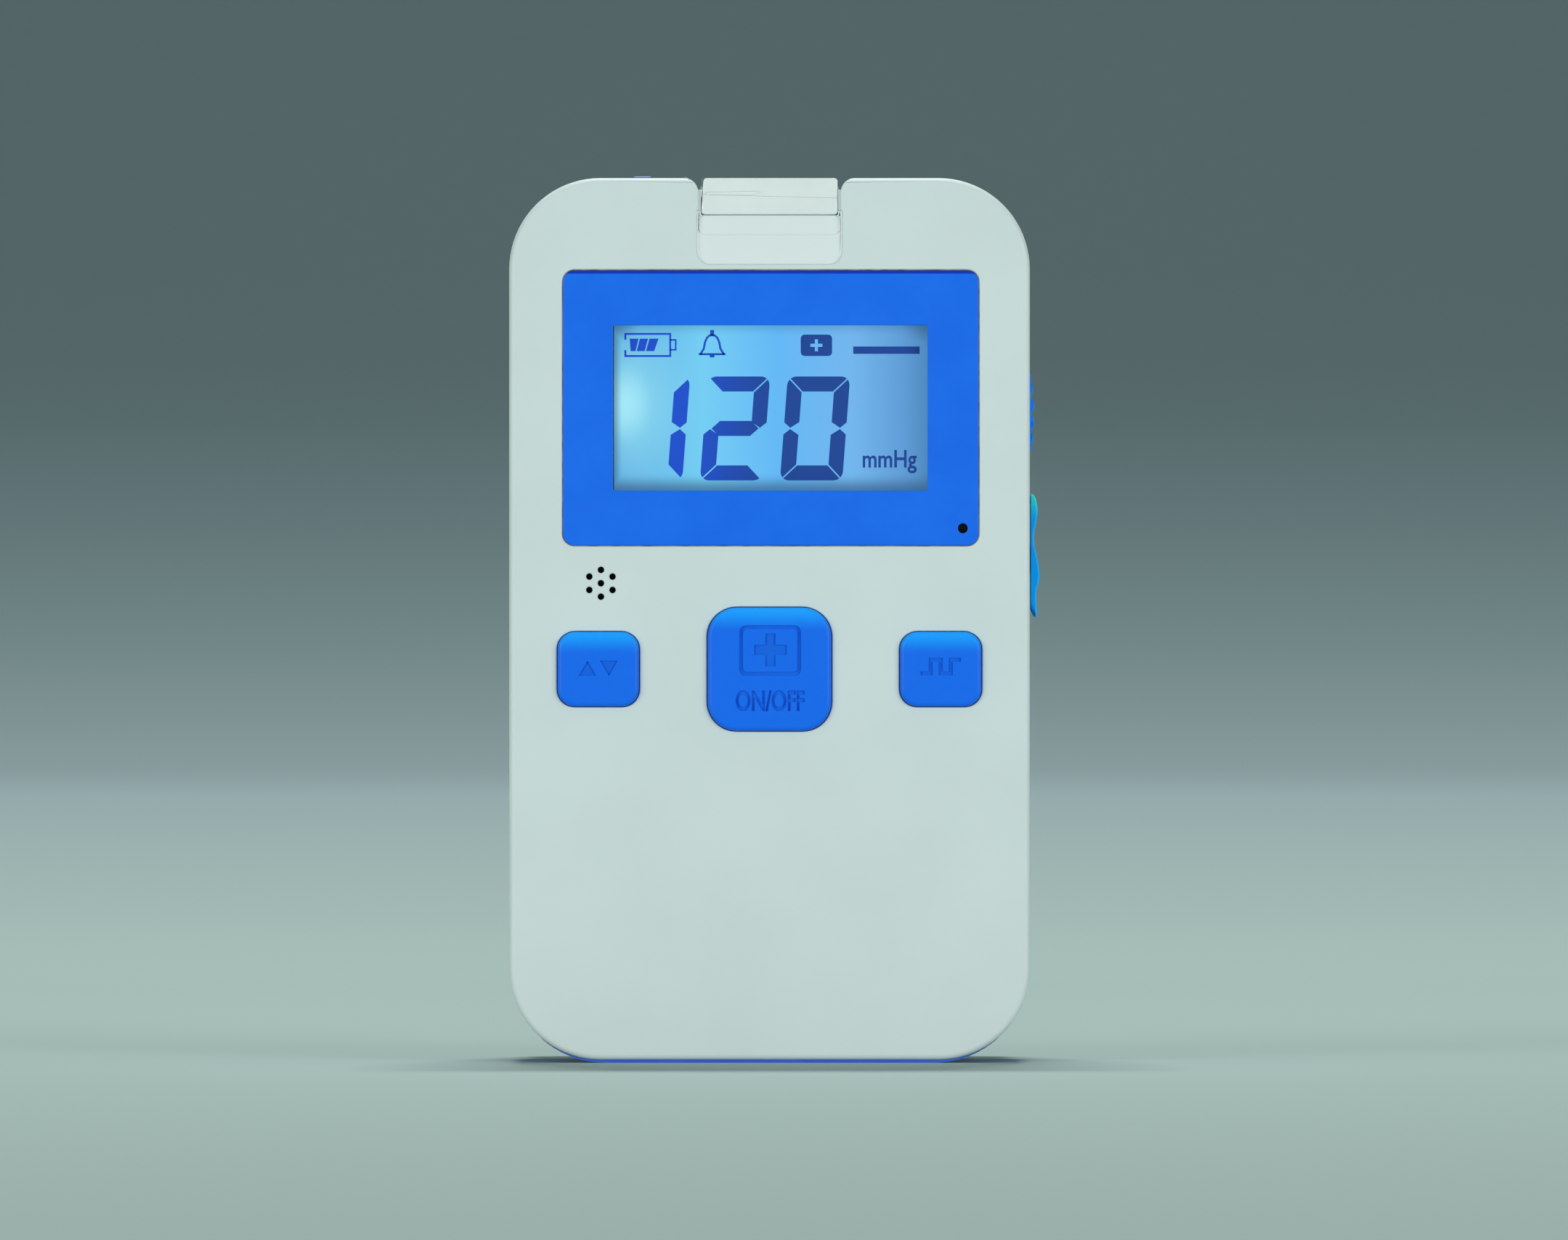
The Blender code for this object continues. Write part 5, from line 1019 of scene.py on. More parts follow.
PORT_BLACK = Finish("socket_black", (24, 25, 28), (30, 31, 34), 0.38, 0.06, mottle=0.002, grain=0.0002,
                    depth=0.00001)
SENSOR_BLACK = Finish("sensor_black", (8, 9, 12), (11, 12, 15), 0.5, 0.04, mottle=0.001, grain=0.0004,
                      depth=0.000003, specular=0.05)
# The figures are bluer towards the left, where the display's lamp sits: a painted glow on the dark ink.
DISPLAY_INK_PAINTED_GLOW = Faded("display_ink_painted_glow", (36, 88, 220), (38, 78, 162), 0.6, 0.05, grain=0.0004,
                    depth=0.000002, specular=0.1, axis=Axis.X, start=-0.014, end=0.002)


def across(half: float, heights: Point, depths: Point) -> Span:
    """A box over the middle plane, between two heights and two depths."""
    return span((-half, depths[0], heights[0]), (half, depths[1], heights[1]))


@dataclass
class Notch:
    """The notch in the top edge and the finger recess under it, as both half casings have them."""

    top_z: float = 0.136
    floor_z: float = 0.131
    rear_floor_z: float = 0.125
    half: float = 0.01095
    flare: float = 0.0022
    band_half: float = 0.0109
    band_bottom_z: float = 0.1272
    band_corner: float = 0.0012
    band_depth: float = 0.0008
    band_rounding: float = 0.0002
    band_slope: float = 0.0002
    lip_z: float = 0.13037
    lip_depth: float = 0.0036
    web_half: float = 0.01052
    web_lean: float = 0.00022
    web_top_z: float = 0.1342
    web_depth: float = 0.0006
    scoop_half: float = 0.0112
    scoop_bottom_z: float = 0.1227
    scoop_corner: float = 0.0021
    scoop_depth: float = 0.0005
    scoop_rounding: float = 0.00035
    steps: int = 8

    def outline(self) -> list[Point]:
        """Finds the points round the notch, whose upper corners flare outwards.

        Returns:
            The points (x, z).
        """
        turns = [QUARTER * step / self.steps for step in range(self.steps + 1)]
        flare = [(self.half + self.flare * (1 - math.cos(turn)),
                  self.top_z - self.flare * (1 - math.sin(turn))) for turn in turns]
        right = [(self.half, self.floor_z), *flare, (self.half + self.flare, self.top_z + OVERRUN)]
        return right + [(-x, z) for x, z in reversed(right)]

    def cutter(self, depths: Point, half: float = 0.0) -> Piece:
        """Makes the solid that opens the notch.

        Args:
            depths: Its front and its back.
            half: Its half width below the top of the web, where it is narrower there.

        Returns:
            The solid.
        """
        outline = self.outline()
        if half:
            outline = [(half, self.floor_z), (half, self.web_top_z), (self.half, self.web_top_z),
                       *outline[1:-1], (-self.half, self.web_top_z),
                       (self.web_lean - half, self.web_top_z), (-half, self.floor_z)]
        return plate("notch_tool", outline, depths)

    def recess(self, front_y: float) -> list[Piece]:
        """Makes the solids that open the recess: the band under the tab, and the scoop round it.

        Args:
            front_y: The front of the casing.

        Returns:
            The solids.
        """
        before, band_y, scoop_y = front_y - OVERRUN, front_y + self.band_depth, front_y + self.scoop_depth
        band = rounded_block("band_tool", across(self.band_half, (self.band_bottom_z, self.lip_z),
                                                 (before, band_y)), self.band_corner, 6)
        round_edges(band, self.band_rounding, 4, at(Axis.Y, band_y))
        for vertex in band.data.vertices:
            if vertex.co.y > front_y:
                low = (self.lip_z - vertex.co.z) / (self.lip_z - self.band_bottom_z)
                vertex.co.y -= self.band_slope * low
        behind = block("lip_tool", across(self.web_half, (self.lip_z - FIT / 4, self.floor_z + OVERRUN),
                                          (before, front_y + self.lip_depth)))
        heights = self.scoop_bottom_z, self.floor_z + 2 * self.scoop_corner
        scoop = rounded_block("scoop_tool", across(self.scoop_half, heights, (before, scoop_y)),
                              self.scoop_corner, 8)
        round_edges(scoop, self.scoop_rounding, 6, at(Axis.Y, scoop_y))
        carve(scoop, [block("scoop_top", across(BEYOND, (self.floor_z, BEYOND), THROUGH))])
        return [band, behind, scoop]


@dataclass
class KeyShape:
    """The plan of one key on the front."""

    name: str
    x: float
    width: float
    height: float
    corner: float

    def plan(self, depths: Point, grow: float = 0.0) -> Span:
        """Its box between two depths."""
        return around(self.x, KEY_ROW_Z, self.width / 2 + grow, self.height / 2 + grow, depths)


KEY_ROW_Z = 0.0605
KEYS = (KeyShape("vacuum_key", -0.0263, 0.0125, 0.0115, 0.0027),
        KeyShape("pump_key", 0.0, 0.019, 0.019, 0.0045),
        KeyShape("mode_key", 0.0263, 0.0125, 0.0115, 0.0027))


@dataclass
class Casing:
    """What the two half casings share: corner, walls, and the places of their screws."""

    corner: float = 0.014
    corner_steps: int = 20
    rim: float = 0.00125
    wall: float = 0.002
    split_y: float = -0.014
    screw_x: float = 0.0312
    screw_low_z: float = 0.0097
    screw_high_z: float = 0.1268
    screw_radius: float = 0.0013
    boss_radius: float = 0.003
    softness: float = 0.00018

    def at_screws(self, name: str, radius: float, depths: Point, sides: int = 24) -> list[Piece]:
        """One rod at the place of each screw."""
        return [rod(name, radius, (x, depths[0], z), depths[1], sides)
                for z in (self.screw_low_z, self.screw_high_z) for x in (-self.screw_x, self.screw_x)]

    def hollow(self, name: str, outer: Span, depths: Point) -> Piece:
        """The space inside the walls between two depths, down to the wall of the base."""
        inner = outer.between(Axis.Z, 0.0, outer.high.z).grown(-self.wall, 0.0, -self.wall)
        return rounded_block(name, inner.between(Axis.Y, *depths), self.corner - self.wall, self.corner_steps)


@dataclass
class FrontCasing(Casing):
    """The pale front half: display pocket, key holes, speaker holes, notch and finger recess."""

    rim: float = 0.0009
    lens_clearance: float = 0.00012
    lens_corner: float = 0.00192
    lens_floor_y: float = -0.0208
    window_low: Point = (-0.02775, 0.0835)
    window_high: Point = (0.02815, 0.1178)
    pilot_depth: float = 0.0038
    speaker: Point = (-0.0259, 0.0737)
    speaker_ring: float = 0.00206
    speaker_hole: float = 0.0005
    key_gap: float = 0.0001
    soft_depth: float = 0.00095
    soft_notch_half: float = 0.0134
    soft_notch_z: float = 0.1226
    soft_notch_y: float = -0.0181

    def build(self) -> None:
        """Shapes and dresses the casing."""
        box = node_span("front_shell")
        notch = Notch()
        front_y = box.low.y
        outside, inside = front_y - OVERRUN, self.split_y + OVERRUN
        through = outside, inside
        shell = rounded_block("front_casing", box, self.corner, self.corner_steps, front=self.rim)
        walls = [block("notch_walls", across(notch.half + self.wall, (notch.floor_z - self.wall,
                                                                      box.high.z + OVERRUN), (outside, 0.0))),
                 block("recess_walls", across(
                     notch.scoop_half + self.wall, (notch.scoop_bottom_z - self.wall, notch.floor_z),
                     (outside, front_y + notch.lip_depth + self.wall)))]
        carve(shell, [carve(self.hollow("front_hollow", box, (front_y + self.wall, inside)), walls)])
        carve(shell, self.at_screws("boss", self.boss_radius,
                                    (front_y + self.wall - FIT, self.split_y), 48), Carve.JOIN)
        lens = node_span("display_lens").grown(self.lens_clearance, 0.0, self.lens_clearance)
        window = span((self.window_low[0], outside, self.window_low[1]),
                      (self.window_high[0], inside, self.window_high[1]))
        carve(shell, [notch.cutter((outside, front_y + notch.web_depth)),
                      notch.cutter(through, notch.web_half), *notch.recess(front_y),
                      rounded_block("lens_pocket", lens.between(Axis.Y, outside, self.lens_floor_y),
                                    self.lens_corner, 8),
                      block("window_tool", window), *self.speaker_holes(through),
                      *[rounded_block("key_tool", key.plan(through, self.key_gap),
                                      key.corner + self.key_gap, 10) for key in KEYS],
                      *self.at_screws("pilot", self.screw_radius,
                                      (self.split_y - self.pilot_depth, inside))])
        soften(shell, self.softness, 3, self.shows)
        put(smooth(shell), "case", "white_shell", WHITE_CASE, "front_shell")
        self.gloss(shell, notch, front_y)

    def shows(self, middle: Vector, way: Vector) -> bool:
        """Whether an edge lies where the front or the notch is seen."""
        return middle.y < FRAME_LOW.y + self.soft_depth or (
            abs(middle.x) < self.soft_notch_half and middle.z > self.soft_notch_z
            and middle.y < self.soft_notch_y)

    def gloss(self, shell: Piece, notch: Notch, front_y: float) -> None:
        """Gives the finger recess its glossier finish, painted lighter than the casing: painted light for the
        light that its faces catch from above.

        Args:
            shell: The casing.
            notch: The notch with its recess.
            front_y: The front of the casing.
        """
        # The recess faces take the painted light.
        shell.data.materials.append(RECESS_PAINTED_LIGHT.material())
        for face in shell.data.polygons:
            middle = face.center
            if (abs(middle.x) < notch.scoop_half + FIT
                    and front_y + FIT / 2 < middle.y < front_y + notch.band_depth + CLOSE
                    and notch.scoop_bottom_z - FIT < middle.z < notch.floor_z + FIT):
                face.material_index = 1

    def speaker_holes(self, depths: Point) -> list[Piece]:
        """Makes one hole in the middle and six round it.

        Args:
            depths: Where each hole starts and ends.

        Returns:
            The tools for the holes.
        """
        x, z = self.speaker
        places = [(x, z)] + [(x + self.speaker_ring * math.sin(turn), z + self.speaker_ring * math.cos(turn))
                             for turn in (math.pi / 3 * count for count in range(6))]
        return [rod("speaker_tool", self.speaker_hole, (x, depths[0], z), depths[1], 28) for x, z in places]


@dataclass
class RearCasing(Casing):
    """The blue rear half with the rails for the canister, and the openings in its right side."""

    corner: float = 0.01475
    draft_share: float = 0.0055
    back_y: float = 0.006
    sill_y: float = -0.0212
    sill_top_z: float = 0.0075
    sill_gap: float = 0.00002
    rail_x: float = 0.033
    rail_neck: float = 0.001
    rail_head: float = 0.002
    rail_rounding: float = 0.0002
    rail_neck_depth: float = 0.0014
    rail_low_z: float = 0.0125
    rail_high_z: float = 0.048
    rail_end_y: float = 0.0086
    side_low_x: float = 0.036
    side_high_x: float = 0.043
    slot_half: float = 0.0029
    slot_low_z: float = 0.0938
    slot_high_z: float = 0.1094
    opening_corner: float = 0.0004
    socket_radius: float = 0.0038
    post_radius: float = 0.00095
    lamp_half: float = 0.0017
    lamp_low_z: float = 0.132
    lamp_high_z: float = 0.138
    port_radius: float = 0.0021
    port_y: float = -0.00285
    port_low_z: float = 0.12
    port_high_z: float = 0.13
    head_radius: float = 0.0023
    head_floor_y: float = 0.0028
    soft_x: float = 0.0395
    soft_y: float = -0.0130
    soft_back_y: float = 0.0059
    soft_top_z: float = 0.1355

    def build(self) -> None:
        """Shapes and dresses the casing."""
        box, plan = node_span("rear_shell"), node_span("front_shell")
        notch = Notch()
        through = box.low.y - OVERRUN, self.back_y + OVERRUN
        shell = self.drafted(rounded_block(
            "rear_casing", box.between(Axis.Y, box.low.y, self.back_y), self.corner, self.corner_steps,
            back=self.rim))
        walls = across(notch.half + self.wall, (notch.rear_floor_z - self.wall, box.high.z + OVERRUN),
                       (through[0] - OVERRUN, through[1]))
        hollow = self.hollow("rear_hollow", plan, (through[0], self.back_y - self.wall))
        carve(shell, [carve(hollow, [block("notch_walls", walls)])])
        carve(shell, self.at_screws("boss", self.boss_radius, (box.low.y, self.back_y - self.wall + FIT), 48)
              + self.rails(), Carve.JOIN)
        sill = self.drafted(rounded_block("sill", box.between(Axis.Y, self.sill_y, box.low.y + FIT),
                                          self.corner, self.corner_steps))
        carve(sill, [rounded_block("sill_tool", plan.grown(self.sill_gap, OVERRUN * 5, self.sill_gap),
                                   Casing.corner, self.corner_steps),
                     block("sill_top", across(BEYOND, (self.sill_top_z, BEYOND), THROUGH))])
        carve(shell, [sill], Carve.JOIN)
        deep = across(notch.half, (notch.rear_floor_z, notch.floor_z + OVERRUN),
                      (box.low.y + self.wall, through[1]))
        carve(shell, [notch.cutter(through), block("deep_notch", deep), *self.side_openings(),
                      *self.at_screws("screw_way", self.screw_radius, through),
                      *self.at_screws("screw_sink", self.head_radius, (self.head_floor_y, through[1]), 32)])
        soften(shell, self.softness, 3, self.shows)
        put(smooth(shell), "case", "blue_shell", BLUE_CASE, "rear_shell")

    def drafted(self, piece: Piece) -> Piece:
        """Makes a piece a little narrower.

        Args:
            piece: The piece.

        Returns:
            The same piece.
        """
        for vertex in piece.data.vertices:
            vertex.co.x *= 1 - self.draft_share
        return piece

    def shows(self, middle: Vector, way: Vector) -> bool:
        """Whether an edge lies on the outside of the back, of the sides or of the top."""
        return middle.y > self.soft_back_y or (middle.y > self.soft_y and (
            abs(middle.x) > self.soft_x or middle.z > self.soft_top_z))

    def rail(self, x: float, half: float, depths: Point) -> Span:
        """The box of a rail's neck or head."""
        return span((x - half, depths[0], self.rail_low_z), (x + half, depths[1], self.rail_high_z))

    def rails(self) -> list[Piece]:
        """Makes the two T rails that the canister slides on, each a neck and a head.

        Returns:
            The pieces of the rails.
        """
        head_y = self.back_y + self.rail_neck_depth
        pieces = []
        for x in (-self.rail_x, self.rail_x):
            pieces += [block("rail_neck", self.rail(x, self.rail_neck,
                                                    (self.back_y - FIT, head_y + FIT / 2))),
                       rounded_block("rail_head", self.rail(x, self.rail_head, (head_y, self.rail_end_y)),
                                     self.rail_rounding, 2, axis=Axis.Z)]
        return pieces

    def side_openings(self) -> list[Piece]:
        """Makes the slot of the slider, the window of the socket, and the holes of post, lamp and port.

        Returns:
            The tools for the openings.
        """
        x, y, lamp = self.side_low_x, SIDE_Y, node_span("status_lamp")
        lamp = Span(lamp.centre, lamp.centre).grown(self.lamp_half, self.lamp_half)
        slot = span((x, y - self.slot_half, self.slot_low_z),
                    (self.side_high_x, y + self.slot_half, self.slot_high_z))
        return [rounded_block("slot_tool", slot, self.opening_corner, 3, axis=Axis.X),
                rod("socket_tool", self.socket_radius, (x, y, PLUG_Z), self.side_high_x, 48, Axis.X),
                rod("post_tool", self.post_radius, (x, y, POST_Z), self.side_high_x, 24, Axis.X),
                rounded_block("lamp_tool", lamp.between(Axis.Z, self.lamp_low_z, self.lamp_high_z),
                              self.opening_corner, 3, axis=Axis.Z),
                rod("port_tool", self.port_radius, (0.0, self.port_y, self.port_low_z), self.port_high_z,
                    32, Axis.Z)]


def plus(x: float, z: float, arm: float, half: float, depths: Point) -> list[Piece]:
    """The two bars of a plus, with arms of that length and half thickness."""
    return [block("plus_across", around(x, z, arm, half, depths)),
            block("plus_up", around(x, z, half, arm, depths))]


@dataclass
class Ink:
    """The dark marks of the display, as thin plates just in front of its glass."""

    depths: Point = (-0.01977, -0.01972)
    last_x: float = 0.0016
    foot_z: float = 0.08952
    width: float = 0.0096
    height: float = 0.016
    pitch: float = 0.0123
    stroke: float = 0.00232
    gap: float = 0.0001
    corner: float = 0.0014
    tip_share: float = 0.42
    heel_share: float = 0.4
    slant_share: float = 0.075
    line: float = 0.0003
    battery_low: Point = (-0.02216, 0.10866)
    battery_high: Point = (-0.01526, 0.11206)
    battery_tick: float = 0.0009
    nub: Place = (0.00084, 0.00096, 0.00092)
    nub_line: float = 0.00025
    charge_low_z: float = 0.10941
    charge_high_z: float = 0.11134
    charges: tuple[tuple[float, float, float, float], ...] = (
        (-0.02135, -0.0206, -0.02012, -0.0215), (-0.02043, -0.01918, -0.01867, -0.01992),
        (-0.019, -0.01773, -0.01706, -0.01846))
    bell: Point = (-0.00882, 0.10894)
    bell_side: Points = ((0.0018, 0.0), (0.00128, 0.00085), (0.00108, 0.0019),
                                    (0.00078, 0.00255), (0.00036, 0.0029))
    bell_line: float = 0.00032
    bell_foot: float = 0.00205
    stem: Place = (0.0003, 0.0029, 0.00372)
    clapper: Place = (0.00036, -0.0005, -0.0001)
    tile_low: Point = (0.0048, 0.10866)
    tile_high: Point = (0.00962, 0.11196)
    tile_corner: float = 0.0006
    plus_arm: float = 0.00092
    plus_half: float = 0.00024
    unit_size: float = 0.0038
    unit_bold: float = 0.00006
    unit_low: Point = (0.0142, 0.09156)
    unit_width: float = 0.0083
    dash_low: Point = (0.01287, 0.10899)
    dash_high: Point = (0.02308, 0.11013)

    def bars(self) -> dict[str, list[Point]]:
        """Finds the outlines of a figure's bars, from its lower left corner.

        Returns:
            The points of each bar, under its usual letter.
        """
        w, t, g, r, top = self.width, self.stroke, self.gap, self.corner, self.height
        half, slip, tip = top / 2, g / math.sqrt(2), self.tip_share * t
        arc = [(w - r + r * math.sin(turn), top - r + r * math.cos(turn))
               for turn in (math.pi / 16 * step for step in range(9))]
        x, z = arc[4]
        end = arc[:4] + [(x - slip, z + slip), (w - t - 2 * slip, top - t)]
        right = [(x + slip, z - slip), *arc[5:], (w, half + self.heel_share * t), (w - tip, half + g),
                 (w - t, half + tip), (w - t, top - t - 2 * slip)]
        upper = {"a": end + [(w - x, z) for x, z in reversed(end)], "b": right,
                 "f": [(w - x, z) for x, z in right]}
        lower = {low: [(x, top - z) for x, z in upper[high]] for low, high in ("da", "cb", "ef")}
        middle = [(tip + 2 * g, half), (t + g, half + t / 2), (w - t - g, half + t / 2),
                  (w - tip - 2 * g, half), (w - t - g, half - t / 2), (t + g, half - t / 2)]
        return {**upper, **lower, "g": middle}

    def figures(self) -> list[Piece]:
        """Draws the pressure, with the lit bars of each figure leaned to the right.

        Returns:
            One plate for each lit bar.
        """
        bars, sheets = self.bars(), []
        for place, lit in enumerate(("bc", "abged", "abcdef"), start=-2):
            left = self.last_x + place * self.pitch
            sheets += [self.sheet([(left + x + z * self.slant_share, z + self.foot_z) for x, z in bars[key]])
                       for key in lit]
        return sheets

    def sheet(self, outline: Points) -> Piece:
        """A flat mark from its outline."""
        return plate("mark", outline, self.depths)

    def tile(self, low: Point, high: Point, corner: float = 0.0) -> Piece:
        """A rectangular mark, with rounded corners where there is a radius."""
        extent = span((low[0], self.depths[0], low[1]), (high[0], self.depths[1], high[1]))
        return rounded_block("mark", extent, corner, 5) if corner else block("mark", extent)

    def battery(self) -> list[Piece]:
        """Draws the battery sign: an outline open on its left, a nub, and a charge of three bars.

        Returns:
            Its marks.
        """
        (left, low), (right, high), tick = self.battery_low, self.battery_high, self.battery_tick
        out, under, over = self.nub
        shell = [(left, high - tick), (left, high), (right, high), (right, low), (left, low),
                 (left, low + tick)]
        nub = [(right, low + under), (right + out, low + under), (right + out, high - over),
               (right, high - over)]
        heights = self.charge_low_z, self.charge_low_z, self.charge_high_z, self.charge_high_z
        return [self.sheet(ribbon(shell, self.line)), self.sheet(ribbon(nub, self.nub_line)),
                *[self.sheet(list(zip(charge, heights))) for charge in self.charges]]

    def alarm(self) -> list[Piece]:
        """Draws the outlined alarm bell with its clapper.

        Returns:
            Its marks.
        """
        x, foot = self.bell
        dome = [(x - out, foot + rise) for out, rise in self.bell_side]
        dome += [(x + out, foot + rise) for out, rise in reversed(self.bell_side)]
        base = [(x - self.bell_foot, foot), (x + self.bell_foot, foot)]
        marks = [self.tile((x - half, foot + low), (x + half, foot + high))
                 for half, low, high in (self.stem, self.clapper)]
        return marks + [self.sheet(ribbon(line, self.bell_line)) for line in (base, dome)]

    def mode(self) -> Piece:
        """A filled tile with a plus cut out of it."""
        middle = [(low + high) / 2 for low, high in zip(self.tile_low, self.tile_high)]
        return carve(self.tile(self.tile_low, self.tile_high, self.tile_corner),
                     plus(*middle, self.plus_arm, self.plus_half, THROUGH))

    def unit(self) -> Piece:
        """Writes the unit of pressure beside the figures.

        Returns:
            The letters.
        """
        depth = (self.depths[1] - self.depths[0]) / 2
        letters = lettering("mmHg", self.unit_size, depth, self.unit_bold, 6)
        ends = [vertex.co.x for vertex in letters.data.vertices]
        stretch = Matrix.Scale(self.unit_width / (max(ends) - min(ends)), 4, (1, 0, 0))
        place = Matrix.Translation((self.unit_low[0], self.depths[0] + depth, self.unit_low[1]))
        letters.data.transform(place @ Matrix.Rotation(QUARTER, 4, "X") @ stretch)
        return letters

    def build(self) -> None:
        """Joins all marks into one piece."""
        marks = [*self.figures(), *self.battery(), *self.alarm(), self.mode(), self.unit(),
                 self.tile(self.dash_low, self.dash_high)]
        deselect()
        for mark in marks:
            mark.select_set(True)
        bpy.context.view_layer.objects.active = marks[0]
        bpy.ops.object.join()
        # The figures' finish carries a painted glow, bluer towards the lamp.
        put(settle(bpy.context.object, "display_figures"), "case", "display_glass", DISPLAY_INK_PAINTED_GLOW)


@dataclass
class Display:
    """The printed window and what shows through it."""

    corner: float = 0.0018
    bevel: float = 0.00022
    border_softness: float = 0.00016
    window_half: Point = (0.02415, 0.0127)
    window_x: float = 0.00013
    window_corner: float = 0.0003
    pane_gap: float = 0.00002
    pane_depths: Point = (-0.0217, -0.02115)
    pane_softness: float = 0.0001
    seam: float = 0.00011
    seam_depths: Point = (-0.02185, -0.02088)
    sensor: Point = (0.0297, 0.08215)
    sensor_hole: float = 0.00075
    sensor_radius: float = 0.00065
    sensor_rounding: float = 0.0003

    def window(self, name: str, depths: Point, grow: float = 0.0) -> Piece:
        """The clear part of the window as a solid between two depths."""
        plan = around(self.window_x, node_span("display_lens").centre.z, *self.window_half, depths)
        return rounded_block(name, plan.grown(grow, 0.0, grow), self.window_corner, 3)

    def build(self) -> None:
        """Builds the border, the clear pane, the bead in the seam, the sensor and the marks."""
        box, sensor = node_span("display_lens"), node_span("light_sensor")
        front_y, (x, z) = box.low.y, self.sensor
        border = rounded_block("lens_border", box, self.corner, 8)
        round_edges(border, self.bevel, 3, at(Axis.Y, front_y))
        carve(border, [self.window("pane_tool", THROUGH),
                       rod("sensor_tool", self.sensor_hole, (x, THROUGH[0], z), THROUGH[1], 32)])
        soften(border, self.border_softness, 2, lambda middle, way: middle.y < front_y + 2 * CLOSE)
        # The border's top edge carries a band of painted shade.
        put(smooth(border), "case", "window_blue", PRINTED_BLUE_TOP_SHADE, "display_lens")
        pane = soften(self.window("window_pane", self.pane_depths, -self.pane_gap), self.pane_softness)
        put(smooth(pane), "case", "clear_plastic", WINDOW_CLEAR)
        # The bead fills the seam with painted shade and glints.
        seam = box.grown(self.seam, 0.0, self.seam).between(Axis.Y, *self.seam_depths)
        bead = rounded_block("lens_seam_bead", seam, self.corner + self.seam, 8)
        carve(bead, [rounded_block("seam_tool", box.between(Axis.Y, *THROUGH).grown(CLOSE, 0.0, CLOSE),
                                   self.corner, 8)])
        put(smooth(bead), "case", "window_blue", SEAM_SHADE_AND_GLINT)
        dome = rod("sensor_dome", self.sensor_radius, (x, sensor.low.y, z), sensor.high.y, 40)
        round_edges(dome, self.sensor_rounding, 5, at(Axis.Y, sensor.low.y))
        put(smooth(dome), "case", "black_plastic", SENSOR_BLACK, "light_sensor")
        dress_node("lcd_panel", LitDisplay(
            "lit_display", (140, 205, 235), (110, 170, 210), 0.35, 0.03, grain=0.0006, depth=0.000002,
            middle_x=box.centre.x, middle_z=box.centre.z))
        Ink().build()


class Mark(Enum):
    """The engraved sign of a key."""

    UP_DOWN = "vacuum_key"
    PLUS = "pump_key"
    PULSE = "mode_key"


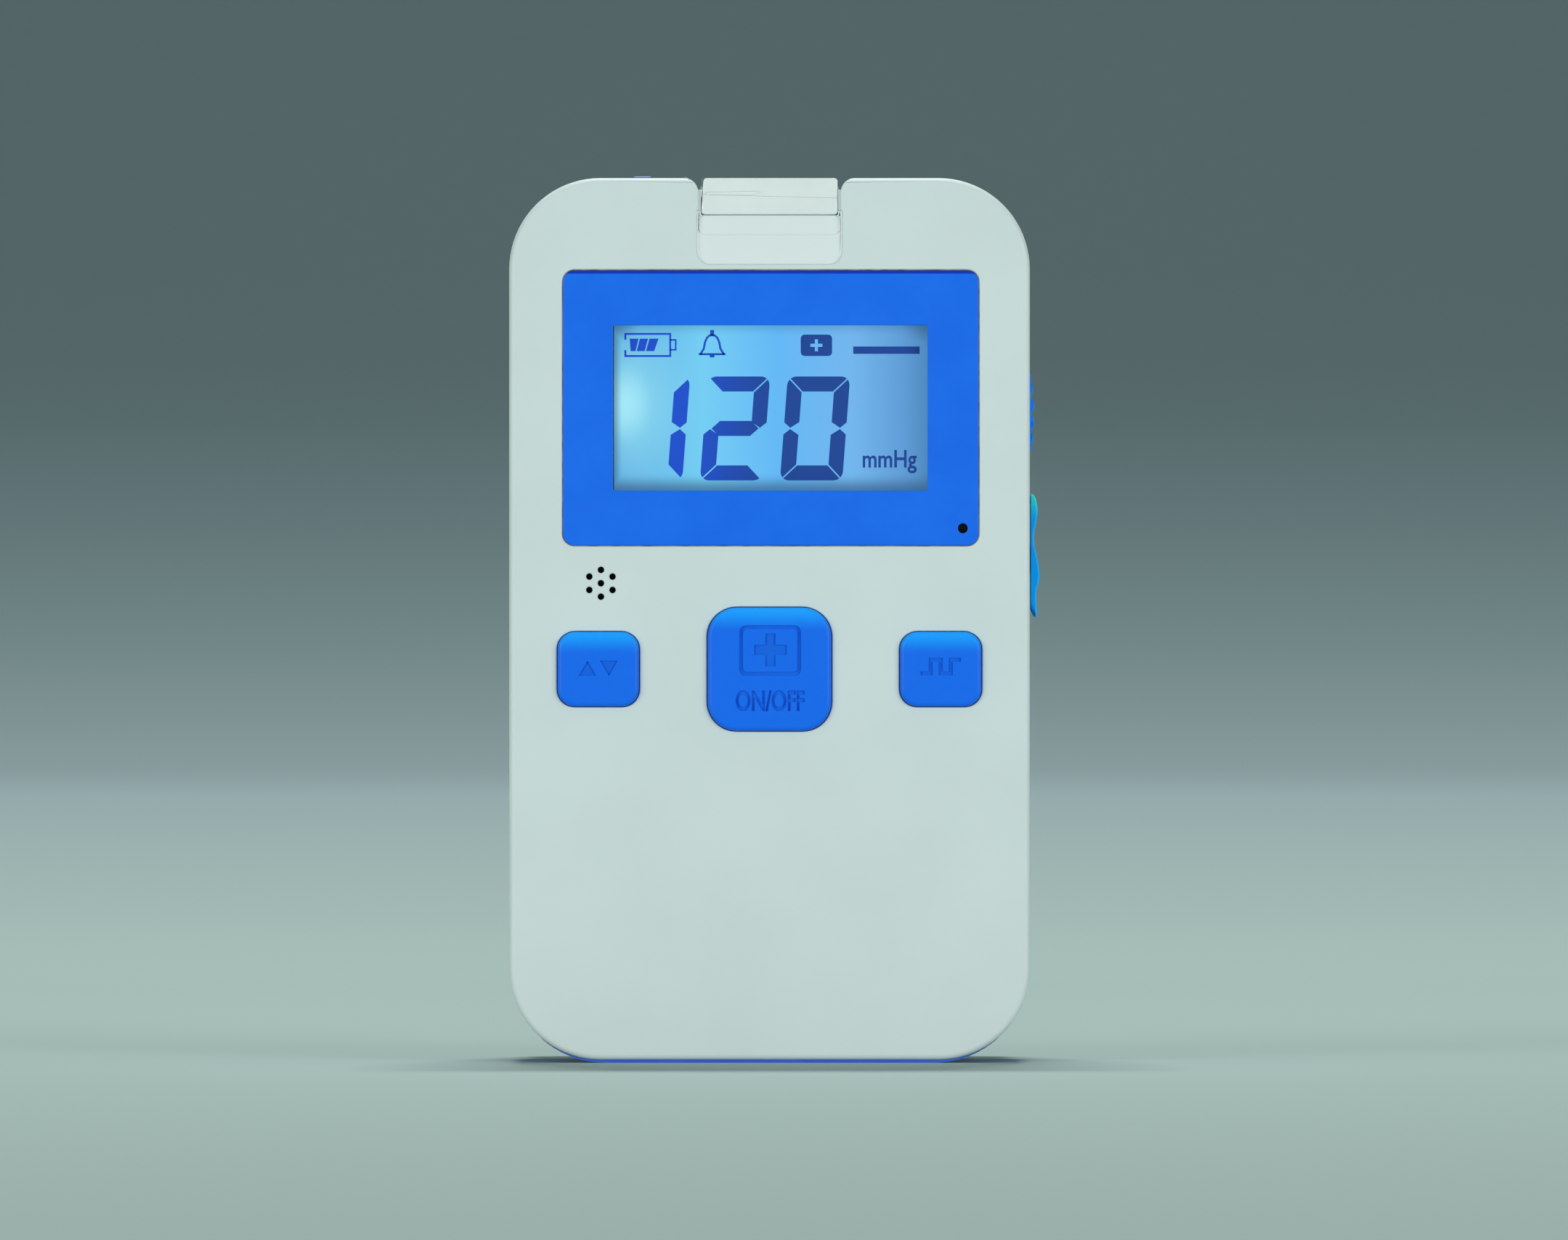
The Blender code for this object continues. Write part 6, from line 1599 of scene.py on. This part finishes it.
@dataclass
class Keypad:
    """The three rubber keys, each with a dished face and an engraved sign."""

    rim: float = 0.0007
    flange: float = 0.0012
    flange_depths: Point = (-0.0197, -0.0187)
    root: float = 0.0002
    stem_radius: float = 0.0022
    stem_end_y: float = -0.016
    dish: float = 0.0002
    dish_power: int = 3
    dish_lift: float = 0.000004
    dish_width_share: float = 2.1
    engraving: float = 0.00022
    floor_facing: float = 0.9
    rows: int = 24
    arrow_low: float = -0.001
    arrow_high: float = 0.0013
    arrow_inner: float = 0.0003
    arrow_middle: float = 0.00165
    arrow_outer: float = 0.003
    pulse_rise: float = 0.0004
    pulse_line: float = 0.0006
    pulse_step: Point = (0.00155, 0.00105)
    plus_middle: Point = (0.00015, 0.06345)
    plus_arm: float = 0.0025
    plus_half: float = 0.00077
    ring_low: Point = (-0.00463, 0.0595)
    ring_high: Point = (0.00485, 0.06722)
    ring_line: float = 0.00057
    ring_corner: float = 0.001
    core_corner: float = 0.0006
    words: str = "ON/OFF"
    words_middle: Point = (0.0001, 0.05565)
    words_size: Point = (0.0106, 0.0032)
    words_bold: float = 0.028

    def build(self) -> None:
        """Builds each key with its sign."""
        for key in KEYS:
            self.key(key, Mark(key.name))

    def key(self, key: KeyShape, sign: Mark) -> None:
        """Builds one key on its own body.

        Args:
            key: Its plan.
            sign: What is engraved in it.
        """
        front_y = node_span(key.name).low.y
        flange_y, back_y = self.flange_depths
        cap = rounded_block(f"{key.name}_cap", key.plan((front_y, flange_y + self.root)), key.corner, 10,
                            front=self.rim, rim_steps=8)
        floor_y = front_y + self.engraving + self.dish
        carve(cap, [self.dish_tool(key, front_y), *self.sign_tools(sign, key, (front_y - OVERRUN, floor_y))])
        carve(cap, [rounded_block("skirt", key.plan(self.flange_depths, self.flange), key.corner, 6),
                    rod("stem", self.stem_radius, (key.x, back_y - FIT, KEY_ROW_Z), self.stem_end_y, 32)],
              Carve.JOIN)
        # Each key's finish carries a painted highlight over its top.
        finish = LARGE_KEY_PAINTED_HIGHLIGHT if sign is Mark.PLUS else SMALL_KEY_PAINTED_HIGHLIGHT
        put(smooth(cap), key.name, "key_rubber", finish, key.name)
        # The engraved floors take the painted shade.
        cap.data.materials.append(MARK_RUBBER_PAINTED_SHADE.material())
        for face in cap.data.polygons:
            if face.normal.y < -self.floor_facing and abs(face.center.y - floor_y) < 2 * CLOSE:
                face.material_index = 1

    def dish_tool(self, key: KeyShape, front_y: float) -> Piece:
        """Makes the shallow bowl that hollows a key's face towards its middle.

        Args:
            key: The key's plan.
            front_y: Its front.

        Returns:
            The bowl.
        """
        reach_x, reach_z = key.width / 2 - self.rim, key.height / 2 - self.rim
        size = reach_x * self.dish_width_share, reach_z * self.dish_width_share
        bowl = grid_sheet("dish_tool", (key.x, front_y, KEY_ROW_Z), size, (self.rows, self.rows),
                          -OVERRUN / 2)
        for vertex in bowl.data.vertices:
            if vertex.co.y < front_y - FIT:
                continue
            u, v = (vertex.co.x - key.x) / reach_x, (vertex.co.z - KEY_ROW_Z) / reach_z
            bowed = (1 - abs(u) ** self.dish_power) * (1 - abs(v) ** self.dish_power)
            vertex.co.y += self.dish * bowed - self.dish_lift
        return bowl

    def sign_tools(self, sign: Mark, key: KeyShape, depths: Point) -> list[Piece]:
        """Makes the solids that engrave a sign.

        Args:
            sign: The sign.
            key: The key's plan.
            depths: The front and the back of the solids.

        Returns:
            The solids.
        """
        if sign is Mark.PLUS:
            return self.plus_tools(depths)
        if sign is Mark.PULSE:
            step, rise = self.pulse_step
            path = [(key.x + right * step, KEY_ROW_Z + self.pulse_rise + up * rise) for right, up in (
                (-2, -1), (-1, -1), (-1, 1), (0, 1), (0, -1), (1, -1), (1, 1), (2, 1))]
            return [plate("pulse_tool", ribbon(path, self.pulse_line), depths)]
        low, high = KEY_ROW_Z + self.arrow_low, KEY_ROW_Z + self.arrow_high
        up = [(-self.arrow_outer, low), (-self.arrow_inner, low), (-self.arrow_middle, high)]
        down = [(self.arrow_inner, high), (self.arrow_middle, low), (self.arrow_outer, high)]
        return [plate("arrow_tool", [(key.x + x, z) for x, z in arrow], depths) for arrow in (up, down)]

    def plus_tools(self, depths: Point) -> list[Piece]:
        """Makes a plus in a rounded frame, and the switch's two states below it.

        Args:
            depths: The front and the back of the solids.

        Returns:
            The solids.
        """
        low, high = [(x, y, z) for (x, z), y in zip((self.ring_low, self.ring_high), depths)]
        frame_box = span(low, high)
        ring = rounded_block("ring_tool", frame_box, self.ring_corner, 6)
        core = frame_box.grown(-self.ring_line, OVERRUN / 2, -self.ring_line)
        carve(ring, [rounded_block("ring_core", core, self.core_corner, 6)])
        cross, upright = plus(*self.plus_middle, self.plus_arm, self.plus_half, depths)
        return [ring, carve(cross, [upright], Carve.JOIN), self.words_tool(depths)]

    def words_tool(self, depths: Point) -> Piece:
        """Fits plain lettering into its width and height as a solid.

        Args:
            depths: Its front and its back.

        Returns:
            The solid.
        """
        letters = lettering(self.words, 1.0, 0.5, self.words_bold, 5)
        points = [vertex.co for vertex in letters.data.vertices]
        low, high = [Vector([end(point[axis] for point in points) for axis in range(3)])
                     for end in (min, max)]
        size, (x, z) = high - low, self.words_middle
        width, height = self.words_size
        scale = Matrix.Diagonal((width / size.x, height / size.y, (depths[1] - depths[0]) / size.z, 1))
        letters.data.transform(Matrix.Translation((x, sum(depths) / 2, z)) @ Matrix.Rotation(QUARTER, 4, "X")
                               @ scale @ Matrix.Translation(-(low + high) / 2))
        in_edit(letters, lambda: bpy.ops.mesh.remove_doubles(threshold=TINY), face_out)
        return settle(letters, "words_tool")


@dataclass
class PowerSlide:
    """The ribbed slider in the right side."""

    face_x: float = 0.04045
    half_width: float = 0.0026
    low_z: float = 0.0941
    high_z: float = 0.1061
    corner: float = 0.0006
    face_rounding: float = 0.0003
    flange_x: float = 0.0377
    flange_depth: float = 0.001
    root: float = 0.0004
    arm_half: float = 0.0015
    arm_low_z: float = 0.0986
    arm_high_z: float = 0.1016
    arm_root: float = 0.0006
    ribs: Points = ((0.1038, 0.00054), (0.1012, 0.00074), (0.0986, 0.00074), (0.0962, 0.00056))
    rib_radius: float = 0.0014
    rib_inset: float = 0.0003
    rib_rounding: float = 0.00028
    softness: float = 0.00012

    def build(self) -> None:
        """The slider with four ribs, its flange and the fork that holds the switch's lever."""
        node = node_span("power_slider")
        near_y, far_y = SIDE_Y - self.half_width, SIDE_Y + self.half_width
        grip = span((self.flange_x - self.root, near_y, self.low_z), (self.face_x, far_y, self.high_z))
        slider = rounded_block("slider_grip", grip, self.corner, 4, axis=Axis.X)
        round_edges(slider, self.face_rounding, 3, at(Axis.X, self.face_x))
        arm = span((node.low.x, SIDE_Y - self.arm_half, self.arm_low_z),
                   (self.flange_x - self.arm_root, SIDE_Y + self.arm_half, self.arm_high_z))
        parts = [block("flange", node.between(Axis.X, self.flange_x - self.flange_depth, self.flange_x)),
                 block("arm", arm)]
        for z, proud in self.ribs:
            rib = rod("rib", self.rib_radius, (SIDE_X + proud - self.rib_radius, near_y + self.rib_inset, z),
                      far_y - self.rib_inset, 40)
            parts.append(round_edges(rib, self.rib_rounding, 4, sharper_than=ROD_END))
        carve(slider, parts, Carve.JOIN)
        carve(slider, [block("fork_tool", node_span("switch_lever").grown(FIT, OVERRUN, FIT))])
        soften(slider, self.softness, 2, lambda middle, way: middle.x > SIDE_X - FIT / 3)
        put(smooth(slider), "power_slider", "slider_blue", SLIDER_RUBBER, "power_slider")


@dataclass
class PortCover:
    """The wavy rubber cover over the charging socket, one piece from its root to its tip.

    The marks say how far down and out its outer side lies, and the tip's points how far out and up.
    """

    half_width: float = 0.0045
    top_z: float = 0.0876
    top_bevel: float = 0.0001
    seat: float = 0.00015
    leaves_z: float = 0.0698
    tip_z: float = 0.0685
    marks: Points = (
        (0.0, 0.0002), (0.00022, 0.00058), (0.0009, 0.00094), (0.002, 0.00115), (0.0031, 0.00118),
        (0.0044, 0.00098), (0.0058, 0.00072), (0.0069, 0.00064), (0.0082, 0.00076), (0.0102, 0.0012),
        (0.0122, 0.00148), (0.0134, 0.00142), (0.0146, 0.00112), (0.0157, 0.001), (0.0172, 0.00104),
        (0.0184, 0.0011))
    tip: Points = ((0.0011, 0.0007), (0.00108, 0.00025), (0.00098, 0.00005),
                              (0.00084, 0.00002), (0.0007, 0.00012), (0.00052, 0.0004))
    steps: int = 3
    rounding: float = 0.0003
    round_from: float = 0.00004
    plug_radius: float = 0.0024
    plug_depth: float = 0.0014
    plug_root: float = 0.0004
    post_radius: float = 0.0007
    post_x: float = 0.0371
    head_radius: float = 0.0014
    head_low_x: float = 0.0369
    head_high_x: float = 0.0377

    def outside(self) -> list[Point]:
        """Finds the outer side from the root's top down to the tip, eased by a spline.

        Returns:
            Points (x, z).
        """
        points: list[Point] = []
        marks = [self.marks[0], *self.marks, self.marks[-1]]
        for ends in zip(marks, marks[1:], marks[2:], marks[3:]):
            for t in (step / self.steps for step in range(self.steps)):
                down, out = [((-t + 2 * t * t - t ** 3) * a + (2 - 5 * t * t + 3 * t ** 3) * b
                              + (t + 4 * t * t - 3 * t ** 3) * c + (t ** 3 - t * t) * d) / 2
                             for a, b, c, d in zip(*ends)]
                points.append((SIDE_X + out, self.top_z - down))
        return points + [(SIDE_X + out, self.tip_z + rise) for out, rise in self.tip]

    def build(self) -> None:
        """Draws the side view out across the width, rounds its edges and adds plug and post."""
        seat_x = SIDE_X + self.seat
        outline = [*self.outside(), (seat_x + self.top_bevel, self.leaves_z - self.rounding),
                   (seat_x, self.leaves_z), (seat_x, self.top_z - self.top_bevel)]
        cover = plate("rubber_cover", outline, (SIDE_Y - self.half_width, SIDE_Y + self.half_width))
        round_edges(cover, self.rounding, 4, lambda middle, way: middle.x > seat_x + self.round_from
                    and abs(abs(middle.y - SIDE_Y) - self.half_width) < CLOSE)
        bars = (("plug", self.plug_radius, SIDE_X - self.plug_depth, PLUG_Z, seat_x + self.plug_root, 40),
                ("post", self.post_radius, self.post_x, POST_Z, seat_x + FIT, 24),
                ("head", self.head_radius, self.head_low_x, POST_Z, self.head_high_x, 32))
        carve(cover, [rod(name, radius, (x, SIDE_Y, z), end, sides, Axis.X)
                      for name, radius, x, z, end, sides in bars], Carve.JOIN)
        smooth(cover)
        # The rest height of each point, along which the cover's painted highlight fades in.
        heights = cover.data.attributes.new("height", "FLOAT", "POINT")
        heights.data.foreach_set("value", [vertex.co.z for vertex in cover.data.vertices])
        put(cover, "case", "slider_blue", COVER_RUBBER_PAINTED_HIGHLIGHT)
        cover.parent = None
        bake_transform(cover)
        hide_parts("port_cover", "port_cover_root")


@dataclass
class StatusLamp:
    """The light pipe that stands a little above the top edge."""

    shoulder: float = 0.0002
    corner: float = 0.0005
    flange: float = 0.0006
    collar_low_z: float = 0.1331
    collar_high_z: float = 0.1337
    softness: float = 0.00008
    soft_z: float = 0.1355

    def build(self) -> None:
        """The pipe with chamfered shoulders, and its flange under the casing's top."""
        box = node_span("status_lamp")
        pipe = rounded_block("lamp_light_pipe", box.grown(-self.flange, -self.flange), self.corner, 4,
                             axis=Axis.Z)
        round_edges(pipe, self.shoulder, 2, at(Axis.Z, box.high.z))
        collar = box.between(Axis.Z, self.collar_low_z, self.collar_high_z)
        carve(pipe, [block("collar", collar)], Carve.JOIN)
        soften(pipe, self.softness, 2, lambda middle, way: middle.z > self.soft_z)
        put(smooth(pipe), "case", "light_pipe", LAMP_PIPE, "status_lamp")


@dataclass
class Latch:
    """The clear tab that hangs in the notch, and its pin."""

    front_y: float = -0.0215
    back_y: float = -0.0194
    low_z: float = 0.1304
    half: float = 0.01045
    corner: float = 0.0005
    rim: float = 0.00007
    step_in: float = 0.0003
    step_z: float = 0.1335
    step_half: float = 0.0115
    step_fall: float = 0.0006
    step_depth: float = 0.00012
    streak: Points = ((-0.01, -0.00005), (-0.0099, 0.0003), (-0.002, 0.0005),
                                 (-0.0012, 0.0003), (-0.003, -0.0001))
    streak_depth: float = 0.00035
    ear: float = 0.0018
    knuckle: float = 0.0015
    pin_y: float = -0.0172
    pin_z: float = 0.1331
    pin_radius: float = 0.0005
    pin_rounding: float = 0.00015
    bore: float = 0.0006
    softness: float = 0.00012
    soft_y: float = -0.0193

    def build(self) -> None:
        """The plate, narrower above its step, with an ear at each end, and the pin."""
        box, pin_box = node_span("latch_tab"), node_span("latch_pin")
        tab = rounded_block("clear_latch", across(self.half, (self.low_z, box.high.z),
                                                  (self.front_y, self.back_y)), self.corner, 5)
        round_edges(tab, self.rim, 2, at(Axis.Y, self.front_y))
        for vertex in tab.data.vertices:
            if vertex.co.z > self.step_z and vertex.co.x < 0:
                vertex.co.x += self.step_in
        step = [(-self.step_half, self.step_z), (self.step_half, self.step_z - self.step_fall),
                (self.step_half, BEYOND), (-self.step_half, BEYOND)]
        streak = [(x, self.step_z + rise) for x, rise in self.streak]
        carve(tab, [plate("step_tool", outline, (self.front_y - OVERRUN, self.front_y + depth))
                    for outline, depth in ((step, self.step_depth), (streak, self.streak_depth))])
        ears = []
        for ends in ((-box.high.x, self.ear - box.high.x), (box.high.x - self.ear, box.high.x)):
            ear = span((ends[0], self.back_y - FIT, self.pin_z - self.knuckle),
                       (ends[1], self.pin_y, self.pin_z + self.knuckle))
            ears += [block("ear", ear), self.bar("ear_end", self.knuckle, ends)]
        carve(tab, ears, Carve.JOIN)
        carve(tab, [self.bar("bore", self.bore, (-BEYOND, BEYOND), 24)])
        soften(tab, self.softness, 2, lambda middle, way: middle.y < self.soft_y)
        put(smooth(tab), "latch_tab", "clear_plastic", CLEAR_TAB, "latch_tab")
        pin = self.bar("hinge_pin", self.pin_radius, (pin_box.low.x, pin_box.high.x))
        round_edges(pin, self.pin_rounding, 3, sharper_than=ROD_END)
        put(smooth(pin), "canister", "steel", STEEL, "latch_pin")

    def bar(self, name: str, radius: float, ends: Point, sides: int = 32) -> Piece:
        """A rod on the line of the pin."""
        return rod(name, radius, (ends[0], self.pin_y, self.pin_z), ends[1], sides, Axis.X)


@dataclass
class Canister:
    """The clear fluid canister behind the device, with what it holds."""

    cells: tuple[int, int] = (64, 58)
    film: float = 0.0002
    border: float = 0.0045
    slack: float = 0.0007
    crown_power: float = 2.6
    full_share: float = 0.86
    ripple_share: float = 0.1
    ripple_waves: tuple[int, int, int, int] = (5, 3, 7, 2)
    crease_share: float = 0.08
    crease_waves: tuple[int, int] = (26, 4)
    crease_from_share: float = 0.6
    waist: float = 0.0012
    waist_from_share: float = 0.9

    def build(self) -> None:
        """Dresses the canister, its back, the tube fitting and the filter, and adds the gel sachet."""
        for node, finish in (("canister_body", CLEAR_CANISTER), ("canister_back", CLEAR_CANISTER),
                             ("canister_inlet", CLEAR_FITTING), ("canister_filter", FILTER_FELT)):
            dress_node(node, finish)
        self.gel()

    def gel(self) -> None:
        """The sachet that turns fluid to gel: a crowned pad with a flat sealed border."""
        box = node_span("gel_pack")
        middle, size = box.centre, box.size
        (a, b, c, d), (e, f) = self.ripple_waves, self.crease_waves
        pad = grid_sheet("gel_sachet", middle, (size.x, size.z), self.cells, self.film)
        for vertex in pad.data.vertices:
            side = -1 if vertex.co.y < middle.y + self.film / 2 else 1
            u = (vertex.co.x - middle.x) / (size.x / 2 - self.border)
            v = (vertex.co.z - middle.z) / (size.z / 2 - self.border)
            crown = math.sqrt(max(0.0, 1 - abs(u) ** self.crown_power)
                              * max(0.0, 1 - abs(v) ** self.crown_power))
            ripple = self.ripple_share * math.sin(u * a + v * b) * math.sin(v * c - u * d)
            crease = (self.crease_share * math.sin(abs(v) * e + u * f)
                      * max(0.0, abs(u) - self.crease_from_share))
            bulge = (size.y / 2 - self.slack) * crown * (self.full_share + ripple + crease)
            vertex.co.y = middle.y + side * (self.film / 2 + bulge)
            if abs(u) > self.waist_from_share:
                vertex.co.x -= math.copysign(self.waist * (1 - v * v), u)
        put(smooth(pad, ROD_END), "canister", "gel_fabric", GEL_CLOTH, "gel_pack")


@dataclass
class Screws:
    """The four screws of the casing, modelled once and copied."""

    head_radius: float = 0.002
    head_depth: float = 0.0014
    head_rounding: float = 0.0006
    shank_radius: float = 0.001
    shank_rounding: float = 0.0003
    shank_root: float = 0.0001
    socket_radius: float = 0.0009
    socket_depth: float = 0.0007
    thread: float = 0.00012
    thread_start: float = 0.0005
    thread_pitch: float = 0.00045
    turn: float = 0.0002
    turns: int = 7
    softness: float = 0.00008

    def build(self) -> None:
        """A round-headed screw with a hexagon socket and a fine thread, then its copies."""
        box = node_span("case_screw_1")
        x, _, z = box.centre
        low_y, high_y = box.low.y, box.high.y
        screw = rod("casing_screw_a", self.head_radius, (x, high_y - self.head_depth, z), high_y)
        round_edges(screw, self.head_rounding, 5, at(Axis.Y, high_y))
        shank = rod("shank", self.shank_radius, (x, low_y, z), high_y - self.head_depth + self.shank_root, 32)
        round_edges(shank, self.shank_rounding, 2, at(Axis.Y, low_y))
        turns = [low_y + self.thread_start + count * self.thread_pitch for count in range(self.turns)]
        carve(screw, [shank, *[rod("turn", self.shank_radius + self.thread, (x, y, z), y + self.turn, 32)
                               for y in turns]], Carve.JOIN)
        carve(screw, [rod("hexagon", self.socket_radius, (x, high_y - self.socket_depth, z),
                          high_y + OVERRUN / 2, 6)])
        soften(screw, self.softness, 2, at(Axis.Y, high_y, self.shank_root))
        put(smooth(screw), "case", "steel", STEEL, "case_screw_1")
        for number, letter in enumerate("bcd", start=2):
            shift = node_span(f"case_screw_{number}").centre - box.centre
            put(copy_of(screw, f"casing_screw_{letter}", shift), "case", "steel", STEEL,
                f"case_screw_{number}")


@dataclass
class InnerParts:
    """The frame's own solids inside the casing, each with the finish of its kind."""

    finishes: tuple[tuple[Finish, str], ...] = (
        (CELL_WRAP, "battery_cell_left battery_cell_right"),
        (BLACK_PLASTIC, "battery_cradle lcd_frame mode_key_switch pressure_sensor pump_housing "
                        "pump_key_switch speaker switch_lever vacuum_key_switch"),
        (GREY_PLASTIC, "connecting_rod keypad_retainer pump_cover vacuum_port valve_plate"),
        (SEAL_RUBBER, "case_seal diaphragm motor_sleeve port_seal"),
        (STEEL, "motor_shaft pump_clip pump_motor rod_bearing slide_switch"),
        (BRASS, "eccentric vent_valve"), (PORT_BLACK, "dc_socket"), (DARK_FOAM, "display_gasket"),
        (SINTERED, "exhaust_muffler"), (BACKLIGHT, "lcd_backlight"), (BOARD, "main_board"),
        (SILICONE_TUBE, "pump_tube sensor_tube vent_tube"), (SPEAKER_CLOTH, "speaker_mesh"),
        (LED_RESIN, "status_led"))

    def build(self) -> None:
        """Dresses each solid."""
        for finish, nodes in self.finishes:
            for node in nodes.split():
                dress_node(node, finish)


@dataclass
class Studio:
    """The plain floor and backdrop, the soft lamps and the camera."""

    distance: float = 2.75
    near: float = 0.0009
    lens: float = 411.0
    sensor: float = 36.0
    clip_end: float = 20.0
    aim_x: float = 0.00223
    aim_z: float = 0.06806
    floor_front: float = 1.6
    floor_back: float = 0.55
    floor_width: float = 4.0
    sweep_radius: float = 0.45
    sweep_steps: int = 18
    wall: float = 2.2
    paper_grain: float = 0.004
    paper_patches: Point = (0.2, 0.8)
    paper_roughness: Point = (0.85, 0.95)
    paper_specular: float = 0.1
    fade_height: float = 0.14
    # The paper's colour by height: the floor's own tone, then painted shade that darkens the sweep upwards.
    painted_shade_tones: Stops = (
        (0.0, (160, 182, 176)), (0.012, (151, 171, 167)), (0.0275, (140, 160, 159)),
        (0.0335, (135, 154, 156)), (0.0389, (122, 140, 142)), (0.0501, (112, 130, 132)),
        (0.0615, (102, 121, 121)), (0.073, (94, 113, 114)), (0.0846, (87, 105, 107)),
        (0.0963, (81, 99, 102)), (0.108, (75, 92, 93)), (0.1199, (72, 88, 89)), (0.14, (71, 87, 88)))
    surround: Light = (1.0, 0.995, 0.99, 1.0)
    surround_light: float = 0.21
    surround_look: Screen = (152, 170, 168)
    lamps: tuple[tuple[str, Place, float, Point, float], ...] = (
        ("soft_above", (0.1, -0.95, 2.15), 0.06, (1.5, 1.5), 4.0),
        ("soft_behind", (0.0, 0.62, 1.75), 0.05, (0.6, 0.22), 25.0),
        ("soft_left", (-1.75, -1.75, 0.42), 0.07, (1.3, 0.5), 29.5),
        ("soft_right", (1.75, -1.75, 0.42), 0.07, (1.3, 0.5), 30.5))

    def build(self) -> None:
        """Sets the stage, the world, the lamps and the camera."""
        self.stage()
        self.world()
        for lamp in self.lamps:
            self.lamp(*lamp)
        self.camera()
        bpy.context.scene.view_settings.view_transform = "Standard"

    def stage(self) -> None:
        """One sheet that runs under the device and sweeps up behind it."""
        deselect()
        bpy.ops.mesh.primitive_plane_add(size=1.0)
        sheet = bpy.context.object
        for vertex in sheet.data.vertices:
            vertex.co.x *= self.floor_width
            vertex.co.y = -self.floor_front if vertex.co.y < 0 else self.floor_back
        pick(sheet, at(Axis.Y, self.floor_back))
        turns = [QUARTER * step / self.sweep_steps for step in range(self.sweep_steps + 1)]
        path = [(self.sweep_radius * math.sin(turn), self.sweep_radius * (1 - math.cos(turn)))
                for turn in turns]
        path.append((path[-1][0], path[-1][1] + self.wall))
        for (y, z), (next_y, next_z) in zip(path, path[1:]):
            bpy.ops.mesh.extrude_edges_move(TRANSFORM_OT_translate={"value": (0, next_y - y, next_z - z)})
        bpy.ops.object.mode_set(mode="OBJECT")
        for face in sheet.data.polygons:
            face.use_smooth = True
        settle(sheet, "studio_sweep").data.materials.append(self.paper())

    def paper(self) -> bpy.types.Material:
        """Makes pale blue-grey paper, with painted shade that darkens it up the sweep, which can't be seen
        from behind.

        Returns:
            The material.
        """
        paper = bpy.data.materials.new("studio_paper")
        nodes = Nodes(paper)
        rise = nodes.scaled(nodes.coordinate(Axis.Z), 0.0, self.fade_height)
        first, *others, last = [(height / self.fade_height, tone) for height, tone in self.painted_shade_tones]
        rough = nodes.scaled(nodes.noise(self.paper_grain, FINER), *self.paper_patches,
                             *self.paper_roughness)
        nodes.fill(nodes.shader, {"Base Color": nodes.ramp(rise, [first, last, *others]),
                                  "Roughness": rough, "Specular IOR Level": self.paper_specular})
        nodes.finish_with("Material Output", nodes.add("NewGeometry", "Backfacing"),
                          nodes.shader.outputs[0], nodes.add("BsdfTransparent", 0))
        return paper

    def world(self) -> None:
        """A plain pale surround, which looks paler than the light that it gives."""
        world = bpy.data.worlds.new("studio_surround")
        nodes = Nodes(world)
        light = nodes.tree.nodes["Background"]
        nodes.fill(light, {"Color": self.surround, "Strength": self.surround_light})
        look = nodes.add("Background", 0, {"Color": shown(self.surround_look)})
        nodes.finish_with("World Output", nodes.add("LightPath", "Is Camera Ray"), light.outputs[0], look)
        bpy.context.scene.world = world

    def lamp(self, name: str, place: Place, aim_z: float, size: Point, power: float) -> None:
        """Adds a soft lamp that faces the device.

        Args:
            name: Its name.
            place: Its place.
            aim_z: The height on the device's axis that it faces.
            size: Its width and height.
            power: Its power in watts.
        """
        deselect()
        bpy.ops.object.light_add(type="AREA", location=place)
        light = bpy.context.object
        light.name = name
        light.rotation_euler = (Vector((0, 0, aim_z)) - Vector(place)).to_track_quat("-Z", "Y").to_euler()
        light.data.shape, light.data.energy = "RECTANGLE", power
        light.data.size, light.data.size_y = size

    def camera(self) -> None:
        """A level camera with a long lens, straight in front."""
        deselect()
        bpy.ops.object.camera_add(location=(self.aim_x, FRAME_LOW.y + self.near - self.distance, self.aim_z),
                                  rotation=(QUARTER, 0, 0))
        camera = bpy.context.object
        camera.data.lens, camera.data.sensor_width, camera.data.clip_end = (
            self.lens, self.sensor, self.clip_end)
        bpy.context.scene.camera = camera


def main() -> None:
    """Builds each sub-assembly in turn."""
    logging.basicConfig(level=logging.INFO, format="%(name)s: %(message)s")
    for part in (FrontCasing(), RearCasing(), Display(), Keypad(), PowerSlide(), PortCover(),
                 StatusLamp(), Latch(), Canister(), Screws(), InnerParts(), Studio()):
        LOG.info("building %s", type(part).__name__)
        part.build()


if __name__ == "__main__":
    main()
